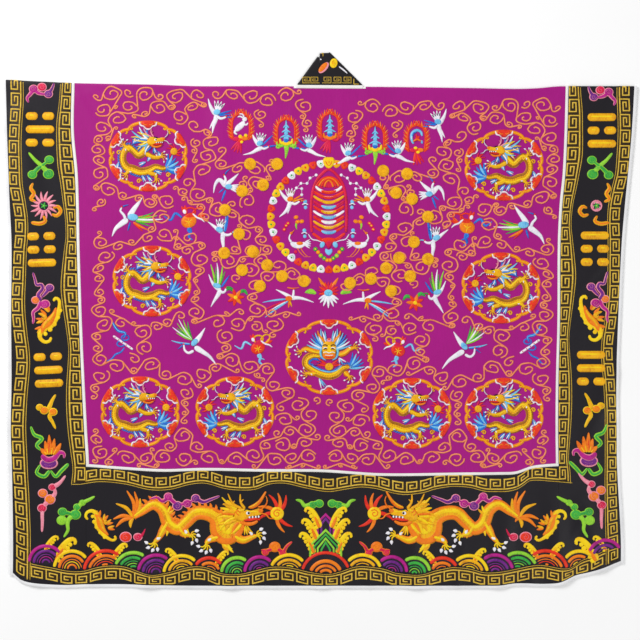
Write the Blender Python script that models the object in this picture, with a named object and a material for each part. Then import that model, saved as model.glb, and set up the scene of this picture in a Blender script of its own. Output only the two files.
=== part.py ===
"""A taoist priest's ceremonial robe, laid flat on its front with its back up.

The robe is cut like a cape: one satin ground goes down the back, over the
shoulders and down both fronts, with no side seams. Black borders run down its
sides and along its hems, a black collar band runs down both front edges and
round the neck, and white piping lies in each seam.

Each piece is a thin wall. A point of a piece is given on the cut, as a distance
across from centre back and a drop below the shoulder, and lay() turns it into a
place on the robe as it lies. All sizes are in millimetres until a mesh is made.
"""

import math
from collections import namedtuple

import bmesh
import bpy

MM = 0.001

# The cut
HALF_BODY = 640.0  # centre back to the seam between ground and side border
HALF_WIDTH = 816.0  # centre back to the outer edge of the side border
BODY_LENGTH = 1006.0  # shoulder fold to the seam between ground and hem border
FULL_LENGTH = 1322.0  # shoulder fold to the lower edge of the hem border
PIPING_WIDTH = 7.4
BINDING_WIDTH = 7.7
COLLAR_WIDTH = 82.0
NECK_CENTRE = 25.0  # the neck lies a little off centre
NECK_HALF = 85.5
NECK_DROP = 5.3  # how far the back neck is cut below the fold
NECK_PIPING_WIDTH = 8.6
SEAM_GAP = 0.3
CLOTH_CELL = 46.0  # longest step between two sections of a piece
SHORTEST_STEP = 1.0

# Wall thicknesses
GROUND_WALL = 1.5
BORDER_WALL = 1.7
PIPING_WALL = 2.2
BINDING_WALL = 1.8
COLLAR_WALL = 2.0

# How the robe lies
FOLD_Y = 624.0
LAYER_RISE = 3.0  # underside of the back above the floor
SHOULDER_PUFF = 1.6  # how much more the back rises beside the shoulder fold
PUFF_LENGTH = 45.0
FRONT_TUCK = 3.0  # the fronts end this far inside the back's outline
TUCK_LENGTH = 120.0
ROLL_REACH = 4.2  # the shoulder roll, from the last flat section to its crest
ROLL_STEPS = 6
MITRE_REACH = 3.0
MITRE_STEPS = 5

# The neck and the collar's mitre folds, from the neck's centre and the fold
COLLAR_JOIN = -26.3  # the centre-back join of the two collar bands
COLLAR_TURN = 34.0  # where the band's sections start to fan
COLLAR_FAN_STEPS = 5
COLLAR_SEAM_DROP = -3.6
CORNER_INSET = 3.4
PEAK_LEFT = (-29.5, 68.0)
PEAK_LEFT_END = (-26.6, 70.0)
PEAK_RIGHT = (-1.5, 79.5)
PEAK_RIGHT_END = (-26.0, 78.0)

# Where the outline and the side seams lie, at each drop below the shoulder
SideRow = namedtuple("SideRow", "drop left_edge left_seam right_seam right_edge")
SIDES = (
    SideRow(0, -826, -649, 650, 827),
    SideRow(126, -823, -651, 647, 820),
    SideRow(237, -819, -641, 642, 810),
    SideRow(318, -816, -638, 634, 802),
    SideRow(426, -811, -636, 629, 793),
    SideRow(623, -812, -630, 628, 784),
    SideRow(784, -811, -623, 624, 779),
    SideRow(918, -813, -616, 623, 780),
    SideRow(1007, -810, -611, 624, 781),
    SideRow(1202, -807, -611, 622, 791),
    SideRow(1322, -808, -611, 620, 790),
)

# Where the shoulder fold, the hem seam and the hem lie, across the robe
HangRow = namedtuple("HangRow", "across fold seam hem")
HANG = (
    HangRow(-816, 9, 1004, 1288),
    HangRow(-796, 8, 1004, 1307),
    HangRow(-764, 6, 1005, 1315),
    HangRow(-700, 3, 1005, 1320),
    HangRow(-640, 0, 1006, 1318),
    HangRow(-546, -2, 1013, 1318),
    HangRow(-434, -4, 1019, 1321),
    HangRow(-322, -8, 1016, 1322),
    HangRow(-155, -8, 1019, 1322),
    HangRow(0, -9, 1020, 1322),
    HangRow(162, -10, 1030, 1322),
    HangRow(387, -13, 1028, 1322),
    HangRow(487, -15, 1027, 1321),
    HangRow(528, -15, 1025, 1316),
    HangRow(570, -13, 1011, 1316),
    HangRow(611, -9, 1006, 1317),
    HangRow(651, -8, 1004, 1313),
    HangRow(693, -8, 1004, 1295),
    HangRow(733, -8, 1004, 1286),
    HangRow(774, -8, 1003, 1273),
    HangRow(816, -8, 1003, 1257),
)

# Soft ridges of the back as it lies: a crest line, its height and half its width
Ridge = namedtuple("Ridge", "name x_start y_start x_end y_end height half_width")
RIDGES = (
    Ridge("hem, left", -455, -705, -424, -470, 5.5, 42),
    Ridge("hem, left of centre", -237, -705, -262, -488, 5.0, 38),
    Ridge("hem, centre", 4, -705, 24, -520, 3.5, 36),
    Ridge("hem, right of centre", 252, -705, 236, -470, 5.5, 40),
    Ridge("hem, right", 470, -700, 505, -400, 4.0, 38),
    Ridge("right corner, inner", 640, -690, 604, -430, 6.0, 44),
    Ridge("right corner, outer", 742, -655, 676, -452, 5.0, 38),
    Ridge("left corner", -745, -690, -690, -470, 4.0, 40),
    Ridge("left border, upper", -790, 540, -730, 190, 3.0, 40),
    Ridge("left border, lower", -795, 60, -735, -290, 3.0, 38),
    Ridge("right border, upper", 790, 560, 706, 300, 3.5, 42),
    Ridge("right border, lower", 768, -140, 690, -380, 3.5, 40),
    Ridge("back, left", -268, 560, -236, -60, 2.5, 46),
    Ridge("back, right", 300, 540, 276, -90, 2.5, 46),
    Ridge("back, across", -560, -330, -120, -352, 2.0, 44),
)

# Colours as linear red, green and blue, with a roughness
Finish = namedtuple("Finish", "red green blue roughness")
PURPLE_SATIN = Finish(0.42, 0.016, 0.26, 0.42)
BLACK_SATIN = Finish(0.018, 0.016, 0.02, 0.48)
WHITE_TRIM = Finish(0.82, 0.82, 0.84, 0.6)


def curve(rows, key, column, at):
    """Value of a table's column at one value of its key, on a smooth curve through the rows."""
    keys = [getattr(row, key) for row in rows]
    values = [getattr(row, column) for row in rows]
    if at <= keys[0]:
        return values[0]
    if at >= keys[-1]:
        return values[-1]
    last = len(keys) - 1
    n = max(i for i in range(last) if keys[i] <= at)

    def slope(i):
        low, high = max(i - 1, 0), min(i + 1, last)
        return (values[high] - values[low]) / (keys[high] - keys[low])

    step = keys[n + 1] - keys[n]
    t = (at - keys[n]) / step
    ends = values[n] * (1 + 2 * t) * (1 - t) ** 2 + values[n + 1] * t**2 * (3 - 2 * t)
    return ends + step * (slope(n) * t * (1 - t) ** 2 - slope(n + 1) * t**2 * (1 - t))


def mix(low, high, t):
    return low + (high - low) * t


def lay(across, drop):
    """World x and y, in mm, of a point of the cut as the robe lies."""
    fold = curve(HANG, "across", "fold", across)
    seam = -curve(HANG, "across", "seam", across)
    hem = -curve(HANG, "across", "hem", across)
    if drop <= BODY_LENGTH:
        y = mix(fold, seam, drop / BODY_LENGTH)
    else:
        y = mix(seam, hem, (drop - BODY_LENGTH) / (FULL_LENGTH - BODY_LENGTH))
    left = curve(SIDES, "drop", "left_seam", -y)
    right = curve(SIDES, "drop", "right_seam", -y)
    if abs(across) <= HALF_BODY:
        return mix(left, right, (across + HALF_BODY) / (2 * HALF_BODY)), FOLD_Y + y
    beyond = (abs(across) - HALF_BODY) / (HALF_WIDTH - HALF_BODY)
    if across < 0:
        return mix(left, curve(SIDES, "drop", "left_edge", -y), beyond), FOLD_Y + y
    return mix(right, curve(SIDES, "drop", "right_edge", -y), beyond), FOLD_Y + y


def lay_front(across, drop):
    """As lay(), for the fronts, which end a little inside the back's outline."""
    tuck = FRONT_TUCK * min(1.0, drop / TUCK_LENGTH)
    return lay(across * (1 - tuck / HALF_WIDTH), drop * (1 - tuck / FULL_LENGTH))


def ridge_height(ridge, x, y):
    """Height that one ridge adds at a place: full on its crest line, nothing at its sides and ends."""
    run_x, run_y = ridge.x_end - ridge.x_start, ridge.y_end - ridge.y_start
    length = math.hypot(run_x, run_y)
    along = ((x - ridge.x_start) * run_x + (y - ridge.y_start) * run_y) / length**2
    beside = abs((x - ridge.x_start) * run_y - (y - ridge.y_start) * run_x) / length
    overshoot = max(0.0, -along, along - 1) * length
    away = math.hypot(beside, overshoot) / ridge.half_width
    if away >= 1:
        return 0.0
    fade = 1 - max(0.0, min(1.0, along)) ** 2
    return ridge.height * fade * math.cos(away * math.pi / 2) ** 2


def back_rise(x, y, drop):
    """Height of the back's underside above the floor."""
    puff = SHOULDER_PUFF * math.exp(-max(0.0, drop) / PUFF_LENGTH)
    return LAYER_RISE + puff + sum(ridge_height(ridge, x, y) for ridge in RIDGES)


# A section of a piece: where it lies along the cloth's length. Its part is back, roll or front,
# and its place is a drop in mm, or how far round the roll it is, from 0 at the back to 1.
Section = namedtuple("Section", "part place")


def wall_points(across, section, wall):
    """The inner and the outer point of a wall at one place of the cut."""
    if section.part == "back":
        x, y = lay(across, section.place)
        rise = back_rise(x, y, section.place)
        return (x, y, rise), (x, y, rise + wall)
    if section.part == "front":
        x, y = lay_front(across, section.place)
        return (x, y, wall), (x, y, 0.0)
    x, y = lay(across, ROLL_REACH)
    crest_reach = lay(across, 0.0)[1] - y
    top = back_rise(x, y, ROLL_REACH) + wall
    angle = section.place * math.pi
    middle = top / 2
    inner_reach = crest_reach - wall
    inner_half = middle - wall
    inner = (x, y + inner_reach * math.sin(angle), middle + inner_half * math.cos(angle))
    outer = (x, y + crest_reach * math.sin(angle), middle * (1 + math.cos(angle)))
    return inner, outer


def steps(low, high, longest=CLOTH_CELL):
    """Evenly spaced values from low to high, no further apart than the longest step."""
    count = max(1, math.ceil(abs(high - low) / longest))
    return [mix(low, high, i / count) for i in range(count + 1)]


def stations(*stops):
    """Evenly spaced values through several stops, each stop once."""
    found = [stops[0]]
    for low, high in zip(stops, stops[1:]):
        found += steps(low, high)[1:]
    return found


# Places on the cut that several pieces share
HALF_PIPING = PIPING_WIDTH / 2
GROUND_HALF = HALF_BODY - HALF_PIPING - SEAM_GAP
BORDER_INNER = HALF_BODY + HALF_PIPING + SEAM_GAP
GROUND_LENGTH = BODY_LENGTH - HALF_PIPING - SEAM_GAP
HEM_TOP = BODY_LENGTH + HALF_PIPING + SEAM_GAP
BINDING_INNER = HALF_WIDTH + SEAM_GAP
BINDING_OUTER = BINDING_INNER + BINDING_WIDTH
HEM_BINDING_TOP = FULL_LENGTH + SEAM_GAP
HEM_BINDING_LENGTH = HEM_BINDING_TOP + BINDING_WIDTH
FRONT_INNER = NECK_HALF + PIPING_WIDTH + 2 * SEAM_GAP
NECK_LEFT = NECK_CENTRE - FRONT_INNER
NECK_RIGHT = NECK_CENTRE + FRONT_INNER

# Neighbours take their columns and sections from the same places, so their edges stay side by side
SHARED_ACROSS = stations(
    -HALF_WIDTH, -BORDER_INNER, -GROUND_HALF, NECK_LEFT, NECK_RIGHT, GROUND_HALF, BORDER_INNER, HALF_WIDTH
)
SHARED_DROPS = stations(ROLL_REACH, COLLAR_TURN, GROUND_LENGTH, HEM_TOP, FULL_LENGTH)


def between(low, high, places):
    """Low, the shared places clear of both ends, and high."""
    inside = [place for place in places if low + SHORTEST_STEP < place < high - SHORTEST_STEP]
    return [low] + inside + [high]


def columns_between(low, high):
    return between(low, high, SHARED_ACROSS)


def back_sections(low, high):
    """Sections of the back from a drop of low down to high, listed from the hem upwards."""
    return [Section("back", drop) for drop in reversed(between(low, high, SHARED_DROPS))]


def front_sections(low, high):
    return [Section("front", drop) for drop in between(low, high, SHARED_DROPS)]


def roll_sections():
    return [Section("roll", i / ROLL_STEPS) for i in range(1, ROLL_STEPS)]


def over_shoulder(length):
    """Sections up the back, round the shoulder roll and down the front."""
    return back_sections(ROLL_REACH, length) + roll_sections() + front_sections(ROLL_REACH, length)


def principled(name, finish):
    material = bpy.data.materials.new(name)
    material.use_nodes = True
    shader = material.node_tree.nodes["Principled BSDF"]
    shader.inputs["Base Color"].default_value = (finish.red, finish.green, finish.blue, 1)
    shader.inputs["Roughness"].default_value = finish.roughness
    shader.inputs["Metallic"].default_value = 0.0
    material.diffuse_color = (finish.red, finish.green, finish.blue, 1)
    return material


def wall_object(name, grid, finish, present=None):
    """A closed wall from a grid of inner and outer points, one row of the grid for each section.

    present(row, column) says whether a cell of the grid is cloth; None keeps every cell.
    """
    rows, columns = len(grid), len(grid[0])
    cells = {
        (r, c)
        for r in range(rows - 1)
        for c in range(columns - 1)
        if present is None or present(r, c)
    }
    bm = bmesh.new()
    made = {}

    def vertex(r, c, side):
        if (r, c, side) not in made:
            made[r, c, side] = bm.verts.new([value * MM for value in grid[r][c][side]])
        return made[r, c, side]

    inner, outer = 0, 1
    for r, c in sorted(cells):
        ring = ((r, c), (r, c + 1), (r + 1, c + 1), (r + 1, c))
        for a, b, d in ((0, 1, 2), (0, 2, 3)):
            bm.faces.new([vertex(*ring[n], outer) for n in (a, b, d)])
            bm.faces.new([vertex(*ring[n], inner) for n in (d, b, a)])
        beyond = ((r - 1, c), (r, c + 1), (r + 1, c), (r, c - 1))
        for n, neighbour in enumerate(beyond):
            if neighbour in cells:
                continue
            start, end = ring[n], ring[(n + 1) % 4]
            bm.faces.new(
                [vertex(*end, outer), vertex(*start, outer), vertex(*start, inner), vertex(*end, inner)]
            )
    if bm.calc_volume(signed=True) < 0:
        bmesh.ops.reverse_faces(bm, faces=bm.faces)
    mesh = bpy.data.meshes.new(name)
    bm.to_mesh(mesh)
    bm.free()
    mesh.shade_smooth()
    mesh.set_sharp_from_angle(angle=math.radians(30))
    mesh.materials.append(principled(name, finish))
    piece = bpy.data.objects.new(name, mesh)
    bpy.context.scene.collection.objects.link(piece)
    return piece


def panel(name, columns, sections, wall, finish, present=None):
    """A flat-cut piece: a grid of places on the cut, given a wall."""
    grid = [[wall_points(across, section, wall) for across in columns] for section in sections]
    return wall_object(name, grid, finish, present)


def ground():
    """The satin ground: the back, and both fronts over the shoulder, with the neck and the opening between them."""
    columns = columns_between(-GROUND_HALF, GROUND_HALF)
    sections = back_sections(NECK_DROP + SEAM_GAP, GROUND_LENGTH)
    first_open_row = len(sections) - 1
    sections += roll_sections() + front_sections(ROLL_REACH, GROUND_LENGTH)

    def present(row, column):
        middle = (columns[column] + columns[column + 1]) / 2
        return row < first_open_row or not NECK_LEFT < middle < NECK_RIGHT

    panel("ground", columns, sections, GROUND_WALL, PURPLE_SATIN, present)


def side_columns(side, near, far):
    """Columns of one side, from left to right, between two distances from centre back."""
    return columns_between(near, far) if side > 0 else columns_between(-far, -near)


def side_pieces():
    """The border, its piping and its edge binding on each side, from the back hem over to the front hem."""
    for side, word in ((-1, "left"), (1, "right")):
        border = side_columns(side, BORDER_INNER, HALF_WIDTH)
        panel(f"side_border_{word}", border, over_shoulder(FULL_LENGTH), BORDER_WALL, BLACK_SATIN)
        piping = side_columns(side, HALF_BODY - HALF_PIPING, HALF_BODY + HALF_PIPING)
        panel(f"side_piping_{word}", piping, over_shoulder(GROUND_LENGTH), PIPING_WALL, WHITE_TRIM)
        binding = side_columns(side, BINDING_INNER, BINDING_OUTER)
        over = over_shoulder(HEM_BINDING_LENGTH)
        panel(f"edge_binding_{word}", binding, over, BINDING_WALL, WHITE_TRIM)


def hem_pieces(word, border_columns, binding_columns, sections):
    """The piping above a hem border, the border, and the binding below it."""
    top, bottom = BODY_LENGTH - HALF_PIPING, BODY_LENGTH + HALF_PIPING
    panel(f"hem_piping_{word}", border_columns, sections(top, bottom), PIPING_WALL, WHITE_TRIM)
    panel(f"hem_border_{word}", border_columns, sections(HEM_TOP, FULL_LENGTH), BORDER_WALL, BLACK_SATIN)
    edge = sections(HEM_BINDING_TOP, HEM_BINDING_LENGTH)
    panel(f"hem_binding_{word}", binding_columns, edge, BINDING_WALL, WHITE_TRIM)


def hems():
    """The hem of the back, from side to side, and of each front, up to the collar's piping."""
    outer = HALF_BODY + HALF_PIPING
    whole, edge = columns_between(-outer, outer), columns_between(-HALF_WIDTH, HALF_WIDTH)
    hem_pieces("back", whole, edge, back_sections)
    left, left_edge = columns_between(-outer, NECK_LEFT), columns_between(-HALF_WIDTH, NECK_LEFT)
    hem_pieces("front_left", left, left_edge, front_sections)
    right, right_edge = columns_between(NECK_RIGHT, outer), columns_between(NECK_RIGHT, HALF_WIDTH)
    hem_pieces("front_right", right, right_edge, front_sections)


def neck_trim():
    """The piping between ground and collar: round the back neck, and down each front edge."""
    columns = columns_between(NECK_CENTRE - NECK_HALF, NECK_CENTRE + NECK_HALF)
    sections = back_sections(NECK_DROP - NECK_PIPING_WIDTH, NECK_DROP)
    panel("neck_piping", columns, sections, PIPING_WALL, WHITE_TRIM)
    sections = back_sections(ROLL_REACH, NECK_DROP)
    sections += roll_sections() + front_sections(ROLL_REACH, HEM_BINDING_LENGTH)
    for side, word in ((-1, "left"), (1, "right")):
        near, far = NECK_HALF + SEAM_GAP, NECK_HALF + SEAM_GAP + PIPING_WIDTH
        columns = sorted((NECK_CENTRE + side * near, NECK_CENTRE + side * far))
        panel(f"front_piping_{word}", columns, sections, PIPING_WALL, WHITE_TRIM)


def collar_row(seam_point, free_point, part, turn=0.0):
    """One section of the collar band: its inner and outer points at the seam, the middle and the free edge."""
    row = []
    for t in (0.0, 0.5, 1.0):
        x = mix(seam_point[0], free_point[0], t)
        y = mix(seam_point[1], free_point[1], t)
        rise = mix(LAYER_RISE + SHOULDER_PUFF, LAYER_RISE, t)
        if part == "under":
            row.append(((x, y, COLLAR_WALL), (x, y, 0.0)))
        elif part == "upper":
            row.append(((x, y, rise), (x, y, rise + COLLAR_WALL)))
        else:
            along_x, along_y = free_point[0] - seam_point[0], free_point[1] - seam_point[1]
            length = math.hypot(along_x, along_y)
            # The outward normal of the fold line points up and away from the neck's centre.
            out_x, out_y = -along_y / length, along_x / length
            if out_y < 0:
                out_x, out_y = -out_x, -out_y
            angle = turn * math.pi
            middle = (rise + COLLAR_WALL) / 2
            outer_reach = MITRE_REACH * math.sin(angle)
            inner_reach = (MITRE_REACH - COLLAR_WALL) * math.sin(angle)
            inner_z = middle - (middle - COLLAR_WALL) * math.cos(angle)
            outer_z = middle * (1 - math.cos(angle))
            row.append(
                (
                    (x + out_x * inner_reach, y + out_y * inner_reach, inner_z),
                    (x + out_x * outer_reach, y + out_y * outer_reach, outer_z),
                )
            )
    return row


def collar(word, side, peak, peak_end, join):
    """One collar band: up the front edge under the back, folded over at 45 degrees, then along the back neck."""
    seam_across = NECK_CENTRE + side * NECK_HALF
    free_across = seam_across - side * COLLAR_WIDTH
    rows = []
    for drop in reversed(between(COLLAR_TURN, HEM_BINDING_LENGTH, SHARED_DROPS)):
        seam_point, free_point = lay_front(seam_across, drop), lay_front(free_across, drop)
        rows.append(collar_row(seam_point, free_point, "under"))
    seam_start, free_start = lay_front(seam_across, COLLAR_TURN), lay_front(free_across, COLLAR_TURN)
    corner = lay(seam_across - side * CORNER_INSET, COLLAR_SEAM_DROP)
    crest = (NECK_CENTRE + peak[0], FOLD_Y + peak[1])
    for i in range(1, COLLAR_FAN_STEPS + 1):
        t = i / COLLAR_FAN_STEPS
        seam_point = [mix(a, b, t) for a, b in zip(seam_start, corner)]
        free_point = [mix(a, b, t) for a, b in zip(free_start, crest)]
        rows.append(collar_row(seam_point, free_point, "under"))
    for i in range(1, MITRE_STEPS):
        rows.append(collar_row(corner, crest, "fold", i / MITRE_STEPS))
    join_x = NECK_CENTRE + join
    join_foot = (join_x, lay(join_x, COLLAR_SEAM_DROP)[1])
    join_head = (NECK_CENTRE + peak_end[0], FOLD_Y + peak_end[1])
    count = len(steps(corner[0], join_x)) - 1
    for i in range(count + 1):
        t = i / count
        seam_x = mix(corner[0], join_x, t)
        seam_y = mix(corner[1], join_foot[1], t)
        free_point = [mix(a, b, t) for a, b in zip(crest, join_head)]
        rows.append(collar_row((seam_x, seam_y), free_point, "upper"))
    wall_object(f"collar_{word}", rows, BLACK_SATIN)


def clear_scene():
    for thing in list(bpy.data.objects):
        bpy.data.objects.remove(thing, do_unlink=True)


def main():
    clear_scene()
    ground()
    side_pieces()
    hems()
    neck_trim()
    collar("left", -1, PEAK_LEFT, PEAK_LEFT_END, COLLAR_JOIN - SEAM_GAP / 2)
    collar("right", 1, PEAK_RIGHT, PEAK_RIGHT_END, COLLAR_JOIN + SEAM_GAP / 2)


main()
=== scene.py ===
"""The looks of a taoist priest's ceremonial robe, laid flat with its back up.

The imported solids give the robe's pieces. Here each of them gets a fine wall of
cloth with its creases, and the embroidery is laid on that cloth as real raised
stitching: couched scrolls, satin stitch, padded bars and fret bands. Every motif
is drawn here from strokes and curls as a maker would plan it on the cut.

Sizes are in millimetres until a mesh is made. A place is given either on the cut,
as a distance across from centre back and a drop below the shoulder, or in plan, as
x and y on the surface that the robe lies on.
"""

import logging
import math
from dataclasses import dataclass, field, replace
from enum import Enum
from typing import Callable, Iterable, NamedTuple, Sequence

import bpy
import numpy as np
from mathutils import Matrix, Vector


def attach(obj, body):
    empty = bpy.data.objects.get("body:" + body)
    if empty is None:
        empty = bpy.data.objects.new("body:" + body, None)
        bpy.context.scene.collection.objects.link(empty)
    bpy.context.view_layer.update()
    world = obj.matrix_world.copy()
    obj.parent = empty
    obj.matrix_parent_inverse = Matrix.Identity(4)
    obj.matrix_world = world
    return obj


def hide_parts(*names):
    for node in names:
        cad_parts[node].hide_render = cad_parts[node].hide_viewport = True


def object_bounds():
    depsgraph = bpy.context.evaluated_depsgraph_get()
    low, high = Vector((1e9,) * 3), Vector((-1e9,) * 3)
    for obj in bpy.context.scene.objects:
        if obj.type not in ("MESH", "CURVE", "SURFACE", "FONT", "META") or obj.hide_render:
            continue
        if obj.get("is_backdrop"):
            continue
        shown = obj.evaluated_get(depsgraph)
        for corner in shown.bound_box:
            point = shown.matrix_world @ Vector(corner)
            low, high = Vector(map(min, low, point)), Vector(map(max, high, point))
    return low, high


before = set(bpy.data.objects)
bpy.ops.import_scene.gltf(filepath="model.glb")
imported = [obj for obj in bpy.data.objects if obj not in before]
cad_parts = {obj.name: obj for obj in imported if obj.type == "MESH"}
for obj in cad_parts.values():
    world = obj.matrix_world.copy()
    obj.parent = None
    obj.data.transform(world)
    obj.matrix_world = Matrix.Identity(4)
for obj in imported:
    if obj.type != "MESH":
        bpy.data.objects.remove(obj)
SOLID_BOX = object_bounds()

LOG = logging.getLogger("robe")
MM = 0.001
SEED = 11
Array = np.ndarray
Point = tuple[float, float]


class Side(Enum):
    """The two sides of the robe as it lies, with the sign of x on each."""

    LEFT = -1
    RIGHT = 1

    @property
    def word(self) -> str:
        """The side's word in the names of pieces."""
        return self.name.lower()


class Colour(NamedTuple):
    """A colour as red, green and blue from 0 to 255, as a dyer's card gives it."""

    red: float
    green: float
    blue: float

    def linear(self, gain: float = 1.0) -> tuple[float, float, float, float]:
        """The colour as a shader takes it.

        Args:
            gain: what each channel is multiplied by.

        Returns:
            Linear red, green and blue, and a full alpha.
        """
        shares = [channel / 255 for channel in self]
        bent = [s / 12.92 if s <= 0.04045 else ((s + 0.055) / 1.055) ** 2.4 for s in shares]
        return (*[min(1.0, b * gain) for b in bent], 1.0)


class Shader:
    """A principled material, with short ways to add nodes and to join them."""

    def __init__(self, name: str) -> None:
        """Makes an empty principled material.

        Args:
            name: the material's name.
        """
        self.material = bpy.data.materials.new(name)
        self.material.use_nodes = True
        self.tree = self.material.node_tree
        self.body = self.tree.nodes["Principled BSDF"]

    def add(self, kind: str, **settings: object) -> bpy.types.Node:
        """Adds a node.

        Args:
            kind: the node's type.
            settings: its own settings, and values for its inputs by name with spaces as underscores.

        Returns:
            The node.
        """
        node = self.tree.nodes.new(kind)
        for name, value in settings.items():
            if hasattr(node, name):
                setattr(node, name, value)
            else:
                node.inputs[name.replace("_", " ")].default_value = value
        return node

    def join(self, source: bpy.types.NodeSocket, target: bpy.types.NodeSocket) -> None:
        """Joins an output to an input."""
        self.tree.links.new(source, target)

    def set(self, **values: object) -> None:
        """Sets values on the principled shader's sockets, with spaces in their names as underscores."""
        for name, value in values.items():
            self.body.inputs[name.replace("_", " ")].default_value = value

    def math(self, operation: str, first: object, second: object) -> bpy.types.NodeSocket:
        """Adds a Math node on two sockets or numbers.

        Args:
            operation: the node's operation.
            first: the first socket or number.
            second: the second one.

        Returns:
            The node's output.
        """
        node = self.tree.nodes.new("ShaderNodeMath")
        node.operation = operation
        for slot, value in enumerate((first, second)):
            if isinstance(value, bpy.types.NodeSocket):
                self.join(value, node.inputs[slot])
            else:
                node.inputs[slot].default_value = value
        return node.outputs[0]

    def ramp(
        self, source: bpy.types.NodeSocket, stops: Sequence[tuple[float, tuple]]
    ) -> bpy.types.NodeSocket:
        """Adds a colour ramp.

        Args:
            source: what drives the ramp.
            stops: a position and a linear colour for each stop.

        Returns:
            The ramp's colour.
        """
        node = self.tree.nodes.new("ShaderNodeValToRGB")
        for position, colour in stops[2:]:
            node.color_ramp.elements.new(position)
        for element, (position, colour) in zip(node.color_ramp.elements, stops):
            element.position = position
            element.color = colour
        self.join(source, node.inputs[0])
        return node.outputs[0]

    def bump(self, height: bpy.types.NodeSocket, distance: float, strength: float) -> None:
        """Raises the surface's shading by a height.

        Args:
            height: the socket that gives the height, from 0 to 1.
            distance: the height of 1, in metres.
            strength: from 0 to 1.
        """
        node = self.add("ShaderNodeBump", Distance=distance, Strength=strength)
        self.join(height, node.inputs["Height"])
        self.join(node.outputs[0], self.body.inputs["Normal"])


# How far apart the bands of a wave texture are at a scale of 1
WAVE_PITCH = 0.314


@dataclass(frozen=True)
class Satin:
    """Woven satin: fine floats of yarn, a soft sheen, slightly cloudy dye, and painted shade in the dips
    between floats.
    """

    name: str
    colour: Colour
    roughness: float = 0.42
    sheen: float = 0.25
    float_pitch: float = 0.0011
    cloud: float = 0.08

    def material(self) -> bpy.types.Material:
        """Builds the material."""
        shader = Shader(self.name)
        place = shader.add("ShaderNodeTexCoord").outputs["Object"]
        cloud = shader.add("ShaderNodeTexNoise", Scale=5.0, Detail=3.0)
        yarn = shader.add("ShaderNodeTexNoise", Scale=0.35 / self.float_pitch, Detail=2.0)
        stretch = shader.add("ShaderNodeMapping")
        stretch.inputs["Scale"].default_value = (1.0, 0.12, 1.0)
        shader.join(place, cloud.inputs["Vector"])
        shader.join(place, stretch.inputs["Vector"])
        shader.join(stretch.outputs[0], yarn.inputs["Vector"])
        # Colour: random dye clouds, plus the yarn noise that also lowers the bump, so the satin is darker in
        # its dips: painted shade.
        random_tone_and_painted_shading = shader.math(
            "ADD",
            shader.math("MULTIPLY", cloud.outputs["Fac"], 0.6),
            shader.math("MULTIPLY", yarn.outputs["Fac"], 0.4),
        )
        low, high = 1 - self.cloud, 1 + self.cloud
        stops = ((0.3, self.colour.linear(low)), (0.7, self.colour.linear(high)))
        shader.join(shader.ramp(random_tone_and_painted_shading, stops), shader.body.inputs["Base Color"])
        weave = shader.add("ShaderNodeTexWave", Scale=WAVE_PITCH / self.float_pitch, Distortion=0.6,
                           bands_direction="DIAGONAL")
        shader.join(place, weave.inputs["Vector"])
        height = shader.math(
            "ADD",
            shader.math("MULTIPLY", weave.outputs["Fac"], 0.5),
            shader.math("MULTIPLY", yarn.outputs["Fac"], 0.5),
        )
        shader.bump(height, 0.0002, 0.5)
        shader.set(Roughness=self.roughness, Sheen_Weight=self.sheen, Sheen_Roughness=0.4,
                   Specular_IOR_Level=0.25)
        shader.set(Sheen_Tint=self.colour.linear(1.6))
        return shader.material


@dataclass(frozen=True)
class Cotton:
    """Plain-woven white cotton, as on piping and binding, with random soiling and painted shade greying the
    dents of its weave.
    """

    name: str
    colour: Colour
    yarn_pitch: float = 0.0009
    rib_pitch: float = 0.0026

    def material(self) -> bpy.types.Material:
        """Builds the material."""
        shader = Shader(self.name)
        place = shader.add("ShaderNodeTexCoord").outputs["Object"]
        warp = shader.add("ShaderNodeTexWave", Scale=WAVE_PITCH / self.yarn_pitch, bands_direction="X")
        weft = shader.add("ShaderNodeTexWave", Scale=WAVE_PITCH / self.yarn_pitch, bands_direction="Y")
        soil = shader.add("ShaderNodeTexNoise", Scale=1 / (20 * self.rib_pitch), Detail=4.0)
        for node in (warp, weft, soil):
            shader.join(place, node.inputs["Vector"])
        # The weave term, which is also the bump's height, darkens the colour where the yarns dip: painted
        # shade; the soil noise is random soiling.
        weave = shader.math("MULTIPLY", warp.outputs["Fac"], weft.outputs["Fac"])
        shade = shader.math("ADD", shader.math("MULTIPLY", soil.outputs["Fac"], 0.75),
                            shader.math("MULTIPLY", weave, 0.25))
        stops = ((0.25, self.colour.linear(0.86)), (0.6, self.colour.linear()))
        shader.join(shader.ramp(shade, stops), shader.body.inputs["Base Color"])
        shader.bump(weave, 0.00025, 0.5)
        shader.set(Roughness=0.72, Sheen_Weight=0.15, Sheen_Roughness=0.5)
        return shader.material


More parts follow.
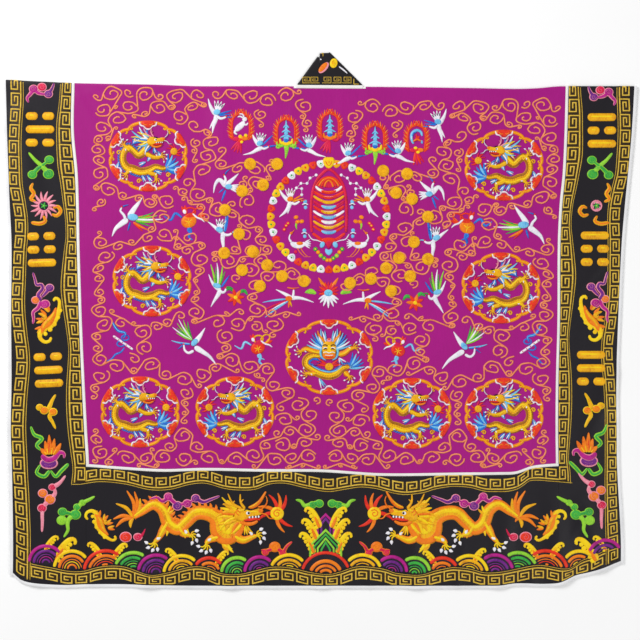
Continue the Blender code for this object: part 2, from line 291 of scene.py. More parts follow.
@dataclass(frozen=True)
class Floss:
    """Embroidery floss in satin stitch: fine threads side by side across each stroke, with a silk sheen,
    painted shade in the grooves between threads and a painted highlight on their crowns.
    """

    name: str
    colour: Colour
    # shade: the darker colour painted into the grooves between threads as shade
    shade: Colour
    slot: str
    thread_pitch: float = 0.0006
    roughness: float = 0.45

    def material(self) -> bpy.types.Material:
        """Builds the material. It reads the piece's stitch map, whose u runs along a stroke in metres."""
        shader = Shader(self.name)
        stitch = shader.add("ShaderNodeUVMap", uv_map=STITCH_MAP).outputs[0]
        lay = shader.add("ShaderNodeMapping")
        lay.inputs["Scale"].default_value = (1.0, 0.14, 1.0)
        threads = shader.add("ShaderNodeTexNoise", Scale=0.4 / self.thread_pitch, Detail=2.0, Roughness=0.6)
        fade = shader.add("ShaderNodeTexNoise", Scale=42.0, Detail=2.0)
        shader.join(stitch, lay.inputs["Vector"])
        shader.join(lay.outputs[0], threads.inputs["Vector"])
        shader.join(stitch, fade.inputs["Vector"])
        # The thread noise that lowers the bump also pulls the colour down to the shade stop, painted shade in
        # the grooves, and up to the top stop, a painted highlight on the crowns; the fade noise adds random
        # tone.
        random_tone_and_painted_shading = shader.math(
            "ADD",
            shader.math("MULTIPLY", threads.outputs["Fac"], 0.55),
            shader.math("MULTIPLY", fade.outputs["Fac"], 0.45),
        )
        stops = ((0.34, self.shade.linear()), (0.52, self.colour.linear()), (0.74, self.colour.linear(1.12)))
        shader.join(shader.ramp(random_tone_and_painted_shading, stops), shader.body.inputs["Base Color"])
        shader.bump(threads.outputs["Fac"], 0.0004, 0.6)
        shader.set(Roughness=self.roughness, Sheen_Weight=0.04, Sheen_Roughness=0.35, Specular_IOR_Level=0.3)
        return shader.material


@dataclass(frozen=True)
class PaleFloor:
    """The pale matt surface that the robe is laid on."""

    name: str = "pale_floor"
    colour: Colour = Colour(255, 255, 255)

    def material(self) -> bpy.types.Material:
        """Builds the material."""
        shader = Shader(self.name)
        place = shader.add("ShaderNodeTexCoord").outputs["Object"]
        grain = shader.add("ShaderNodeTexNoise", Scale=3.0, Detail=5.0)
        shader.join(place, grain.inputs["Vector"])
        stops = ((0.3, self.colour.linear(0.985)), (0.7, self.colour.linear()))
        shader.join(shader.ramp(grain.outputs["Fac"], stops), shader.body.inputs["Base Color"])
        shader.set(Roughness=0.9, Specular_IOR_Level=0.1, Emission_Strength=0.07)
        return shader.material


STITCH_MAP = "Stitch"
BAKE_MAP = "OFBake"

PURPLE_SATIN = Satin("purple_satin", Colour(168, 14, 130), sheen=0.05)
BLACK_SATIN = Satin("black_satin", Colour(28, 25, 31), roughness=0.4, sheen=0.04)
COLLAR_SATIN = Satin("collar_satin", Colour(26, 23, 27), roughness=0.4, sheen=0.04)
PIPING_COTTON = Cotton("white_piping", Colour(254, 252, 248))
BINDING_COTTON = Cotton("white_binding", Colour(250, 250, 252))


class Thread(Enum):
    """The flosses on the robe."""

    # Each floss: its colour, then the darker colour that its material paints into the grooves between threads
    # as shade.
    GOLD = Floss("gold_thread", Colour(250, 184, 8), Colour(206, 130, 6), "gold_thread")
    BRONZE = Floss("bronze_thread", Colour(176, 112, 16), Colour(120, 70, 10), "gold_thread")
    YELLOW = Floss("yellow_thread", Colour(255, 218, 14), Colour(242, 170, 6), "yellow_thread")
    ORANGE = Floss("orange_thread", Colour(250, 134, 16), Colour(226, 92, 10), "orange_thread")
    RED = Floss("red_thread", Colour(240, 56, 26), Colour(204, 24, 24), "red_thread")
    ROSE = Floss("rose_thread", Colour(226, 22, 78), Colour(180, 12, 60), "pink_thread")
    PINK = Floss("pink_thread", Colour(248, 158, 176), Colour(234, 104, 132), "pink_thread")
    VIOLET = Floss("violet_thread", Colour(120, 34, 138), Colour(74, 20, 104), "violet_thread")
    MAGENTA = Floss("magenta_thread", Colour(192, 24, 140), Colour(140, 14, 110), "violet_thread")
    BLUE = Floss("blue_thread", Colour(40, 124, 222), Colour(24, 62, 172), "blue_thread")
    SKY = Floss("pale_blue_thread", Colour(128, 206, 242), Colour(70, 156, 222), "pale_blue_thread")
    GREEN = Floss("green_thread", Colour(62, 180, 66), Colour(18, 128, 60), "green_thread")
    LIME = Floss("lime_thread", Colour(158, 222, 56), Colour(92, 184, 48), "green_thread")
    WHITE = Floss("white_thread", Colour(248, 246, 252), Colour(216, 212, 232), "white_thread")
    DARK = Floss("dark_thread", Colour(34, 26, 40), Colour(16, 12, 22), "dark_thread")
    FRET = Floss("fret_thread", Colour(232, 194, 70), Colour(196, 150, 26), "fret_thread")
    FRET_GROUND = Floss("fret_ground", Colour(52, 34, 8), Colour(34, 22, 5), "fret_ground")
    CORD = Floss("gold_cord", Colour(252, 152, 104), Colour(214, 98, 52), "gold_cord")


def smooth_curve(keys: Array, values: Array, at: Array) -> Array:
    """Reads a smooth curve through a table's rows.

    Args:
        keys: the rows' keys, rising.
        values: the rows' values.
        at: the keys to read at. Beyond the ends the curve stays level.

    Returns:
        The value at each key.
    """
    at = np.clip(at, keys[0], keys[-1])
    row = np.clip(np.searchsorted(keys, at, side="right") - 1, 0, len(keys) - 2)
    each = np.arange(len(keys))
    low, high = np.maximum(each - 1, 0), np.minimum(each + 1, len(keys) - 1)
    slopes = (values[high] - values[low]) / (keys[high] - keys[low])
    step = keys[row + 1] - keys[row]
    t = (at - keys[row]) / step
    ends = values[row] * (1 + 2 * t) * (1 - t) ** 2 + values[row + 1] * t**2 * (3 - 2 * t)
    return ends + step * (slopes[row] * t * (1 - t) ** 2 - slopes[row + 1] * t**2 * (1 - t))


def mix(low: Array | float, high: Array | float, t: Array | float) -> Array | float:
    """The value a share t of the way from low to high."""
    return low + (high - low) * t


class SideRow(NamedTuple):
    """Where the outline and the side seams lie at one drop below the shoulder."""

    drop: float
    left_edge: float
    left_seam: float
    right_seam: float
    right_edge: float


class HangRow(NamedTuple):
    """Where the shoulder fold, the hem seam and the hem lie at one distance across the robe."""

    across: float
    fold: float
    seam: float
    hem: float


class Crease(NamedTuple):
    """A soft ridge of the cloth: its crest line, its height and half its width."""

    x_start: float
    y_start: float
    x_end: float
    y_end: float
    height: float
    half_width: float


SIDES = (
    SideRow(0, -826, -649, 650, 827),
    SideRow(126, -823, -651, 647, 820),
    SideRow(237, -819, -641, 642, 810),
    SideRow(318, -816, -638, 634, 802),
    SideRow(426, -811, -636, 629, 793),
    SideRow(623, -812, -630, 628, 784),
    SideRow(784, -811, -623, 624, 779),
    SideRow(918, -813, -616, 623, 780),
    SideRow(1007, -810, -611, 624, 781),
    SideRow(1202, -807, -611, 622, 791),
    SideRow(1322, -808, -611, 620, 790),
)

HANG = (
    HangRow(-816, 9, 1004, 1288),
    HangRow(-796, 8, 1004, 1307),
    HangRow(-764, 6, 1005, 1315),
    HangRow(-700, 3, 1005, 1320),
    HangRow(-640, 0, 1006, 1318),
    HangRow(-546, -2, 1013, 1318),
    HangRow(-434, -4, 1019, 1321),
    HangRow(-322, -8, 1016, 1322),
    HangRow(-155, -8, 1019, 1322),
    HangRow(0, -9, 1020, 1322),
    HangRow(162, -10, 1030, 1322),
    HangRow(387, -13, 1028, 1322),
    HangRow(487, -15, 1027, 1321),
    HangRow(528, -15, 1025, 1316),
    HangRow(570, -13, 1011, 1316),
    HangRow(611, -9, 1006, 1317),
    HangRow(651, -8, 1004, 1313),
    HangRow(693, -8, 1004, 1295),
    HangRow(733, -8, 1004, 1286),
    HangRow(774, -8, 1003, 1273),
    HangRow(816, -8, 1003, 1257),
)

# The broad ridges that the solids have too
RIDGES = (
    Crease(-455, -705, -424, -470, 5.5, 42),
    Crease(-237, -705, -262, -488, 5.0, 38),
    Crease(4, -705, 24, -520, 3.5, 36),
    Crease(252, -705, 236, -470, 5.5, 40),
    Crease(470, -700, 505, -400, 4.0, 38),
    Crease(640, -690, 604, -430, 6.0, 44),
    Crease(742, -655, 676, -452, 5.0, 38),
    Crease(-745, -690, -690, -470, 4.0, 40),
    Crease(-790, 540, -730, 190, 3.0, 40),
    Crease(-795, 60, -735, -290, 3.0, 38),
    Crease(790, 560, 706, 300, 3.5, 42),
    Crease(768, -140, 690, -380, 3.5, 40),
    Crease(-268, 560, -236, -60, 2.5, 46),
    Crease(300, 540, 276, -90, 2.5, 46),
    Crease(-560, -330, -120, -352, 2.0, 44),
)

# Finer creases of the back, listed between the broad ones
FINE_CREASES = (
    Crease(-640, 590, -560, 470, 1.8, 15),
    Crease(-610, 602, -470, 540, 1.4, 13),
    Crease(-598, 330, -520, 250, 1.3, 14),
    Crease(-606, 60, -500, 20, 1.2, 15),
    Crease(-590, -120, -520, -250, 1.4, 15),
    Crease(-540, -372, -430, -300, 1.2, 14),
    Crease(-60, 600, -96, 480, 1.3, 13),
    Crease(118, 606, 150, 470, 1.5, 13),
    Crease(52, 596, 66, 430, 1.0, 12),
    Crease(640, 600, 560, 500, 1.6, 15),
    Crease(610, 250, 540, 130, 1.2, 15),
    Crease(600, -60, 520, -170, 1.3, 15),
    Crease(590, -330, 470, -280, 1.3, 15),
    Crease(60, -392, 120, -280, 1.1, 14),
    Crease(-200, -398, -150, -260, 1.2, 15),
    Crease(330, -402, 300, -240, 1.2, 15),
    Crease(-716, 420, -660, 300, 1.4, 13),
    Crease(-770, 300, -700, 220, 1.1, 12),
    Crease(-720, 40, -650, -60, 1.2, 13),
    Crease(-760, -330, -670, -400, 1.5, 14),
    Crease(-600, -690, -560, -560, 2.0, 15),
    Crease(-350, -690, -372, -520, 1.6, 14),
    Crease(-120, -700, -98, -560, 1.8, 15),
    Crease(130, -700, 118, -540, 1.6, 14),
    Crease(360, -700, 380, -560, 1.9, 15),
    Crease(560, -690, 548, -520, 1.8, 15),
    Crease(735, 480, 668, 380, 1.4, 13),
    Crease(745, 150, 668, 60, 1.3, 13),
    Crease(742, -250, 670, -180, 1.3, 13),
    Crease(700, -500, 650, -600, 1.6, 14),
)

# Dents in the underside of the fronts, where the cloth doesn't touch the floor
UNDER_DENTS = (
    Crease(-560, 520, -300, 120, 0.7, 40),
    Crease(-420, 90, -520, -330, 0.7, 44),
    Crease(-180, 470, -240, -100, 0.7, 40),
    Crease(-300, -420, -200, -640, 0.6, 36),
    Crease(-700, 330, -740, -60, 0.6, 34),
    Crease(260, 500, 330, 60, 0.7, 42),
    Crease(520, 470, 430, 40, 0.7, 40),
    Crease(360, -60, 250, -380, 0.7, 44),
    Crease(480, -430, 400, -650, 0.6, 36),
    Crease(706, 260, 730, -180, 0.6, 34),
)


def crease_height(creases: Iterable[Crease], x: Array, y: Array) -> Array:
    """Adds up what creases raise the cloth.

    Args:
        creases: the creases.
        x: plan x of each place.
        y: plan y of each place.

    Returns:
        The rise at each place, full on a crest's start and nothing at its sides and far end.
    """
    total = np.zeros(np.broadcast(x, y).shape)
    for crease in creases:
        run_x, run_y = crease.x_end - crease.x_start, crease.y_end - crease.y_start
        length = math.hypot(run_x, run_y)
        along = ((x - crease.x_start) * run_x + (y - crease.y_start) * run_y) / length**2
        beside = np.abs((x - crease.x_start) * run_y - (y - crease.y_start) * run_x) / length
        overshoot = np.maximum(0, np.maximum(-along, along - 1)) * length
        away = np.minimum(1, np.hypot(beside, overshoot) / crease.half_width)
        fade = 1 - np.clip(along, 0, 1) ** 2
        total += crease.height * fade * np.cos(away * math.pi / 2) ** 2
    return total


@dataclass(frozen=True)
class Lay:
    """How the robe lies: where a place of the cut comes to rest, and how high the cloth is there."""

    half_body: float = 640.0
    half_width: float = 816.0
    body_length: float = 1006.0
    full_length: float = 1322.0
    fold_y: float = 624.0
    layer_rise: float = 3.0
    shoulder_puff: float = 1.6
    puff_length: float = 45.0
    front_tuck: float = 3.0
    tuck_length: float = 120.0
    roll_reach: float = 4.2
    pucker: float = 0.45
    pucker_reach: float = 20.0
    pucker_pitch: float = 23.0
    ripple: float = 0.45
    settle_length: float = 12.0

    def side(self, column: str, y: Array) -> Array:
        """Reads one column of the side table at a plan y."""
        keys = np.array([row.drop for row in SIDES], float)
        return smooth_curve(keys, np.array([getattr(row, column) for row in SIDES], float), self.fold_y - y)

    def hang(self, column: str, across: Array) -> Array:
        """Reads one column of the hang table at a distance across, as a plan y.

        Args:
            column: the table's column.
            across: distances across the cut.

        Returns:
            The plan y at each.
        """
        keys = np.array([row.across for row in HANG], float)
        values = np.array([getattr(row, column) for row in HANG], float)
        sign = 1 if column == "fold" else -1
        return self.fold_y + sign * smooth_curve(keys, values, across)

    def place(self, across: Array, drop: Array) -> tuple[Array, Array]:
        """Lays places of the cut down.

        Args:
            across: distances from centre back.
            drop: drops below the shoulder.

        Returns:
            Plan x and y.
        """
        across, drop = np.broadcast_arrays(np.asarray(across, float), np.asarray(drop, float))
        fold, seam, hem = (self.hang(column, across) for column in ("fold", "seam", "hem"))
        below = (drop - self.body_length) / (self.full_length - self.body_length)
        y = np.where(drop <= self.body_length, mix(fold, seam, drop / self.body_length),
                     mix(seam, hem, below))
        left, right = self.side("left_seam", y), self.side("right_seam", y)
        inside = mix(left, right, (across + self.half_body) / (2 * self.half_body))
        beyond = (np.abs(across) - self.half_body) / (self.half_width - self.half_body)
        on_left = mix(left, self.side("left_edge", y), beyond)
        on_right = mix(right, self.side("right_edge", y), beyond)
        outside = np.where(across < 0, on_left, on_right)
        return np.where(beyond <= 0, inside, outside), y

    def front_place(self, across: Array, drop: Array) -> tuple[Array, Array]:
        """As place, for the fronts, which end a little inside the back's outline."""
        tuck = self.front_tuck * np.minimum(1.0, np.asarray(drop, float) / self.tuck_length)
        return self.place(across * (1 - tuck / self.half_width), drop * (1 - tuck / self.full_length))

    def across_at(self, x: Array, y: Array) -> Array:
        """The distance across the cut of a place in plan.

        Args:
            x: plan x.
            y: plan y.

        Returns:
            The distance across.
        """
        left, right = self.side("left_seam", y), self.side("right_seam", y)
        inside = (x - left) / (right - left) * 2 * self.half_body - self.half_body
        border = self.half_width - self.half_body
        on_left = -self.half_body - (left - x) / (left - self.side("left_edge", y)) * border
        on_right = self.half_body + (x - right) / (self.side("right_edge", y) - right) * border
        return np.where(x < left, on_left, np.where(x > right, on_right, inside))

    def seam_distance(self, x: Array, y: Array) -> tuple[Array, Array]:
        """How far a place is from the nearest seam between ground and border.

        Args:
            x: plan x.
            y: plan y.

        Returns:
            The distance, and how far along that seam the place is.
        """
        hem_seam = self.hang("seam", self.across_at(x, y))
        to_side = np.minimum(np.abs(x - self.side("left_seam", y)), np.abs(x - self.side("right_seam", y)))
        to_side = np.hypot(to_side, np.maximum(0, hem_seam - y))
        to_hem = np.abs(y - hem_seam)
        return np.minimum(to_side, to_hem), np.where(to_side < to_hem, y, x)

    def rise(self, x: Array, y: Array) -> Array:
        """Height of the back's underside above the floor.

        Args:
            x: plan x.
            y: plan y.

        Returns:
            The height at each place.
        """
        depth = np.maximum(0, self.hang("fold", self.across_at(x, y)) - y)
        rise = self.layer_rise + self.shoulder_puff * np.exp(-depth / self.puff_length)
        rise = rise + crease_height(RIDGES, x, y)
        settle = 1 - np.exp(-depth / self.settle_length)
        distance, along = self.seam_distance(x, y)
        wave = 0.5 + 0.5 * np.sin(along * 2 * math.pi / self.pucker_pitch + 2.4 * np.sin(along / 61.0))
        pucker = self.pucker * wave * np.exp(-((distance / self.pucker_reach) ** 2))
        swell = np.sin(x / 47 + 1.7 * np.sin(y / 83)) * np.sin(y / 59 + 1.3 * np.sin(x / 71))
        ripple = self.ripple * (0.5 + 0.5 * swell)
        return rise + settle * (crease_height(FINE_CREASES, x, y) + pucker + ripple)

    def under_dent(self, x: Array, y: Array) -> Array:
        """How far the fronts' underside is off the floor, inside the dents."""
        return crease_height(UNDER_DENTS, x, y)


LAY = Lay()


class Part(Enum):
    """The parts of the cloth's length."""

    BACK = "back"
    ROLL = "roll"
    FRONT = "front"


@dataclass(frozen=True)
class Cut:
    """Where the pieces meet on the cut, and how finely their cloth is made."""

    lay: Lay = LAY
    piping_width: float = 7.4
    binding_width: float = 7.7
    neck_piping_width: float = 8.6
    collar_width: float = 82.0
    neck_centre: float = 25.0
    neck_half: float = 85.5
    neck_drop: float = 5.3
    seam_gap: float = 0.3
    cell: float = 9.5
    shortest_step: float = 1.0
    roll_steps: int = 10

    @property
    def half_piping(self) -> float:
        """Half the piping's width."""
        return self.piping_width / 2

    @property
    def ground_half(self) -> float:
        """Centre back to the ground's side edge."""
        return self.lay.half_body - self.half_piping - self.seam_gap

    @property
    def border_inner(self) -> float:
        """Centre back to the side border's inner edge."""
        return self.lay.half_body + self.half_piping + self.seam_gap

    @property
    def ground_length(self) -> float:
        """Shoulder to the ground's lower edge."""
        return self.lay.body_length - self.half_piping - self.seam_gap

    @property
    def hem_top(self) -> float:
        """Shoulder to the hem border's upper edge."""
        return self.lay.body_length + self.half_piping + self.seam_gap

    @property
    def binding_inner(self) -> float:
        """Centre back to the edge binding."""
        return self.lay.half_width + self.seam_gap

    @property
    def binding_outer(self) -> float:
        """Centre back to the outer edge."""
        return self.binding_inner + self.binding_width

    @property
    def hem_binding_top(self) -> float:
        """Shoulder to the hem binding."""
        return self.lay.full_length + self.seam_gap

    @property
    def hem_binding_length(self) -> float:
        """Shoulder to the lower edge."""
        return self.hem_binding_top + self.binding_width

    @property
    def front_inner(self) -> float:
        """The neck's centre to the fronts' inner edges."""
        return self.neck_half + self.piping_width + 2 * self.seam_gap

    @property
    def neck_left(self) -> float:
        """Centre back to the left front's inner edge."""
        return self.neck_centre - self.front_inner

    @property
    def neck_right(self) -> float:
        """Centre back to the right front's inner edge."""
        return self.neck_centre + self.front_inner

    def steps(self, *stops: float) -> list[float]:
        """Evenly spaced values through several stops, no further apart than a cell."""
        found = [stops[0]]
        for low, high in zip(stops, stops[1:]):
            count = max(1, math.ceil(abs(high - low) / self.cell))
            found += [mix(low, high, i / count) for i in range(1, count + 1)]
        return found

    def across(self, low: float, high: float, fewest: int = 2) -> Array:
        """Columns of a piece between two distances across.

        Args:
            low: the left edge.
            high: the right edge.
            fewest: the least number of cells, for a narrow strip.

        Returns:
            The columns, shared with the piece's neighbours where they run side by side.
        """
        shared = self.steps(
            -self.lay.half_width, -self.border_inner, -self.ground_half, self.neck_left,
            self.neck_right, self.ground_half, self.border_inner, self.lay.half_width,
        )
        inside = [place for place in shared if low + self.shortest_step < place < high - self.shortest_step]
        if len(inside) + 1 < fewest:
            return np.linspace(low, high, fewest + 1)
        return np.array([low, *inside, high])

    def drops(self, low: float, high: float, fewest: int = 2) -> list[float]:
        """Drops of a piece's sections between two drops, as across does for columns.

        Args:
            low: the lower bound.
            high: the upper bound.
            fewest: the least number of cells.

        Returns:
            The drops.
        """
        shared = self.steps(self.lay.roll_reach, self.ground_length, self.hem_top, self.lay.full_length)
        inside = [place for place in shared if low + self.shortest_step < place < high - self.shortest_step]
        if len(inside) + 1 < fewest:
            return list(np.linspace(low, high, fewest + 1))
        return [low, *inside, high]

    def back(self, low: float, high: float, fewest: int = 2) -> list[tuple[Part, float]]:
        """Sections of the back, listed from the hem upwards."""
        return [(Part.BACK, drop) for drop in reversed(self.drops(low, high, fewest))]

    def front(self, low: float, high: float, fewest: int = 2) -> list[tuple[Part, float]]:
        """Sections of a front, listed from the shoulder down."""
        return [(Part.FRONT, drop) for drop in self.drops(low, high, fewest)]

    def roll(self) -> list[tuple[Part, float]]:
        """Sections round the shoulder roll."""
        return [(Part.ROLL, i / self.roll_steps) for i in range(1, self.roll_steps)]

    def over_shoulder(self, length: float) -> list[tuple[Part, float]]:
        """Sections up the back, round the shoulder roll and down the front."""
        reach = self.lay.roll_reach
        return self.back(reach, length) + self.roll() + self.front(reach, length)


CUT = Cut()


class Mesher:
    """Turns arrays of points and faces into a piece of the robe."""

    @staticmethod
    def volume(points: Array, quads: Array) -> float:
        """Signed volume that four-sided faces close in."""
        a, b, c, d = (points[quads[:, n]] for n in range(4))
        return float(np.einsum("ij,ij->i", a, np.cross(b, c)).sum()
                     + np.einsum("ij,ij->i", a, np.cross(c, d)).sum())

    @staticmethod
    def build(
        name: str,
        points: Array,
        faces: Array,
        materials: Sequence[bpy.types.Material],
        wears: Array | None = None,
        maps: dict[str, Array] | None = None,
    ) -> bpy.types.Object:
        """Makes a smooth-shaded object at the origin.

        Args:
            name: the object's name.
            points: its points, in millimetres.
            faces: four corners a row, with the last one repeated for a triangle.
            materials: the materials it wears.
            wears: for each face, which material it wears.
            maps: UV maps by name, with a place for each point.

        Returns:
            The object, linked to the scene.
        """
        used, index = np.unique(faces, return_inverse=True)
        faces, points = index.reshape(faces.shape), points[used]
        three = faces[:, 2] == faces[:, 3]
        counts = np.where(three, 3, 4)
        keep = np.ones(faces.shape, bool)
        keep[:, 3] = ~three
        corners = faces[keep]
        mesh = bpy.data.meshes.new(name)
        mesh.vertices.add(len(points))
        mesh.vertices.foreach_set("co", (points * MM).astype(np.float32).ravel())
        mesh.loops.add(len(corners))
        mesh.loops.foreach_set("vertex_index", corners.astype(np.int32))
        mesh.polygons.add(len(faces))
        starts = np.concatenate([[0], np.cumsum(counts)[:-1]]).astype(np.int32)
        mesh.polygons.foreach_set("loop_start", starts)
        mesh.polygons.foreach_set("use_smooth", np.ones(len(faces), bool))
        for material in materials:
            mesh.materials.append(material)
        if wears is not None:
            mesh.polygons.foreach_set("material_index", wears.astype(np.int32))
        for map_name, places in (maps or {}).items():
            layer = mesh.uv_layers.new(name=map_name, do_init=False)
            layer.uv.foreach_set("vector", places[used][corners].astype(np.float32).ravel())
        mesh.update()
        mesh.validate()
        piece = bpy.data.objects.new(name, mesh)
        bpy.context.scene.collection.objects.link(piece)
        return piece

    @staticmethod
    def wall(
        name: str,
        inner: Array,
        outer: Array,
        material: bpy.types.Material,
        present: Array | None = None,
    ) -> bpy.types.Object:
        """Makes a closed wall from two grids of points.

        Args:
            name: the object's name.
            inner: the wall's inner points, as rows, columns and coordinates.
            outer: its outer points.
            material: what it wears.
            present: which cells are cloth, or None for all.

        Returns:
            The object.
        """
        rows, columns = inner.shape[:2]
        cells = np.ones((rows - 1, columns - 1), bool) if present is None else present
        number = np.arange(rows * columns).reshape(rows, columns)
        ring = np.stack([number[:-1, :-1], number[:-1, 1:], number[1:, 1:], number[1:, :-1]], 2)
        inner_start = rows * columns
        faces = [ring[cells], ring[cells][:, ::-1] + inner_start]
        padded = np.pad(cells, 1)
        beyond = (padded[:-2, 1:-1], padded[1:-1, 2:], padded[2:, 1:-1], padded[1:-1, :-2])
        for n, neighbour in enumerate(beyond):
            rim = cells & ~neighbour
            start, end = ring[rim][:, n], ring[rim][:, (n + 1) % 4]
            faces.append(np.stack([end, start, start + inner_start, end + inner_start], 1))
        quads = np.concatenate(faces)
        points = np.concatenate([outer.reshape(-1, 3), inner.reshape(-1, 3)])
        if Mesher.volume(points, quads) < 0:
            quads = quads[:, ::-1]
        piece = Mesher.build(name, points, quads, [material])
        piece.data.set_sharp_from_angle(angle=math.radians(50))
        return piece


@dataclass(frozen=True)
class Strip:
    """One flat-cut piece of cloth laid over the robe's form, with a wall and perhaps a rounded face."""

    name: str
    columns: Array
    sections: list[tuple[Part, float]]
    wall: float
    dome: float = 0.0
    dome_along: bool = False

    def grids(self) -> tuple[Array, Array]:
        """The wall's inner and outer points.

        Returns:
            Two grids, one row for each section.
        """
        rows = [self.row(n) for n in range(len(self.sections))]
        return np.stack([row[0] for row in rows]), np.stack([row[1] for row in rows])

    def bulge(self, number: int) -> Array:
        """How much the rounded face stands proud at each column of a section.

        Args:
            number: the section's number.

        Returns:
            The bulge at each column.
        """
        if self.dome_along:
            share = number / (len(self.sections) - 1)
            across = np.full(len(self.columns), share)
        else:
            across = (self.columns - self.columns[0]) / (self.columns[-1] - self.columns[0])
        return self.dome * np.sqrt(np.maximum(0, 1 - (2 * across - 1) ** 2))

    def row(self, number: int) -> tuple[Array, Array]:
        """One section's inner and outer points.

        Args:
            number: the section's number.

        Returns:
            Its inner and outer points.
        """
        part, place = self.sections[number]
        bulge = self.bulge(number)
        if part is Part.BACK:
            x, y = LAY.place(self.columns, place)
            rise = LAY.rise(x, y)
            return np.stack([x, y, rise], 1), np.stack([x, y, rise + self.wall + bulge], 1)
        if part is Part.FRONT:
            x, y = LAY.front_place(self.columns, place)
            dent = LAY.under_dent(x, y) * min(1.0, place / LAY.tuck_length)
            edge = np.abs(self.columns) > LAY.half_width - 1
            dent = np.where(edge, 0, dent)
            return np.stack([x, y, dent + self.wall], 1), np.stack([x, y, dent], 1)
        x, y = LAY.place(self.columns, LAY.roll_reach)
        reach = LAY.place(self.columns, 0.0)[1] - y
        angle = place * math.pi
        middle = (LAY.rise(x, y) + self.wall) / 2
        proud = bulge * (1 + math.cos(angle)) / 2
        inner_y = y + (reach - self.wall) * math.sin(angle)
        inner_z = middle + (middle - self.wall) * math.cos(angle)
        outer_y = y + (reach + proud) * math.sin(angle)
        outer_z = middle + (middle + proud) * math.cos(angle)
        return np.stack([x, inner_y, inner_z], 1), np.stack([x, outer_y, outer_z], 1)

    def make(self, material: bpy.types.Material, present: Array | None = None) -> bpy.types.Object:
        """Builds the piece, which stands for the solid of its name."""
        inner, outer = self.grids()
        piece = Mesher.wall(self.name, inner, outer, material, present)
        return piece


def settle(piece: bpy.types.Object, slot: str, *stands_for: str) -> bpy.types.Object:
    """Fixes a finished piece to the robe and reports it.

    Args:
        piece: the piece.
        slot: the record's material slot; not used.
        stands_for: the solids that it stands for.

    Returns:
        The piece.
    """
    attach(piece, "root")
    if stands_for:
        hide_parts(*stands_for)
    LOG.info("%s: %d faces, %d materials", piece.name, len(piece.data.polygons), len(piece.data.materials))
    return piece


def cloth_name(node: str) -> str:
    """The name of the cloth that stands for a solid."""
    return f"{node}_cloth"


class Surface:
    """The cloth's upper face, just as its mesh has it, for embroidery to lie on."""

    clearance = 0.05
    furthest_turn = 0.8

    def __init__(self, cut: Cut = CUT, ground_wall: float = 1.5, border_wall: float = 1.7) -> None:
        """Reads the height at each station that the cloth's mesh has.

        Args:
            cut: the stations.
            ground_wall: how thick the ground is.
            border_wall: how thick the borders are.
        """
        self.columns = cut.across(-LAY.half_width, LAY.half_width)
        self.stations = np.array(cut.drops(LAY.roll_reach, LAY.full_length))
        across, drop = np.meshgrid(self.columns, self.stations)
        x, y = LAY.place(across, drop)
        border = (np.abs(across) > LAY.half_body) | (drop > LAY.body_length)
        self.heights = LAY.rise(x, y) + np.where(border, border_wall, ground_wall)

    def drop_at(self, across: Array, y: Array) -> Array:
        """The drop below the shoulder of a place at a distance across and a plan y.

        Args:
            across: distances across the cut.
            y: plan y.

        Returns:
            The drop at each place.
        """
        fold, seam, hem = (LAY.hang(column, across) for column in ("fold", "seam", "hem"))
        above = (fold - y) / (fold - seam) * LAY.body_length
        below = LAY.body_length + (seam - y) / (seam - hem) * (LAY.full_length - LAY.body_length)
        return np.where(y >= seam, above, below)

    def top(self, x: Array, y: Array) -> Array:
        """Height of the cloth's upper face at places in plan.

        Args:
            x: plan x.
            y: plan y.

        Returns:
            The height at each place.
        """
        across = LAY.across_at(x, y)
        drop = self.drop_at(across, y)
        column = np.clip(np.searchsorted(self.columns, across) - 1, 0, len(self.columns) - 2)
        row = np.clip(np.searchsorted(self.stations, drop) - 1, 0, len(self.stations) - 2)
        s = (across - self.columns[column]) / (self.columns[column + 1] - self.columns[column])
        t = (drop - self.stations[row]) / (self.stations[row + 1] - self.stations[row])
        s, t = np.clip(s, 0, 1), np.clip(t, 0, 1)
        upper = mix(self.heights[row, column], self.heights[row, column + 1], s)
        lower = mix(self.heights[row + 1, column], self.heights[row + 1, column + 1], s)
        return mix(upper, lower, t)

    def drape(self, points: Array) -> Array:
        """Lays embroidery that was drawn in plan on the back, and over the shoulder roll.

        Args:
            points: plan x and y, and height above the cloth, one row a point.

        Returns:
            The points on the cloth.
        """
        x, y, height = points.T
        start = LAY.hang("fold", LAY.across_at(x, y)) - LAY.roll_reach
        top = self.top(x, np.minimum(y, start))
        middle = top / 2
        length = math.pi * np.sqrt((LAY.roll_reach**2 + middle**2) / 2)
        angle = np.clip((y - start) / length, 0, self.furthest_turn) * math.pi
        rolled_y = start + (LAY.roll_reach + height) * np.sin(angle)
        rolled_z = np.maximum(middle + (middle + height) * np.cos(angle), self.clearance)
        flat = y <= start
        return np.stack([x, np.where(flat, y, rolled_y), np.where(flat, top + height, rolled_z)], 1)


SURFACE = Surface()


class Patch(NamedTuple):
    """Some stitches in plan: points with heights above the cloth, faces, and the map that the floss
    follows.
    """

    points: Array
    faces: Array
    upward: Array
    lay: Array
    thread: Thread
    level: float


# A stroke's points across, for widths up to each limit in millimetres
STROKE_COLUMNS = ((3.2, 3), (8.0, 4), (14.0, 5), (math.inf, 6))
# The least and the greatest distance between a stroke's stations, and the stations of a short one
STATION_STEPS = (1.9, 4.8)
FEWEST_STATIONS = 8
# Further stations in each taper, as shares of its length
TAPER_STATIONS = (0.1, 0.45)


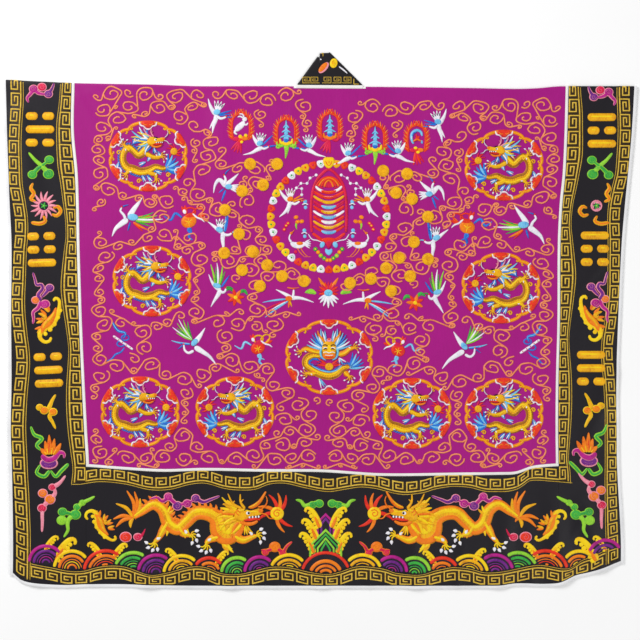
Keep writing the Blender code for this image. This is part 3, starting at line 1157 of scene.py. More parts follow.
def route_samples(route: Array, widths: Array, ends: Point, closed: bool) -> tuple[Array, Array, Array]:
    """Reads a smooth route at stations that suit a stroke.

    Args:
        route: the points that it passes.
        widths: the stroke's width at each point.
        ends: how long the tapers at the two ends are, in widths.
        closed: whether the last point is joined to the first.

    Returns:
        The stations' places, how far along they are, and the width at each.
    """
    if closed:
        route = np.concatenate([route[-1:], route, route[:2]])
        widths = np.concatenate([widths[-1:], widths, widths[:2]])
    steps = np.maximum(np.hypot(*np.diff(route, axis=0).T), 0.01)
    keys = np.concatenate([[0], np.cumsum(steps)])
    low, high = (keys[1], keys[-2]) if closed else (keys[0], keys[-1])
    length = high - low
    step = min(STATION_STEPS[1], max(STATION_STEPS[0], length / FEWEST_STATIONS))
    at = np.linspace(low, high, max(3, math.ceil(length / step)) + 1)
    if closed:
        at = at[:-1]
    else:
        tapers = [min(length / 2, taper * wide) for taper, wide in zip(ends, (widths[0], widths[-1]))]
        shares = np.array(TAPER_STATIONS)
        rounding = [low + tapers[0] * shares, high - tapers[1] * shares]
        at = np.unique(np.concatenate([at, *rounding]).round(3))
        at = at[np.concatenate([[True], np.diff(at) > 0.05])]
    spots = np.stack([smooth_curve(keys, route[:, n], at) for n in (0, 1)], 1)
    wide = smooth_curve(keys, widths, at)
    if not closed:
        for taper, away in zip(tapers, (at - low, high - at)):
            share = np.clip(away / max(taper, 0.01), 0, 1)
            wide = wide * np.sqrt(np.maximum(1 - (1 - share) ** 2, 0))
    return spots, at - low, np.maximum(wide, 0.3)


def corner_samples(route: Array, widths: Array) -> tuple[Array, Array, Array, Array]:
    """Reads a route of straight runs at even stations, with mitres at its corners.

    Args:
        route: its corners.
        widths: the stroke's width at each corner.

    Returns:
        The stations' places, how far along they are, the width at each, and which way is left.
    """
    runs = np.diff(route, axis=0)
    lengths = np.maximum(np.hypot(*runs.T), 1e-6)
    lefts = np.stack([-runs[:, 1], runs[:, 0]], 1) / lengths[:, None]
    spots, wide, left = [route[:1]], [widths[:1]], [lefts[:1]]
    for n, length in enumerate(lengths):
        share = np.arange(1, math.ceil(length / 7) + 1) / math.ceil(length / 7)
        spots.append(mix(route[n], route[n + 1], share[:, None]))
        wide.append(mix(widths[n], widths[n + 1], share))
        sideways = np.repeat(lefts[n : n + 1], len(share), 0)
        if n + 1 < len(lengths):
            mitre = lefts[n] + lefts[n + 1]
            sideways[-1] = mitre / max(0.5, float(mitre @ mitre) / 2)
        left.append(sideways)
    spots = np.concatenate(spots)
    along = np.concatenate([[0], np.cumsum(np.hypot(*np.diff(spots, axis=0).T))])
    return spots, along, np.concatenate(wide), np.concatenate(left)


def lid(first: int, count: int) -> list[tuple[int, int, int, int]]:
    """Faces that close an end of a stroke, over its points in order.

    Args:
        first: the first point's number.
        count: how many points the end has.

    Returns:
        The faces, four corners a row.
    """
    faces = []
    low, high = first, first + count - 1
    while high - low > 1:
        if high - low == 2:
            faces.append((low, low + 1, high, high))
        else:
            faces.append((low, low + 1, high - 1, high))
        low, high = low + 1, high - 1
    return faces


@dataclass
class Needle:
    """Draws the stitches of one piece of embroidery, in millimetres from where a motif is placed."""

    name: str
    seed: int = SEED
    layer: float = 0.45
    sink: float = 0.4
    patches: list[Patch] = field(default_factory=list)
    placing: Array = field(default_factory=lambda: np.eye(3))
    base: float = 0.0
    dice: np.random.Generator | None = None
    lift: float = 0.15
    dome_share: float = 0.34
    dome_limit: float = 1.25

    def __post_init__(self) -> None:
        """Seeds the dice that scatter the threads' starts."""
        self.dice = self.dice or np.random.default_rng(self.seed)

    def at(self, x: float, y: float, turn: float = 0.0, size: float = 1.0, mirror: bool = False,
           level: float = 0.0) -> "Needle":
        """The same needle for a motif placed within the present one.

        Args:
            x: where the motif's origin goes.
            y: and how far up.
            turn: degrees anticlockwise.
            size: its scale.
            mirror: whether its left and right are swapped.
            level: how many layers of stitching it lies on.

        Returns:
            A needle that draws from there.
        """
        cos, sin = math.cos(math.radians(turn)) * size, math.sin(math.radians(turn)) * size
        flip = -1 if mirror else 1
        local = np.array([[cos * flip, -sin, x], [sin * flip, cos, y], [0.0, 0.0, 1.0]])
        return replace(self, placing=self.placing @ local, base=self.base + level)

    @property
    def size(self) -> float:
        """The present scale."""
        return math.sqrt(abs(np.linalg.det(self.placing[:2, :2])))

    def to_plan(self, route: Sequence[Point] | Array) -> Array:
        """Places of the present motif, in plan."""
        return np.asarray(route, float) @ self.placing[:2, :2].T + self.placing[:2, 2]

    def stroke(
        self,
        thread: Thread,
        route: Sequence[Point] | Array,
        width: float | Sequence[float],
        level: float = 0.0,
        ends: Point = (0.5, 0.5),
        closed: bool = False,
        height: float | None = None,
        cornered: bool = False,
    ) -> None:
        """Lays satin stitch along a smooth route.

        Args:
            thread: the floss.
            route: points that the middle of the stroke passes.
            width: its width, or its width at each point.
            level: how many layers of stitching it lies on.
            ends: how long its tapers are, in widths: 0.5 is round and 2 is a point.
            closed: whether it is a ring.
            height: how high it is padded, or None for what its width gives.
            cornered: whether it runs straight from point to point, and ends square.
        """
        plan = self.to_plan(route)
        widths = np.broadcast_to(np.asarray(width, float) * self.size, len(plan))
        if cornered:
            spots, along, wide, left = corner_samples(plan, widths)
        else:
            spots, along, wide = route_samples(plan, widths, ends, closed)
            run = np.roll(spots, -1, 0) - np.roll(spots, 1, 0) if closed else np.gradient(spots, axis=0)
            run /= np.maximum(np.hypot(*run.T), 1e-6)[:, None]
            left = np.stack([-run[:, 1], run[:, 0]], 1)
        count = next(columns for limit, columns in STROKE_COLUMNS if wide.max() < limit)
        angle = np.linspace(-math.pi / 2, math.pi / 2, count)
        share = np.sin(angle)
        peak = np.minimum(self.dome_share * wide, self.dome_limit if height is None else height)
        flat = spots[:, None, :] + left[:, None, :] * (share[None, :, None] * wide[:, None, None] / 2)
        z = (self.base + level) * self.layer + self.lift + np.cos(angle)[None, :] * peak[:, None]
        z[:, [0, -1]] = -self.sink
        points = np.concatenate([flat, z[:, :, None]], 2).reshape(-1, 3)
        rows = len(spots)
        row = np.arange(rows if closed else rows - 1)[:, None]
        ahead = (row + 1) % rows
        column = np.arange(count)[None, :]
        beside = (column + 1) % count
        quads = np.stack(
            [row * count + column, ahead * count + column, ahead * count + beside, row * count + beside], 2
        ).reshape(-1, 4)
        upward = np.tile(np.arange(count) < count - 1, len(row))
        if not closed:
            start = np.array(lid(0, count))
            end = np.array(lid((rows - 1) * count, count))
            end = np.where((end[:, 2] == end[:, 3])[:, None], end[:, [2, 1, 0, 0]], end[:, ::-1])
            quads = np.concatenate([quads, start, end])
            upward = np.concatenate([upward, np.zeros(len(start) + len(end), bool)])
        start_u, start_v = self.dice.uniform(0, 2, 2)
        lay = np.stack(np.broadcast_arrays(along[:, None] * MM + start_u,
                                           share * wide[:, None] * MM / 2 + start_v), 2)
        self.patches.append(Patch(points, quads, upward, lay.reshape(-1, 2), thread, self.base + level))

    def pad(
        self,
        thread: Thread,
        outline: Sequence[Point] | Array,
        level: float = 0.0,
        height: float = 1.1,
        grain: float = 0.0,
        smooth: bool = True,
    ) -> None:
        """Fills an outline that is star-shaped round its middle with padded satin stitch.

        Args:
            thread: the floss.
            outline: the points round it.
            level: how many layers of stitching it lies on.
            height: how high it is padded.
            grain: which way the threads run, in degrees.
            smooth: whether the outline is a curve through its points, or has corners at them.
        """
        plan = self.to_plan(outline)
        ahead = np.roll(plan, -1, 0)
        if float((plan[:, 0] * ahead[:, 1] - plan[:, 1] * ahead[:, 0]).sum()) < 0:
            plan = plan[::-1]
        if smooth:
            rim = route_samples(plan, np.ones(len(plan)), (0, 0), True)[0]
        else:
            sides = [np.linspace(a, b, max(1, math.ceil(math.dist(a, b) / 5)), endpoint=False)
                     for a, b in zip(plan, np.roll(plan, -1, 0))]
            rim = np.concatenate(sides)
        middle = rim.mean(0)
        count = len(rim)
        rings = np.concatenate([middle + (rim - middle) * share for share in (1.0, 0.92, 0.66, 0.33)])
        low = (self.base + level) * self.layer + self.lift
        heights = np.repeat([-self.sink, low + 0.5 * height, low + 0.88 * height, low + height], count)
        flat = np.concatenate([rings, [middle, middle]])
        z = np.concatenate([heights, [low + height, -self.sink]])
        points = np.concatenate([flat, z[:, None]], 1)
        each = np.arange(count)
        beside = (each + 1) % count
        faces = [
            np.stack([ring * count + each, ring * count + beside, (ring + 1) * count + beside,
                      (ring + 1) * count + each], 1)
            for ring in range(3)
        ]
        top, bottom = np.full(count, 4 * count), np.full(count, 4 * count + 1)
        faces.append(np.stack([3 * count + each, 3 * count + beside, top, top], 1))
        faces.append(np.stack([beside, each, bottom, bottom], 1))
        upward = np.repeat([True, True, True, True, False], count)
        lean = math.radians(grain)
        turn = np.array([[math.cos(lean), -math.sin(lean)], [math.sin(lean), math.cos(lean)]])
        lay = (flat - middle) @ turn * MM + self.dice.uniform(0, 2, 2)
        self.patches.append(Patch(points, np.concatenate(faces), upward, lay, thread, self.base + level))

    def oval(self, thread: Thread, x: float, y: float, wide: float, high: float = 0.0, turn: float = 0.0,
             level: float = 0.0, height: float = 1.0) -> None:
        """Pads an oval or a disc.

        Args:
            thread: the floss.
            x: its middle.
            y: and how far up.
            wide: its width.
            high: its height in plan, or 0 for a disc.
            turn: how far it is turned, in degrees.
            level: how many layers of stitching it lies on.
            height: how high it is padded.
        """
        count = 8 if wide < 12 else 12
        angle = np.arange(count) * 2 * math.pi / count
        local = np.stack([np.cos(angle) * wide / 2, np.sin(angle) * (high or wide) / 2], 1)
        lean = math.radians(turn)
        matrix = np.array([[math.cos(lean), math.sin(lean)], [-math.sin(lean), math.cos(lean)]])
        self.pad(thread, local @ matrix + (x, y), level, height, turn)

    def curl(self, thread: Thread, x: float, y: float, radius: float, turns: float, start: float,
             width: float,
             level: float = 0.0, clockwise: bool = False) -> None:
        """Lays a spiral that winds inwards.

        Args:
            thread: the floss.
            x: its middle.
            y: and how far up.
            radius: its outer radius, to the middle of the stroke.
            turns: how often it winds.
            start: the angle at which its outer end is, in degrees.
            width: the stroke's width.
            level: how many layers of stitching it lies on.
            clockwise: which way it winds.
        """
        self.stroke(thread, spiral(x, y, radius, turns, start, clockwise), width, level)

    def spray(self, threads: Sequence[Thread], x: float, y: float, angles: Sequence[float], length: float,
              width: float, level: float = 0.0, bend: float = 0.0, root: float = 0.0) -> None:
        """Lays pointed strokes that fan out from a place.

        Args:
            threads: the flosses, taken in turn.
            x: where they start.
            y: and how far up.
            angles: their directions in degrees.
            length: how long they are.
            width: how wide they are near their roots.
            level: how many layers of stitching they lie on.
            bend: how far their tips bend to the left, in degrees.
            root: how far from the start their roots are.
        """
        for n, angle in enumerate(angles):
            route = []
            for share in (0.0, 0.35, 0.7, 1.0):
                lean = math.radians(angle + bend * share)
                reach = root + (length - root) * share
                route.append((x + math.cos(lean) * reach, y + math.sin(lean) * reach))
            widths = (width * 0.7, width, width * 0.75, width * 0.3)
            self.stroke(threads[n % len(threads)], route, widths, level, (0.5, 1.2))

    def make(self, slot: str, ground: Callable[[Array], Array] = SURFACE.drape) -> bpy.types.Object:
        """Turns the stitches into a piece that lies on the cloth.

        Args:
            slot: the record's material slot for the piece; settle, which it goes to, does not use it.
            ground: what lays points with plan places and heights on the cloth.

        Returns:
            The piece.
        """
        threads = list(dict.fromkeys(patch.thread for patch in self.patches))
        starts = np.cumsum([0] + [len(patch.points) for patch in self.patches])
        flat = np.concatenate([patch.points for patch in self.patches])
        faces = np.concatenate([patch.faces + start for patch, start in zip(self.patches, starts)])
        wears = np.concatenate([np.full(len(patch.faces), threads.index(patch.thread))
                                for patch in self.patches])
        rank = np.concatenate([patch.level + 100.0 * patch.upward for patch in self.patches])
        order = np.argsort(rank, kind="stable")
        low, high = flat[:, :2].min(0), flat[:, :2].max(0)
        maps = {
            BAKE_MAP: 0.01 + 0.98 * (flat[:, :2] - low) / (high - low),
            STITCH_MAP: np.concatenate([patch.lay for patch in self.patches]),
        }
        materials = [FLOSS.material(thread) for thread in threads]
        piece = Mesher.build(self.name, ground(flat), faces[order], materials, wears[order], maps)
        return settle(piece, slot)


class FlossBox:
    """The materials of the flosses, each made once."""

    def __init__(self) -> None:
        """Starts with no floss made."""
        self.made: dict[Thread, bpy.types.Material] = {}

    def material(self, thread: Thread) -> bpy.types.Material:
        """A floss's material."""
        if thread not in self.made:
            self.made[thread] = thread.value.material()
        return self.made[thread]


FLOSS = FlossBox()


def spiral(x: float, y: float, radius: float, turns: float, start: float, clockwise: bool) -> Array:
    """Points of a spiral that winds inwards, from its outer end.

    Args:
        x: its middle.
        y: and how far up.
        radius: its outer radius.
        turns: how often it winds.
        start: the angle of its outer end, in degrees.
        clockwise: which way it winds.

    Returns:
        The points.
    """
    share = np.linspace(0, 1, max(5, math.ceil(turns * 9)))
    angle = math.radians(start) + share * turns * 2 * math.pi * (-1 if clockwise else 1)
    reach = radius * (1 - 0.78 * share)
    return np.stack([x + reach * np.cos(angle), y + reach * np.sin(angle)], 1)


def beside(route: Sequence[Point] | Array, distance: float) -> Array:
    """A route moved to its left.

    Args:
        route: the points that it passes.
        distance: how far it is moved, in millimetres.

    Returns:
        The moved route.
    """
    route = np.asarray(route, float)
    run = np.gradient(route, axis=0)
    run /= np.hypot(*run.T)[:, None]
    return route + np.stack([-run[:, 1], run[:, 0]], 1) * distance


class StitchTree:
    """A Geometry Nodes tree for stitching, with named inputs and short ways to add nodes."""

    def __init__(self, name: str, **inputs: tuple[str, object]) -> None:
        """Starts a tree with a geometry input and the inputs named here.

        Args:
            name: the tree's name.
            inputs: for each input, its socket type and its default value or None.
        """
        self.group = bpy.data.node_groups.new(name, "GeometryNodeTree")
        face = self.group.interface
        face.new_socket("Path", in_out="INPUT", socket_type="NodeSocketGeometry")
        self.sockets = {}
        for label, (kind, value) in inputs.items():
            socket = face.new_socket(label.replace("_", " "), in_out="INPUT", socket_type=kind)
            if value is not None:
                socket.default_value = value
            self.sockets[label] = socket.identifier
        face.new_socket("Stitches", in_out="OUTPUT", socket_type="NodeSocketGeometry")
        self.entry = self.group.nodes.new("NodeGroupInput")
        self.out = self.group.nodes.new("NodeGroupOutput")

    def add(self, kind: str, joins: dict[str | int, object] | None = None,
            **settings: object) -> bpy.types.Node:
        """Adds a node.

        Args:
            kind: the node's type.
            joins: for its inputs, by name or number, the output or the value that each takes.
            settings: the node's own settings.

        Returns:
            The node.
        """
        node = self.group.nodes.new(kind)
        for name, value in settings.items():
            setattr(node, name, value)
        for key, value in (joins or {}).items():
            target = node.inputs[key]
            if isinstance(value, bpy.types.NodeSocket):
                self.group.links.new(value, target)
            else:
                target.default_value = value
        return node

    def given(self, label: str) -> bpy.types.NodeSocket:
        """One of the tree's inputs."""
        return self.entry.outputs[label.replace("_", " ")]

    def end(self, geometry: bpy.types.NodeSocket) -> None:
        """Closes the tree: instances are made real and the floss is set.

        Args:
            geometry: what the tree has made.
        """
        real = self.add("GeometryNodeRealizeInstances", {"Geometry": geometry})
        dyed = self.add("GeometryNodeSetMaterial", {"Geometry": real.outputs[0],
                                                    "Material": self.given("Floss")})
        self.group.links.new(dyed.outputs[0], self.out.inputs[0])

    def run(self, paths: Sequence[Array], closed: bool, **values: object) -> bpy.types.Mesh:
        """Runs the tree on some paths.

        Args:
            paths: their points in plan, in millimetres.
            closed: whether each path is a ring.
            values: what the tree's inputs take.

        Returns:
            A plain mesh.
        """
        curve = bpy.data.curves.new("path", "CURVE")
        curve.dimensions = "3D"
        for path in paths:
            spline = curve.splines.new("POLY")
            spline.points.add(len(path) - 1)
            rows = np.zeros((len(path), 4))
            rows[:, :2] = np.asarray(path)[:, :2] * MM
            rows[:, 3] = 1
            spline.points.foreach_set("co", rows.ravel())
            spline.use_cyclic_u = closed
        carrier = bpy.data.objects.new("path", curve)
        bpy.context.scene.collection.objects.link(carrier)
        modifier = carrier.modifiers.new(self.group.name, "NODES")
        modifier.node_group = self.group
        for label, value in values.items():
            modifier[self.sockets[label]] = value
        evaluated = carrier.evaluated_get(bpy.context.evaluated_depsgraph_get())
        mesh = bpy.data.meshes.new_from_object(evaluated)
        bpy.data.objects.remove(carrier)
        bpy.data.curves.remove(curve)
        return mesh


def mesh_arrays(mesh: bpy.types.Mesh) -> tuple[Array, Array]:
    """A plain mesh's points in millimetres, and its faces of up to four corners, four a row.

    Args:
        mesh: the mesh.

    Returns:
        The points and the faces.
    """
    points = np.zeros(len(mesh.vertices) * 3, np.float32)
    mesh.vertices.foreach_get("co", points)
    corners = np.zeros(len(mesh.loops), np.int32)
    mesh.loops.foreach_get("vertex_index", corners)
    starts = np.zeros(len(mesh.polygons), np.int32)
    totals = np.zeros(len(mesh.polygons), np.int32)
    mesh.polygons.foreach_get("loop_start", starts)
    mesh.polygons.foreach_get("loop_total", totals)
    order = starts[:, None] + np.minimum(np.arange(4)[None, :], totals[:, None] - 1)
    return points.reshape(-1, 3).astype(float) / MM, corners[order].astype(int)


def point_values(mesh: bpy.types.Mesh, name: str, width: int) -> Array:
    """A named attribute's values at a mesh's points.

    Args:
        mesh: the mesh.
        name: the attribute's name.
        width: how many numbers each point has.

    Returns:
        One row a point.
    """
    attribute = mesh.attributes[name]
    values = np.zeros(len(mesh.vertices) * width, np.float32)
    attribute.data.foreach_get("vector" if width > 1 else "value", values)
    return values.reshape(len(mesh.vertices), width).astype(float)


class CordSweep:
    """Sweeps a round cord along paths with Geometry Nodes: couched scrolls, outlines and ties."""

    def __init__(self) -> None:
        """Builds the tree."""
        number = "NodeSocketFloat"
        tree = StitchTree(
            "couched_cord",
            Step=(number, 0.004),
            Radius=(number, 0.002),
            Flatness=(number, 0.6),
            Sides=("NodeSocketInt", 6),
            Floss=("NodeSocketMaterial", None),
        )
        even = tree.add(
            "GeometryNodeResampleCurve", {"Curve": tree.given("Path"), "Length": tree.given("Step")},
            mode="LENGTH"
        )
        level = tree.add("GeometryNodeSetCurveNormal", {"Curve": even.outputs[0]}, mode="Z_UP")
        run = tree.add("GeometryNodeSplineParameter")
        marked = self.note(tree, level.outputs[0], "run", run.outputs["Length"])
        ring = tree.add(
            "GeometryNodeCurvePrimitiveCircle", {"Resolution": tree.given("Sides"),
                                                 "Radius": tree.given("Radius")}
        )
        wound = self.note(tree, ring.outputs[0], "round",
                          tree.add("GeometryNodeSplineParameter").outputs["Factor"])
        swept = tree.add(
            "GeometryNodeCurveToMesh", {"Curve": marked, "Profile Curve": wound, "Fill Caps": True}
        )
        squash = tree.add("ShaderNodeCombineXYZ", {"X": 1.0, "Y": 1.0, "Z": tree.given("Flatness")})
        pressed = tree.add("GeometryNodeTransform",
                           {"Geometry": swept.outputs[0], "Scale": squash.outputs[0]})
        tree.end(pressed.outputs[0])
        self.tree = tree

    @staticmethod
    def note(tree: StitchTree, geometry: bpy.types.NodeSocket, name: str, value: bpy.types.NodeSocket,
             ) -> bpy.types.NodeSocket:
        """Stores a number on a curve's points, for the mesh to keep.

        Args:
            tree: the tree it goes into.
            geometry: what the tree has made.
            name: its name.
            value: the number.

        Returns:
            The curve with the number.
        """
        store = tree.add("GeometryNodeStoreNamedAttribute", {"Geometry": geometry, "Name": name},
                         domain="POINT")
        tree.group.links.new(value, store.inputs["Value"])
        return store.outputs[0]

    def lay(self, needle: Needle, thread: Thread, paths: Sequence[Array], width: float, level: float = 0.0,
            closed: bool = False, step: float = 4.6, flatness: float = 0.6, sides: int = 5) -> None:
        """Lays cord along paths that are given in the needle's present motif.

        Args:
            needle: whose piece the cord joins.
            thread: the floss.
            paths: the paths' points.
            width: the cord's width.
            level: how many layers of stitching it lies on.
            closed: whether each path is a ring.
            step: how far apart the cord's rings of points are.
            flatness: its height as a share of its width.
            sides: how many sides it has.
        """
        plans = [needle.to_plan(path) for path in paths]
        mesh = self.tree.run(
            plans, closed, Step=step * MM, Radius=width * needle.size * MM / 2, Flatness=flatness,
            Sides=sides,
            Floss=FLOSS.material(thread),
        )
        points, faces = mesh_arrays(mesh)
        lay = np.concatenate([point_values(mesh, "run", 1), point_values(mesh, "round", 1) * width * 3 * MM],
                             1)
        bpy.data.meshes.remove(mesh)
        upward = points[faces].mean(1)[:, 2] > 0.02
        points[:, 2] += (needle.base + level) * needle.layer + 0.12 * width
        needle.patches.append(Patch(points, faces, upward, lay, thread, needle.base + level))


class StitchRow:
    """Sets copies of a small stitched part in a row along paths with Geometry Nodes."""

    def __init__(self) -> None:
        """Builds the tree."""
        number, whole = "NodeSocketFloat", "NodeSocketInt"
        tree = StitchTree(
            "stitch_row",
            Part=("NodeSocketObject", None),
            Count=(whole, 10),
            Every=(whole, 1),
            First=(whole, 0),
            Smallest=(number, 1.0),
            Largest=(number, 1.0),
            Seed=(whole, SEED),
            Floss=("NodeSocketMaterial", None),
        )
        even = tree.add("GeometryNodeResampleCurve",
                        {"Curve": tree.given("Path"), "Count": tree.given("Count")})
        part = tree.add("GeometryNodeObjectInfo", {"Object": tree.given("Part"), "As Instance": True})
        facing = tree.add(
            "FunctionNodeAlignRotationToVector",
            {"Vector": tree.add("GeometryNodeInputTangent").outputs[0]},
            axis="X",
            pivot_axis="Z",
        )
        place = tree.add("ShaderNodeMath", {0: tree.add("GeometryNodeInputIndex").outputs[0]},
                         operation="MODULO")
        tree.group.links.new(tree.given("Every"), place.inputs[1])
        chosen = tree.add("ShaderNodeMath", {0: place.outputs[0], 1: tree.given("First"), 2: 0.1},
                          operation="COMPARE")
        size = tree.add("FunctionNodeRandomValue", data_type="FLOAT")
        for label, identifier in (("Smallest", "Min_001"), ("Largest", "Max_001"), ("Seed", "Seed")):
            target = next(socket for socket in size.inputs if socket.identifier == identifier)
            tree.group.links.new(tree.given(label), target)
        grown = next(socket for socket in size.outputs if socket.identifier == "Value_001")
        copies = tree.add(
            "GeometryNodeInstanceOnPoints",
            {
                "Points": even.outputs[0],
                "Instance": part.outputs["Geometry"],
                "Rotation": facing.outputs[0],
                "Selection": chosen.outputs[0],
                "Scale": grown,
            },
        )
        tree.end(copies.outputs[0])
        self.tree = tree

    def lay(self, needle: Needle, part: Needle, path: Array, count: int, closed: bool = False,
            every: int = 1, first: int = 0, sizes: Point = (1.0, 1.0), level: float = 0.0) -> None:
        """Lays a row of copies along a path that is given in the needle's present motif.

        Args:
            needle: whose piece the row joins.
            part: a needle that drew the part round its origin, with the row running to the right.
            path: the path's points.
            count: how many places the row has.
            closed: whether the path is a ring.
            every: which places are filled: each of this many,
            first: starting from this one.
            sizes: the smallest and the largest scale of a copy.
            level: how many layers of stitching it lies on.
        """
        plan = needle.to_plan(path)
        for patch in part.patches:
            carrier = Mesher.build("part", patch.points, patch.faces, [FLOSS.material(patch.thread)],
                                   maps={STITCH_MAP: patch.lay})
            note = carrier.data.attributes.new("upward", "FLOAT", "FACE")
            note.data.foreach_set("value", patch.upward.astype(np.float32))
            mesh = self.tree.run(
                [plan], closed, Part=carrier, Count=count, Every=every, First=first,
                Smallest=sizes[0] * needle.size, Largest=sizes[1] * needle.size,
                Floss=FLOSS.material(patch.thread),
            )
            self.keep(needle, mesh, patch, level)
            bpy.data.meshes.remove(mesh)
            bpy.data.objects.remove(carrier)

    @staticmethod
    def keep(needle: Needle, mesh: bpy.types.Mesh, patch: Patch, level: float) -> None:
        """Adds a finished row's mesh to a needle's stitches.

        Args:
            needle: the needle, at the place of what it draws.
            mesh: the mesh.
            patch: the stitch.
            level: how many layers of stitching it lies on.
        """
        points, faces = mesh_arrays(mesh)
        copies = len(points) // len(patch.points)
        lay = np.tile(patch.lay, (copies, 1)) + np.repeat(needle.dice.uniform(0, 2, (copies, 2)),
                                                          len(patch.points), 0)
        upward = np.tile(patch.upward, copies)
        points[:, 2] += (needle.base + level) * needle.layer
        needle.patches.append(Patch(points, faces, upward, lay, patch.thread,
                                    needle.base + level + patch.level))


CORD_SWEEP = CordSweep()
STITCH_ROW = StitchRow()


@dataclass
class Cloth:
    """All the cloth of the robe: ground, borders, hems, piping and binding."""

    cut: Cut = CUT
    ground_wall: float = 1.5
    border_wall: float = 1.7
    piping_wall: float = 2.2
    binding_wall: float = 1.8
    piping_dome: float = 1.2
    binding_dome: float = 0.5
    trims: dict[str, bpy.types.Object] = field(default_factory=dict)
    sheets: dict[str, bpy.types.Object] = field(default_factory=dict)

    def dress(self) -> None:
        """Makes the materials of the cloth."""
        self.purple = PURPLE_SATIN.material()
        self.black = BLACK_SATIN.material()
        self.piping = PIPING_COTTON.material()
        self.binding = BINDING_COTTON.material()

    def build(self) -> None:
        self.dress()
        self.ground()
        for side in Side:
            self.side_border(side)
        self.hem("back", -self.cut.border_inner, self.cut.border_inner, self.cut.back)
        self.hem("front_left", -self.cut.border_inner, self.cut.neck_left, self.cut.front)
        self.hem("front_right", self.cut.neck_right, self.cut.border_inner, self.cut.front)
        self.neck()
        self.declare()

    def trim(self, strip: Strip, material: bpy.types.Material, slot: str, node: str) -> None:
        """Makes a narrow piece: piping or binding."""
        self.trims[node] = settle(strip.make(material), slot, node)

    def ground(self) -> None:
        """The purple satin: back and fronts in one, with the neck and the opening between the fronts."""
        cut = self.cut
        columns = cut.across(-cut.ground_half, cut.ground_half)
        sections = cut.back(cut.neck_drop + cut.seam_gap, cut.ground_length)
        first_open = len(sections) - 1
        sections += cut.roll() + cut.front(LAY.roll_reach, cut.ground_length)
        middles = (columns[1:] + columns[:-1]) / 2
        open_columns = (middles > cut.neck_left) & (middles < cut.neck_right)
        rows = np.arange(len(sections) - 1)[:, None]
        present = (rows < first_open) | ~open_columns[None, :]
        strip = Strip(cloth_name("ground"), columns, sections, self.ground_wall)
        self.sheets["ground"] = settle(strip.make(self.purple, present), "purple_satin", "ground")

    def side_border(self, side: Side) -> None:
        """A side's border, its piping and its edge binding, from the back hem over to the front hem.

        Args:
            side: which side of the robe.
        """
        cut = self.cut

        def span(near: float, far: float, fewest: int) -> Array:
            """Columns between two distances from centre back, on this side."""
            low, high = sorted((side.value * near, side.value * far))
            return cut.across(low, high, fewest)

        border = Strip(
            cloth_name(f"side_border_{side.word}"),
            span(cut.border_inner, LAY.half_width, 2),
            cut.over_shoulder(LAY.full_length),
            self.border_wall,
        )
        self.sheets[f"side_border_{side.word}"] = settle(
            border.make(self.black), "black_satin", f"side_border_{side.word}"
        )
        piping = Strip(
            cloth_name(f"side_piping_{side.word}"),
            span(LAY.half_body - cut.half_piping, LAY.half_body + cut.half_piping, 6),
            cut.over_shoulder(cut.ground_length),
            self.piping_wall,
            self.piping_dome,
        )
        self.trim(piping, self.piping, "white_piping", f"side_piping_{side.word}")
        binding = Strip(
            cloth_name(f"edge_binding_{side.word}"),
            span(cut.binding_inner, cut.binding_outer, 5),
            cut.over_shoulder(cut.hem_binding_length),
            self.binding_wall,
            self.binding_dome,
        )
        self.trim(binding, self.binding, "white_binding", f"edge_binding_{side.word}")

    def hem(self, word: str, low: float, high: float, sections: Callable) -> None:
        """One hem border with the piping above it and the binding below it.

        Args:
            word: which hem: back, front_left or front_right.
            low: the lower bound.
            high: the upper bound.
            sections: what lists its sections.
        """
        cut = self.cut
        low = low + cut.seam_gap if word != "front_right" else low
        high = high - cut.seam_gap if word != "front_left" else high
        columns = cut.across(low, high)
        top, bottom = LAY.body_length - cut.half_piping, LAY.body_length + cut.half_piping
        piping = Strip(
            cloth_name(f"hem_piping_{word}"), columns, sections(top, bottom, 6), self.piping_wall,
            self.piping_dome, True
        )
        self.trim(piping, self.piping, "white_piping", f"hem_piping_{word}")
        border = Strip(
            cloth_name(f"hem_border_{word}"), columns, sections(cut.hem_top, LAY.full_length, 2),
            self.border_wall
        )
        self.sheets[f"hem_border_{word}"] = settle(border.make(self.black), "black_satin",
                                                   f"hem_border_{word}")
        edge_low = -LAY.half_width if word != "front_right" else cut.neck_right
        edge_high = LAY.half_width if word != "front_left" else cut.neck_left
        binding = Strip(
            cloth_name(f"hem_binding_{word}"),
            cut.across(edge_low, edge_high),
            sections(cut.hem_binding_top, cut.hem_binding_length, 5),
            self.binding_wall,
            self.binding_dome,
            True,
        )
        self.trim(binding, self.binding, "white_binding", f"hem_binding_{word}")

    def neck(self) -> None:
        """The piping round the back neck, and down each front edge."""
        cut = self.cut
        neck = Strip(
            cloth_name("neck_piping"),
            cut.across(cut.neck_centre - cut.neck_half, cut.neck_centre + cut.neck_half),
            cut.back(cut.neck_drop - cut.neck_piping_width, cut.neck_drop, 6),
            self.piping_wall,
            self.piping_dome,
            True,
        )
        self.trim(neck, self.piping, "white_piping", "neck_piping")
        sections = cut.back(LAY.roll_reach, cut.neck_drop) + cut.roll()
        sections += cut.front(LAY.roll_reach, cut.hem_binding_length)
        for side in Side:
            near = side.value * (cut.neck_half + cut.seam_gap)
            far = side.value * (cut.neck_half + cut.seam_gap + cut.piping_width)
            low, high = sorted((cut.neck_centre + near, cut.neck_centre + far))
            node = f"front_piping_{side.word}"
            strip = Strip(cloth_name(node), cut.across(low, high, 4), sections, self.piping_wall)
            self.trim(strip, self.piping, "white_piping", node)

    def declare(self) -> None:
        """Looks up each side's border sheet and edge binding, and does nothing more with them."""
        for side in Side:
            self.sheets[f"side_border_{side.word}"]
            self.trims[f"edge_binding_{side.word}"]


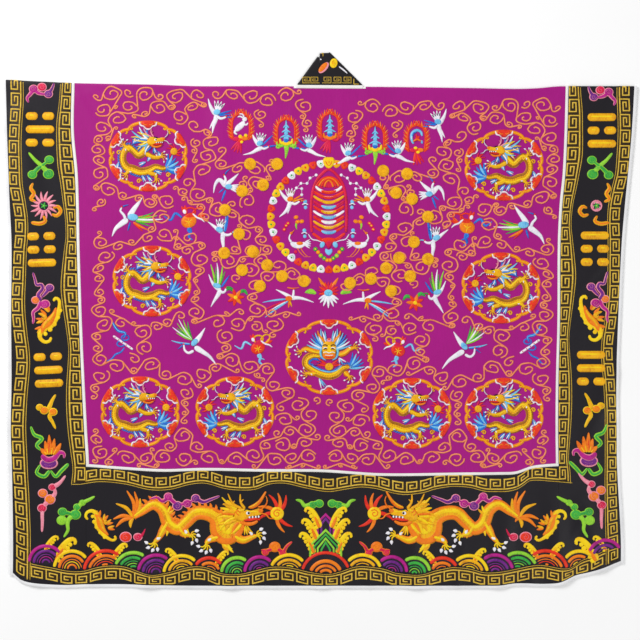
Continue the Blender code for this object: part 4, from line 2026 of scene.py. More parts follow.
@dataclass
class Collar:
    """The collar band: up each front edge, turned over at 45 degrees beside the neck, and joined at centre
    back.
    """

    cut: Cut = CUT
    wall: float = 2.0
    turn: float = 34.0
    seam_drop: float = -3.6
    corner_inset: float = 3.4
    join: float = -26.3
    run_share: float = 0.55
    mitre_reach: float = 3.0
    mitre_steps: int = 8
    fan_steps: int = 8
    cells_across: int = 9
    peaks: dict[Side, Point] = field(default_factory=lambda: {Side.LEFT: (-29.5, 68.0),
                                                              Side.RIGHT: (-1.5, 79.5)})
    peak_ends: dict[Side, Point] = field(
        default_factory=lambda: {Side.LEFT: (-26.6, 70.0), Side.RIGHT: (-26.0, 78.0)}
    )

    def build(self) -> None:
        """Makes both bands."""
        satin = COLLAR_SATIN.material()
        for side in Side:
            inner, outer = self.grids(side)
            name = f"collar_{side.word}"
            piece = settle(Mesher.wall(cloth_name(name), inner, outer, satin), "collar_satin", name)

    def rest(self, share: Array) -> Array:
        """Height of the upper layer's underside from the seam, at 0, to the free edge, at 1."""
        return mix(LAY.layer_rise + LAY.shoulder_puff, LAY.layer_rise, share) + 0.5 * np.sin(share * math.pi)

    def upper_top(self, x: Array, y: Array) -> Array:
        """Height of the folded collar's upper face at a place in plan, for its embroidery."""
        foot = LAY.hang("fold", np.full_like(x, self.cut.neck_centre)) + 3.6
        share = np.clip((y - foot) / 78.0, 0, 1)
        return self.rest(share) + self.wall

    def row(self, seam: Point, free: Point, layer: str, turn: float = 0.0) -> tuple[Array, Array]:
        """One section of the band.

        Args:
            seam: plan place of its seam edge.
            free: plan place of its free edge.
            layer: under, fold or upper.
            turn: how far round the fold the section is, from 0 to 1.

        Returns:
            Its inner and outer points.
        """
        share = np.linspace(0, 1, self.cells_across + 1)
        x, y = mix(seam[0], free[0], share), mix(seam[1], free[1], share)
        rise = self.rest(share)
        if layer == "under":
            return np.stack([x, y, 0 * x + self.wall], 1), np.stack([x, y, 0 * x], 1)
        if layer == "upper":
            return np.stack([x, y, rise], 1), np.stack([x, y, rise + self.wall], 1)
        run = np.array(free) - np.array(seam)
        out = np.array([-run[1], run[0]]) / np.hypot(*run)
        out = out if out[1] > 0 else -out
        angle = turn * math.pi
        middle = (rise + self.wall) / 2
        outer = self.mitre_reach * math.sin(angle)
        inner = (self.mitre_reach - self.wall) * math.sin(angle)
        inner_z = middle - (middle - self.wall) * math.cos(angle)
        outer_z = middle * (1 - math.cos(angle))
        return (
            np.stack([x + out[0] * inner, y + out[1] * inner, inner_z], 1),
            np.stack([x + out[0] * outer, y + out[1] * outer, outer_z], 1),
        )

    def grids(self, side: Side) -> tuple[Array, Array]:
        """The band's inner and outer points, from the front hem to the centre-back join.

        Args:
            side: which side of the robe.

        Returns:
            Its inner and outer points.
        """
        cut = self.cut
        seam_across = cut.neck_centre + side.value * cut.neck_half
        free_across = seam_across - side.value * cut.collar_width

        def at(across: float, drop: float) -> Point:
            """A place on the front, in plan."""
            return tuple(float(value) for value in LAY.front_place(across, drop))

        rows = []
        for drop in reversed(cut.drops(self.turn, cut.hem_binding_length)):
            rows.append(self.row(at(seam_across, drop), at(free_across, drop), "under"))
        seam_start, free_start = at(seam_across, self.turn), at(free_across, self.turn)
        corner_place = LAY.place(seam_across - side.value * self.corner_inset, self.seam_drop)
        corner = tuple(float(v) for v in corner_place)
        crest = (cut.neck_centre + self.peaks[side][0], LAY.fold_y + self.peaks[side][1])
        for i in range(1, self.fan_steps + 1):
            t = i / self.fan_steps
            seam = tuple(mix(a, b, t) for a, b in zip(seam_start, corner))
            free = tuple(mix(a, b, t) for a, b in zip(free_start, crest))
            rows.append(self.row(seam, free, "under"))
        rows += [self.row(corner, crest, "fold", i / self.mitre_steps) for i in range(1, self.mitre_steps)]
        gap = cut.seam_gap / 2
        join_x = cut.neck_centre + self.join + side.value * gap
        join_foot = (join_x, float(LAY.place(join_x, self.seam_drop)[1]))
        end = self.peak_ends[side]
        join_head = (cut.neck_centre + end[0], LAY.fold_y + end[1])
        count = math.ceil(abs(join_x - corner[0]) / cut.cell)
        for i in range(count + 1):
            t = i / count
            seam = tuple(mix(a, b, t) for a, b in zip(corner, join_foot))
            free = tuple(mix(a, b, t) for a, b in zip(crest, join_head))
            rows.append(self.row(seam, free, "upper"))
        return np.stack([row[0] for row in rows]), np.stack([row[1] for row in rows])


class Motif:
    """A figure that is embroidered round its own origin, in millimetres."""

    def draw(self, needle: Needle) -> None:
        """Draws the figure's stitches."""
        raise NotImplementedError


def oval_route(wide: float, high: float, count: int = 24, point: float = 0.0) -> Array:
    """Points round an oval, anticlockwise from its right end.

    Args:
        wide: its width.
        high: its height.
        count: how many points.
        point: how far its top is drawn up into a point, as a share of its height.

    Returns:
        The points.
    """
    angle = np.arange(count) * 2 * math.pi / count
    lift = point * high * np.maximum(0, np.sin(angle)) ** 6
    return np.stack([np.cos(angle) * wide / 2, np.sin(angle) * high / 2 + lift], 1)


@dataclass(frozen=True)
class CloudLobe(Motif):
    """A cloud that hangs inside a roundel's ring: red silk with a white scalloped rim. Its back is up."""

    wide: float = 46.0
    deep: float = 18.0

    def draw(self, needle: Needle) -> None:
        """Draws the lobe, from the ring at y = 0 down to its middle scallop.

        Args:
            needle: the needle, at the place of what it draws.
        """
        half, deep = self.wide / 2, self.deep
        outline = np.array([
            (-half, 2), (-0.86 * half, -0.42 * deep), (-0.5 * half, -0.54 * deep), (-0.3 * half, -0.9 * deep),
            (0, -deep),
            (0.3 * half, -0.9 * deep), (0.5 * half, -0.54 * deep), (0.86 * half, -0.42 * deep), (half, 2),
        ])
        needle.stroke(Thread.WHITE, outline, (4, 5.2, 3, 3, 5.4, 3, 3, 5.2, 4), 0.4)
        needle.stroke(Thread.PINK, outline * (0.86, 0.86), 2.6, 1)
        needle.pad(Thread.RED, np.concatenate([outline * (0.82, 0.78), [(0.5 * half, 5), (-0.5 * half, 5)]]),
                   1.2, 1.2, 90)
        for sign in (-1, 1):
            needle.stroke(Thread.ORANGE, [(sign * 0.6 * half, -0.1 * deep),
                                          (sign * 0.36 * half, -0.36 * deep),
                                          (sign * 0.1 * half, -0.3 * deep)], 4, 2.6, (1, 1))


@dataclass(frozen=True)
class RoundelRing(Motif):
    """A roundel's ring: orange with a gold core, stepped inwards in six places, with a cloud between each
    two.
    """

    wide: float = 204.0
    high: float = 178.0
    band: float = 10.2
    brackets: tuple[float, ...] = (0, 57, 123, 180, 237, 303)
    clouds: tuple[float, ...] = (30, 90, 150, 210, 270, 330)
    bracket_depth: float = 0.075
    bracket_reach: float = 5.0

    def radius(self, angle: Array) -> Array:
        """The share of the full oval at an angle in degrees, less at a bracket.

        Args:
            angle: degrees round the ring.

        Returns:
            The share at each angle.
        """
        share = np.ones_like(angle)
        for bracket in self.brackets:
            away = np.abs((angle - bracket + 180) % 360 - 180)
            share -= self.bracket_depth * np.exp(-away / self.bracket_reach)
        return share

    def spot(self, angle: float, inset: float = 0.0) -> Point:
        """A place on the oval, or inside it by an inset."""
        lean = math.radians(angle)
        return math.cos(lean) * (self.wide / 2 - inset), math.sin(lean) * (self.high / 2 - inset)

    def draw(self, needle: Needle) -> None:
        """Draws the clouds, the ring and its brackets.

        Args:
            needle: the needle, at the place of what it draws.
        """
        angle = np.arange(0, 360, 2.5)
        share = self.radius(angle)
        lean = np.radians(angle)
        route = np.stack([np.cos(lean) * self.wide / 2 * share, np.sin(lean) * self.high / 2 * share], 1)
        needle.stroke(Thread.ORANGE, route, self.band, 0.6, closed=True)
        needle.stroke(Thread.GOLD, route * 1.004, self.band * 0.52, 1.8, closed=True)
        for cloud in self.clouds:
            x, y = self.spot(cloud, self.band * 0.1)
            CloudLobe().draw(needle.at(x, y, math.degrees(math.atan2(y, x)) - 90, level=2.4))
        for bracket in self.brackets:
            x, y = self.spot(bracket, 10)
            inward = needle.at(x, y, math.degrees(math.atan2(y, x)) - 90)
            for sign in (-1, 1):
                inward.stroke(Thread.GOLD, [(sign * 4, 3), (sign * 9, -2), (sign * 12, 1)], (5, 5, 3.4), 2.4)


@dataclass(frozen=True)
class Claw(Motif):
    """A dragon's foot, toes to the right."""

    skin: Thread
    nail: Thread
    toe: float = 11.0
    thick: float = 3.4
    nail_size: float = 4.4

    def draw(self, needle: Needle) -> None:
        """Draws four toes with their nails, and the heel's.

        Args:
            needle: the needle, at the place of what it draws.
        """
        needle.oval(self.skin, 1, 0, 8, 7, 0, 1, 1.3)
        for lean in (-62, -22, 18, 56, 165):
            reach = self.toe if lean < 100 else 0.75 * self.toe
            turn, bow = math.radians(lean), math.radians(lean + 18)
            middle = (math.cos(bow) * reach * 0.6, math.sin(bow) * reach * 0.6)
            tip = (math.cos(turn) * reach, math.sin(turn) * reach)
            needle.stroke(self.skin, [(0, 0), middle, tip], (self.thick, self.thick * 0.9, self.thick * 0.7),
                          1.5)
            hook = (tip[0] + math.cos(turn - 0.6) * 1.3 * self.nail_size,
                    tip[1] + math.sin(turn - 0.6) * 1.3 * self.nail_size)
            needle.stroke(self.nail, [tip, ((tip[0] + hook[0]) / 2 + 0.6, (tip[1] + hook[1]) / 2 + 0.4),
                                      hook],
                          (self.nail_size, self.nail_size, 1.4), 2.2, (0.5, 1.2))


@dataclass(frozen=True)
class DragonHead(Motif):
    """A dragon's head from the side, looking right."""

    skin: Thread = Thread.GOLD
    light: Thread = Thread.YELLOW
    jaw: Thread = Thread.ORANGE
    horn: Thread = Thread.PINK
    mane: tuple[Thread, ...] = (Thread.SKY, Thread.WHITE, Thread.BLUE, Thread.YELLOW)
    beard: Thread = Thread.BLUE
    whisker: Thread = Thread.WHITE

    def draw(self, needle: Needle) -> None:
        """Draws mane and horns first, then skull, jaw, eye and whiskers.

        Args:
            needle: the needle, at the place of what it draws.
        """
        for n, (x, y, lean, reach) in enumerate((
            (-6, 12, 152, 34), (-8, 8, 166, 38), (-9, 3, 178, 40), (-9, -2, 190, 38), (-8, -7, 203, 34),
            (-5, -11, 218, 30), (0, -14, 234, 26), (-4, 14, 138, 28),
        )):
            needle.spray([self.mane[n % len(self.mane)]], x, y, [lean], reach, 6.2, 1 + 0.2 * n,
                         26 if n % 2 else -14)
        for x, y, lean, reach in ((2, 12, 128, 36), (8, 12, 104, 27)):
            tip = math.radians(lean)
            bow = math.radians(lean + 16)
            needle.stroke(self.horn, [(x, y), (x + math.cos(bow) * reach * 0.5,
                                               y + math.sin(bow) * reach * 0.5),
                                      (x + math.cos(tip) * reach, y + math.sin(tip) * reach)], (6, 4.5, 2.4),
                                      3, (0.5, 1))
            needle.stroke(self.horn, [(x + math.cos(bow) * reach * 0.5, y + math.sin(bow) * reach * 0.5),
                                      (x + math.cos(bow) * reach * 0.62 + 7,
                                       y + math.sin(bow) * reach * 0.62 + 2)],
                          (3.4, 2.2), 3, (0.5, 1))
        needle.stroke(self.jaw, [(-2, -10), (8, -15), (20, -15), (29, -11)], (8, 8, 7, 5), 2.5)
        needle.stroke(Thread.RED, [(4, -7), (16, -8), (26, -7), (33, -10)], (6, 6, 5, 2.5), 3.2, (0.5, 1.4))
        needle.pad(self.skin, [(-12, -7), (-11, 6), (-4, 13), (6, 13), (15, 9), (24, 9), (34, 11), (39, 6),
                               (37, 0), (27, -2), (16, -3), (6, -10)], 3, 1.6, 20)
        needle.stroke(self.light, [(-6, 8), (6, 10), (18, 6), (30, 6)], (5, 5, 4, 4), 4.2, (1, 1))
        needle.oval(self.jaw, 35.5, 6.5, 9, 8, 0, 4.5, 1.4)
        needle.curl(self.light, 35.5, 6.5, 3, 1, 200, 1.8, 6)
        for x in (15, 20.5, 26, 31):
            needle.oval(Thread.WHITE, x, -3.6, 3.4, 4.6, 0, 4.2, 0.9)
        needle.oval(Thread.WHITE, 13, 4, 9.5, 7.5, 0, 5, 1)
        needle.oval(Thread.DARK, 14.2, 4, 4.4, 4.8, 0, 6.4, 1)
        needle.stroke(Thread.DARK, [(6, 9), (13, 11.5), (20, 9)], (3, 3.2, 2), 5.4, (0.8, 1.4))
        needle.stroke(self.jaw, [(-3, 1), (-8, 6), (-5, 10), (0, 5)], 3.4, 5)
        for route in (((37, 9), (45, 16), (48, 24), (46, 32)), ((36, 2), (44, -1), (50, -8), (58, -9))):
            needle.stroke(self.whisker, route, (3, 3.2, 2.6, 1.6), 5, (0.5, 1.5))
        needle.spray((self.beard, self.mane[0], self.mane[1]), 8, -17, (246, 262, 278, 296), 18, 4.6, 2, 12)


@dataclass(frozen=True)
class DragonBody(Motif):
    """A dragon's long body along a route, with belly, scales and spines."""

    route: tuple[Point, ...]
    widths: tuple[float, ...]
    skin: Thread = Thread.GOLD
    light: Thread = Thread.YELLOW
    belly: Thread = Thread.ORANGE
    spine: Thread = Thread.BLUE
    shade: Thread = Thread.BRONZE
    spine_side: int = 1
    spine_length: float = 7.0
    spine_pitch: float = 7.5
    scale_pitch: float = 6.5

    def draw(self, needle: Needle) -> None:
        """Draws spines, body, belly and scales.

        Args:
            needle: the needle, at the place of what it draws.
        """
        route, widths = np.array(self.route), np.array(self.widths)
        length = float(np.hypot(*np.diff(route, axis=0).T).sum())
        fine, _, wide = route_samples(route, widths, (0, 0), False)
        side = self.spine_side
        outward = (beside(fine, 1.0) - fine) * wide[:, None] * side
        spine = Needle("spine", base=0)
        root, size = self.spine_length * 0.5, self.spine_length
        spine.stroke(self.spine, [(1, 0), (-0.5, side * size * 0.55), (-4.5, side * size)],
                     (root + 3, root + 1, 1.4), 0,
                     (0.5, 1.2))
        STITCH_ROW.lay(needle, spine, fine + outward * 0.42, round(length / self.spine_pitch),
                       sizes=(0.8, 1.2))
        needle.stroke(self.shade, fine + outward * 0.05, wide + 1.6, 0.7, (0.5, 0.8))
        needle.stroke(self.skin, route, widths, 1, (0.8, 1.5))
        needle.stroke(self.belly, (fine - outward * 0.28)[1:-1:2], wide[1:-1:2] * 0.36, 2, (1, 1))
        needle.stroke(self.light, (fine + outward * 0.18)[1:-1:2], wide[1:-1:2] * 0.34, 2, (1, 1))
        scale = Needle("scale", base=0)
        reach = float(widths.mean()) * 0.24
        scale.stroke(self.shade, [(-1.2, -reach), (1.8, 0), (-1.2, reach)], (1.3, 1.8, 1.3), 0, (0.5, 0.5))
        STITCH_ROW.lay(needle, scale, fine[1:-1], round(length / self.scale_pitch), sizes=(0.9, 1.1),
                       level=3.2)


@dataclass(frozen=True)
class Pearl(Motif):
    """A flaming pearl."""

    core: Thread = Thread.YELLOW
    flame: tuple[Thread, ...] = (Thread.RED, Thread.ORANGE)
    size: float = 18.0
    angles: tuple[float, ...] = (20, 60, 100, 140, 180, 225, 270, 315)
    reach: float = 20.0
    flame_width: float = 6.0

    def draw(self, needle: Needle) -> None:
        """Draws the flames, then the pearl and its swirl."""
        needle.spray(self.flame, 0, 0, self.angles, self.reach, self.flame_width, 0, 30, 5)
        needle.oval(self.core, 0, 0, self.size, 0, 0, 1, 1.7)
        needle.curl(Thread.ORANGE, 0, 0, 0.3 * self.size, 1.3, 40, 0.12 * self.size, 4)


@dataclass(frozen=True)
class ProfileDragon(Motif):
    """The dragon of the eight roundels: coiled from the head on top to the tail fan on the right, facing
    right.
    """

    def draw(self, needle: Needle) -> None:
        """Draws the whole figure.

        Args:
            needle: the needle, at the place of what it draws.
        """
        needle.spray((Thread.BLUE, Thread.SKY), 46, -31, (-44, -26, -8, 10, 28, 46, 64), 38, 9, 1, 16)
        body = DragonBody(
            ((2, 34), (-5, 20), (-12, 10), (-26, 1), (-38, 12), (-52, 21), (-64, 9), (-66, -12), (-56, -29),
             (-40, -34),
             (-20, -41), (2, -37), (20, -28), (38, -32), (56, -28)),
            (17, 20, 22, 19, 18, 20, 18, 19, 22, 23, 22, 21, 16, 13, 8), belly=Thread.BRONZE, spine_side=-1,
            spine_length=6.4,
            spine_pitch=5.0, spine=Thread.BLUE,
        )
        legs = (
            (((-8, 8), (10, -2), (24, -4), (34, -2)), 6, 10),
            (((-6, -38), (8, -46), (20, -50), (20, -60)), -70, 10),
            (((-46, -34), (-54, -42), (-58, -46)), 225, 9),
            (((-48, 14), (-58, 24), (-62, 28)), 130, 9),
        )
        for x, y, lean in ((-2, -14, 60), (-16, -50, 300), (-2, -52, 312), (18, -38, -20), (-76, -16, 250),
                           (-6, -16, 205),
                           (-40, 30, 70), (26, 12, -60)):
            needle.spray((Thread.SKY, Thread.WHITE, Thread.BLUE), x, y, (lean - 16, lean, lean + 16), 20, 5,
                         0.8)
        for route, turn, width in legs:
            needle.stroke(Thread.BRONZE, route, [width + 6 - 1.4 * n for n in range(len(route))], 1.2)
            needle.stroke(Thread.GOLD, route, [width + 4 - 1.4 * n for n in range(len(route))], 1.7)
            needle.stroke(Thread.YELLOW, beside(route, 1.6), 4, 2.9)
            x, y = route[-1]
            Claw(Thread.GOLD, Thread.WHITE, 12).draw(needle.at(x, y, turn, 1.1, level=1.2))
        body.draw(needle)
        for n, (lean, reach) in enumerate(((104, 34), (118, 30), (131, 40), (143, 46), (155, 50), (167, 54),
                                           (179, 50),
                                           (191, 44), (203, 38), (216, 32), (230, 28))):
            thread = (Thread.SKY, Thread.BLUE, Thread.YELLOW, Thread.WHITE, Thread.YELLOW)[n % 5]
            needle.spray([thread], 4, 40, [lean], reach, 7.4, 3 + 0.15 * n, -16 if n % 2 else 14, 6)
        DragonHead().draw(needle.at(8, 38, 2, 0.94, level=4))
        Pearl(Thread.GOLD, (Thread.ROSE, Thread.RED), 20, (70, 100, 130, 0, 330, 300, 210), 22).draw(
            needle.at(68, 12, level=1))
        for x, y in ((-77, 9), (53, -50), (-24, -66)):
            needle.curl(Thread.GOLD, x, y, 6.4, 1.3, 0, 4.6, 1)


@dataclass(frozen=True)
class FrontDragon(Motif):
    """The dragon of the centre roundel: its face to the front, and its body coiled below."""

    def face(self, needle: Needle) -> None:
        """Draws the face.

        Args:
            needle: the needle, at the place of what it draws.
        """
        for mirror in (False, True):
            half = needle.at(0, 0, mirror=mirror)
            for n, lean in enumerate((4, 15, 26, 37, 48, 59, 70)):
                thread = (Thread.SKY, Thread.WHITE, Thread.SKY, Thread.BLUE)[n % 4]
                half.spray([thread], 15, 8 + 1.6 * n, [lean], 46 - 2 * (n % 3), 7, 1 + 0.2 * n, 12)
            half.stroke(Thread.ORANGE, [(12, 26), (20, 38), (28, 48), (30, 58)], (9, 8, 6, 3), 3, (0.5, 1))
            half.stroke(Thread.GOLD, [(12, 26), (20, 37), (26, 46)], (5, 4.4, 3), 4, (0.5, 1))
            half.spray((Thread.SKY, Thread.WHITE), 8, 26, (84, 72), 32, 6, 2)
            half.stroke(Thread.SKY, [(20, 12), (23, 0), (18, -14), (8, -20)], (7, 8, 6, 3), 2)
        needle.pad(Thread.GOLD, [(-20, 16), (-14, 28), (0, 33), (14, 28), (20, 16), (18, 0), (16, -10),
                                 (0, -14),
                                 (-16, -10), (-18, 0)], 3, 1.8, 90)
        needle.oval(Thread.PINK, 0, 33, 15, 11, 0, 4, 1.5)
        needle.oval(Thread.RED, 0, 35, 9, 6, 0, 5.4, 1)
        needle.pad(Thread.YELLOW, [(-5, 22), (5, 22), (7, 4), (10, -1), (-10, -1), (-7, 4)], 4.5, 1.4, 90)
        needle.pad(Thread.ORANGE, [(-17, -2), (17, -2), (15, -15), (0, -18), (-15, -15)], 4.5, 1.2)
        needle.stroke(Thread.WHITE, [(-16, -1), (-9, 2), (0, -1), (9, 2), (16, -1)], (3, 4, 4, 4, 3), 6)
        needle.stroke(Thread.RED, [(-12, -11), (0, -12.5), (12, -11)], (5, 6, 5), 6)
        needle.stroke(Thread.WHITE, [(-11, -6.5), (0, -7.5), (11, -6.5)], 3.2, 7)
        for sign in (-1, 1):
            needle.stroke(Thread.WHITE, [(sign * 4, 12), (sign * 10, 13.5), (sign * 17, 10.5)], (3, 4.4, 3),
                          5.6)
            needle.stroke(Thread.DARK, [(sign * 4.4, 9), (sign * 9.5, 10.4), (sign * 14.5, 8)], (3, 5, 3),
                          6.4)
            needle.stroke(Thread.DARK, [(sign * 3, 17), (sign * 10, 20.5), (sign * 18, 18.5)], (3.4, 5, 3), 6,
                          (0.8, 1.2))

    def draw(self, needle: Needle) -> None:
        """Draws tail, body, limbs, pearl and face.

        Args:
            needle: the needle, at the place of what it draws.
        """
        needle.spray((Thread.SKY, Thread.BLUE), 52, -28, (-8, 8, 22, 36, 50, 64), 42, 8, 1, 12)
        DragonBody(
            ((-20, 2), (-42, 6), (-60, -4), (-62, -20), (-48, -32), (-27, -44), (-1, -50), (20, -44),
             (34, -31), (46, -26),
             (57, -26)),
            (14, 18, 19, 18, 18, 20, 21, 20, 17, 14, 9), belly=Thread.BRONZE, spine=Thread.BLUE, spine_side=1,
            spine_length=6.4, spine_pitch=5.0,
        ).draw(needle)
        needle.stroke(Thread.SKY, [(-46, -22), (-26, -33), (0, -39), (20, -34), (34, -22)],
                      (3, 4.4, 5, 4.4, 3), 2.4, (1, 1))
        for route, turn, mirror in (
            (((-22, 12), (-42, 16), (-60, 22), (-74, 16)), 200, False),
            (((24, 6), (42, 12), (54, 22), (66, 24)), 20, False),
            (((40, -38), (48, -46), (52, -50)), -70, False),
            (((-34, -42), (-48, -42), (-58, -42)), 190, False),
        ):
            needle.stroke(Thread.BRONZE, route, [20 - 2.4 * n for n in range(len(route))], 1.6)
            needle.stroke(Thread.ORANGE, route, [18 - 2.4 * n for n in range(len(route))], 2.1)
            needle.stroke(Thread.GOLD, route, [11 - 1.6 * n for n in range(len(route))], 2.8)
            needle.stroke(Thread.YELLOW, beside(route, 1.5 * (1 if route[-1][0] < 0 else -1)),
                          (4.4, 5, 4, 3)[:len(route)], 3.2)
            Claw(Thread.GOLD, Thread.WHITE, 12).draw(needle.at(*route[-1], turn, 1.1, mirror, 2))
        needle.spray((Thread.SKY, Thread.WHITE), -26, -56, (-60, -78, -46), 28, 5, 1)
        needle.spray((Thread.WHITE, Thread.SKY), 26, -2, (-30, -58, -84), 22, 5, 2)
        needle.spray((Thread.RED, Thread.ROSE, Thread.RED), 0, -24, (8, 22, 36, 144, 158, 172), 36, 7, 2, 0,
                     6)
        needle.oval(Thread.GOLD, 0, -25, 23, 21, 0, 4, 1.6)
        needle.curl(Thread.ORANGE, 0, -25, 6, 1.3, 0, 2.8, 7)
        for sign in (-1, 1):
            needle.stroke(Thread.VIOLET, [(sign * 20, -10), (sign * 32, -19), (sign * 46, -24)],
                          (4, 3.6, 1.6), 3, (0.5, 1.4))
        self.face(needle.at(0, 12, level=3))


@dataclass(frozen=True)
class Coin(Motif):
    """A round coin, worked as a padded gold disc with a faint square and four grains."""

    size: float = 33.0

    def draw(self, needle: Needle) -> None:
        """Draws the disc, its rim and its faint relief.

        Args:
            needle: the needle, at the place of what it draws.
        """
        needle.oval(Thread.GOLD, 0, 0, self.size, 0, 45, 0, 1.2)
        ring = oval_route(self.size - 4, self.size - 4, 16)
        needle.stroke(Thread.YELLOW, ring, 2.6, 1.4, closed=True)
        for n in range(4):
            side = needle.at(0, 0, 90 * n)
            side.stroke(Thread.ORANGE, [(-4.6, 4.6), (4.6, 4.6)], 1.4, 2.6)
            side.stroke(Thread.YELLOW, [(-3, 9), (3, 9.6)], 2.2, 2.4)


@dataclass(frozen=True)
class FlameRing(Motif):
    """An upright aureole: an arch of orange flame, with pointed tongues that lean up to its top."""

    wide: float = 47.0
    high: float = 78.0
    band: float = 7.6
    tongues: int = 17

    def draw(self, needle: Needle) -> None:
        """Draws the flame tongues, then the arch and its core.

        Args:
            needle: the needle, at the place of what it draws.
        """
        foot, shoulder, top = -0.4 * self.high, 0.2 * self.high, 0.44 * self.high
        reach = self.wide / 2
        half = np.array([(0.86 * reach, foot), (reach, 0.4 * foot), (reach, 0.1 * foot),
                         (0.97 * reach, shoulder),
                         (0.72 * reach, 0.82 * top), (0.3 * reach, top), (0, 1.04 * top)])
        for sign in (1, -1):
            side = needle.at(0, 0, mirror=sign < 0)
            for thread, first in ((Thread.RED, 0), (Thread.ORANGE, 1)):
                tongue = Needle("tongue", base=0)
                tongue.stroke(thread, [(-3, 1 * sign), (3, -5 * sign), (9, -12 * sign)], (5.4, 4.6, 1.4), 0,
                              (0.5, 1.4))
                STITCH_ROW.lay(side, tongue, half, self.tongues, False, 2, first, (0.9, 1.12))
            side.stroke(Thread.RED, half, self.band, 0.8)
            side.stroke(Thread.ORANGE, half * (0.98, 1), self.band * 0.36, 2)


@dataclass(frozen=True)
class Pagoda(Motif):
    """A small tower of three roofs on a lotus base, with leaves."""

    wall: Thread = Thread.SKY
    roof: Thread = Thread.WHITE
    petal: Thread = Thread.YELLOW
    leaf: Thread = Thread.LIME

    def draw(self, needle: Needle) -> None:
        """Draws leaves, base, storeys and spire.

        Args:
            needle: the needle, at the place of what it draws.
        """
        for sign in (-1, 1):
            needle.stroke(self.leaf, [(sign * 6, -34), (sign * 18, -38), (sign * 27, -30), (sign * 24, -24)],
                          (9, 9, 7, 4), 0, (0.5, 1))
            needle.stroke(self.petal, [(sign * 4, -30), (sign * 15, -28), (sign * 18, -16)], (10, 9, 5), 0.8,
                          (0.5, 0.8))
        needle.oval(self.petal, 0, -29, 26, 17, 0, 1, 1.3)
        needle.oval(Thread.BLUE, 0, -23, 17, 11, 0, 2.6, 1.2)
        for y, wide in ((-15, 27), (0, 20), (13, 14)):
            outline = [(-wide * 0.3, y - 5), (wide * 0.3, y - 5), (wide * 0.26, y + 6), (-wide * 0.26, y + 6)]
            needle.pad(self.wall, outline, 1, 1.2, 90, False)
            needle.stroke(self.wall, [(-wide * 0.62, y + 1), (-wide * 0.3, y + 5), (0, y + 8),
                                      (wide * 0.3, y + 5),
                                      (wide * 0.62, y + 1)], (3, 6, 8, 6, 3), 3, (0.5, 0.5))
            needle.stroke(self.roof, [(-wide * 0.34, y + 6), (0, y + 9), (wide * 0.34, y + 6)], 2.2, 4.6)
        needle.stroke(self.wall, [(0, 20), (0, 28), (0, 36)], (8, 5, 2), 3, (0.5, 1.4))


@dataclass(frozen=True)
class Rabbit(Motif):
    """A white rabbit that leaps among blossoms."""

    def draw(self, needle: Needle) -> None:
        """Draws blossoms, drapery, legs, body, head and ears.

        Args:
            needle: the needle, at the place of what it draws.
        """
        for x, y, wide, thread in ((-14, -34, 24, Thread.ROSE), (10, -32, 26, Thread.ORANGE),
                                   (0, -38, 20, Thread.RED)):
            needle.oval(thread, x, y, wide, 14, 0, 0, 1.4)
        for x, y, size in ((-2, -27, 12), (14, -24, 11), (2, -42, 10)):
            needle.oval(Thread.YELLOW, x, y, size, 0, 0, 1.4, 1)
        rabbit = needle.at(0, 4, 0, 1.2)
        rabbit.stroke(Thread.WHITE, [(-13, -13), (-6, -5), (3, 3), (8, 10)], (9, 15, 14, 10), 1.5)
        rabbit.stroke(Thread.WHITE, [(-10, -8), (-15, -16), (-9, -21)], (7, 6, 5), 1.8)
        rabbit.stroke(Thread.WHITE, [(6, 4), (13, 2), (17, 7)], (6, 5, 4), 1.8)
        rabbit.oval(Thread.WHITE, 9, 15, 13, 11, 30, 2.4, 1.5)
        rabbit.stroke(Thread.WHITE, [(6, 18), (-2, 22), (-8, 20)], (5, 5, 3), 3, (0.5, 1))
        rabbit.stroke(Thread.WHITE, [(8, 19), (4, 27), (-4, 28)], (5, 5, 3), 3, (0.5, 1))
        rabbit.oval(Thread.RED, 11.5, 16, 2.8, 0, 0, 4, 0.8)


@dataclass(frozen=True)
class SunBird(Motif):
    """A bird among sky-blue clouds, over a draped base."""

    def draw(self, needle: Needle) -> None:
        """Draws clouds, bird and base.

        Args:
            needle: the needle, at the place of what it draws.
        """
        needle.stroke(Thread.SKY, [(-9, -14), (-15, 2), (-12, 17), (0, 25), (12, 20), (16, 8)],
                      (7, 8, 9, 9, 8, 6), 0)
        needle.stroke(Thread.BLUE, [(-12, 4), (-9, 16), (0, 20)], (4, 5, 4), 1.4)
        needle.stroke(Thread.WHITE, [(-14, -2), (-13, 8)], 3.6, 1.8)
        needle.stroke(Thread.SKY, [(14, -4), (16, -14)], (8, 6), 0)
        needle.stroke(Thread.RED, [(-4, -6), (2, 2), (8, 8)], (6, 11, 6), 2)
        needle.spray((Thread.ORANGE, Thread.RED, Thread.ORANGE), 1, 0, (215, 100, 330), 15, 6, 3)
        for x, wide, thread in ((-10, 22, Thread.ROSE), (10, 22, Thread.ORANGE), (0, 20, Thread.RED)):
            needle.oval(thread, x, -32, wide, 13, 0, 0.6, 1.4)
        for x, y in ((-3, -26), (4, -38)):
            needle.oval(Thread.YELLOW, x, y, 12, 9, 0, 2.4, 1)


class Feather(NamedTuple):
    """A long feather: its silk, its root, its direction, its length, its width and how far its tip bends."""

    thread: Thread
    x: float
    y: float
    lean: float
    reach: float
    width: float = 7.0
    bend: float = 0.0


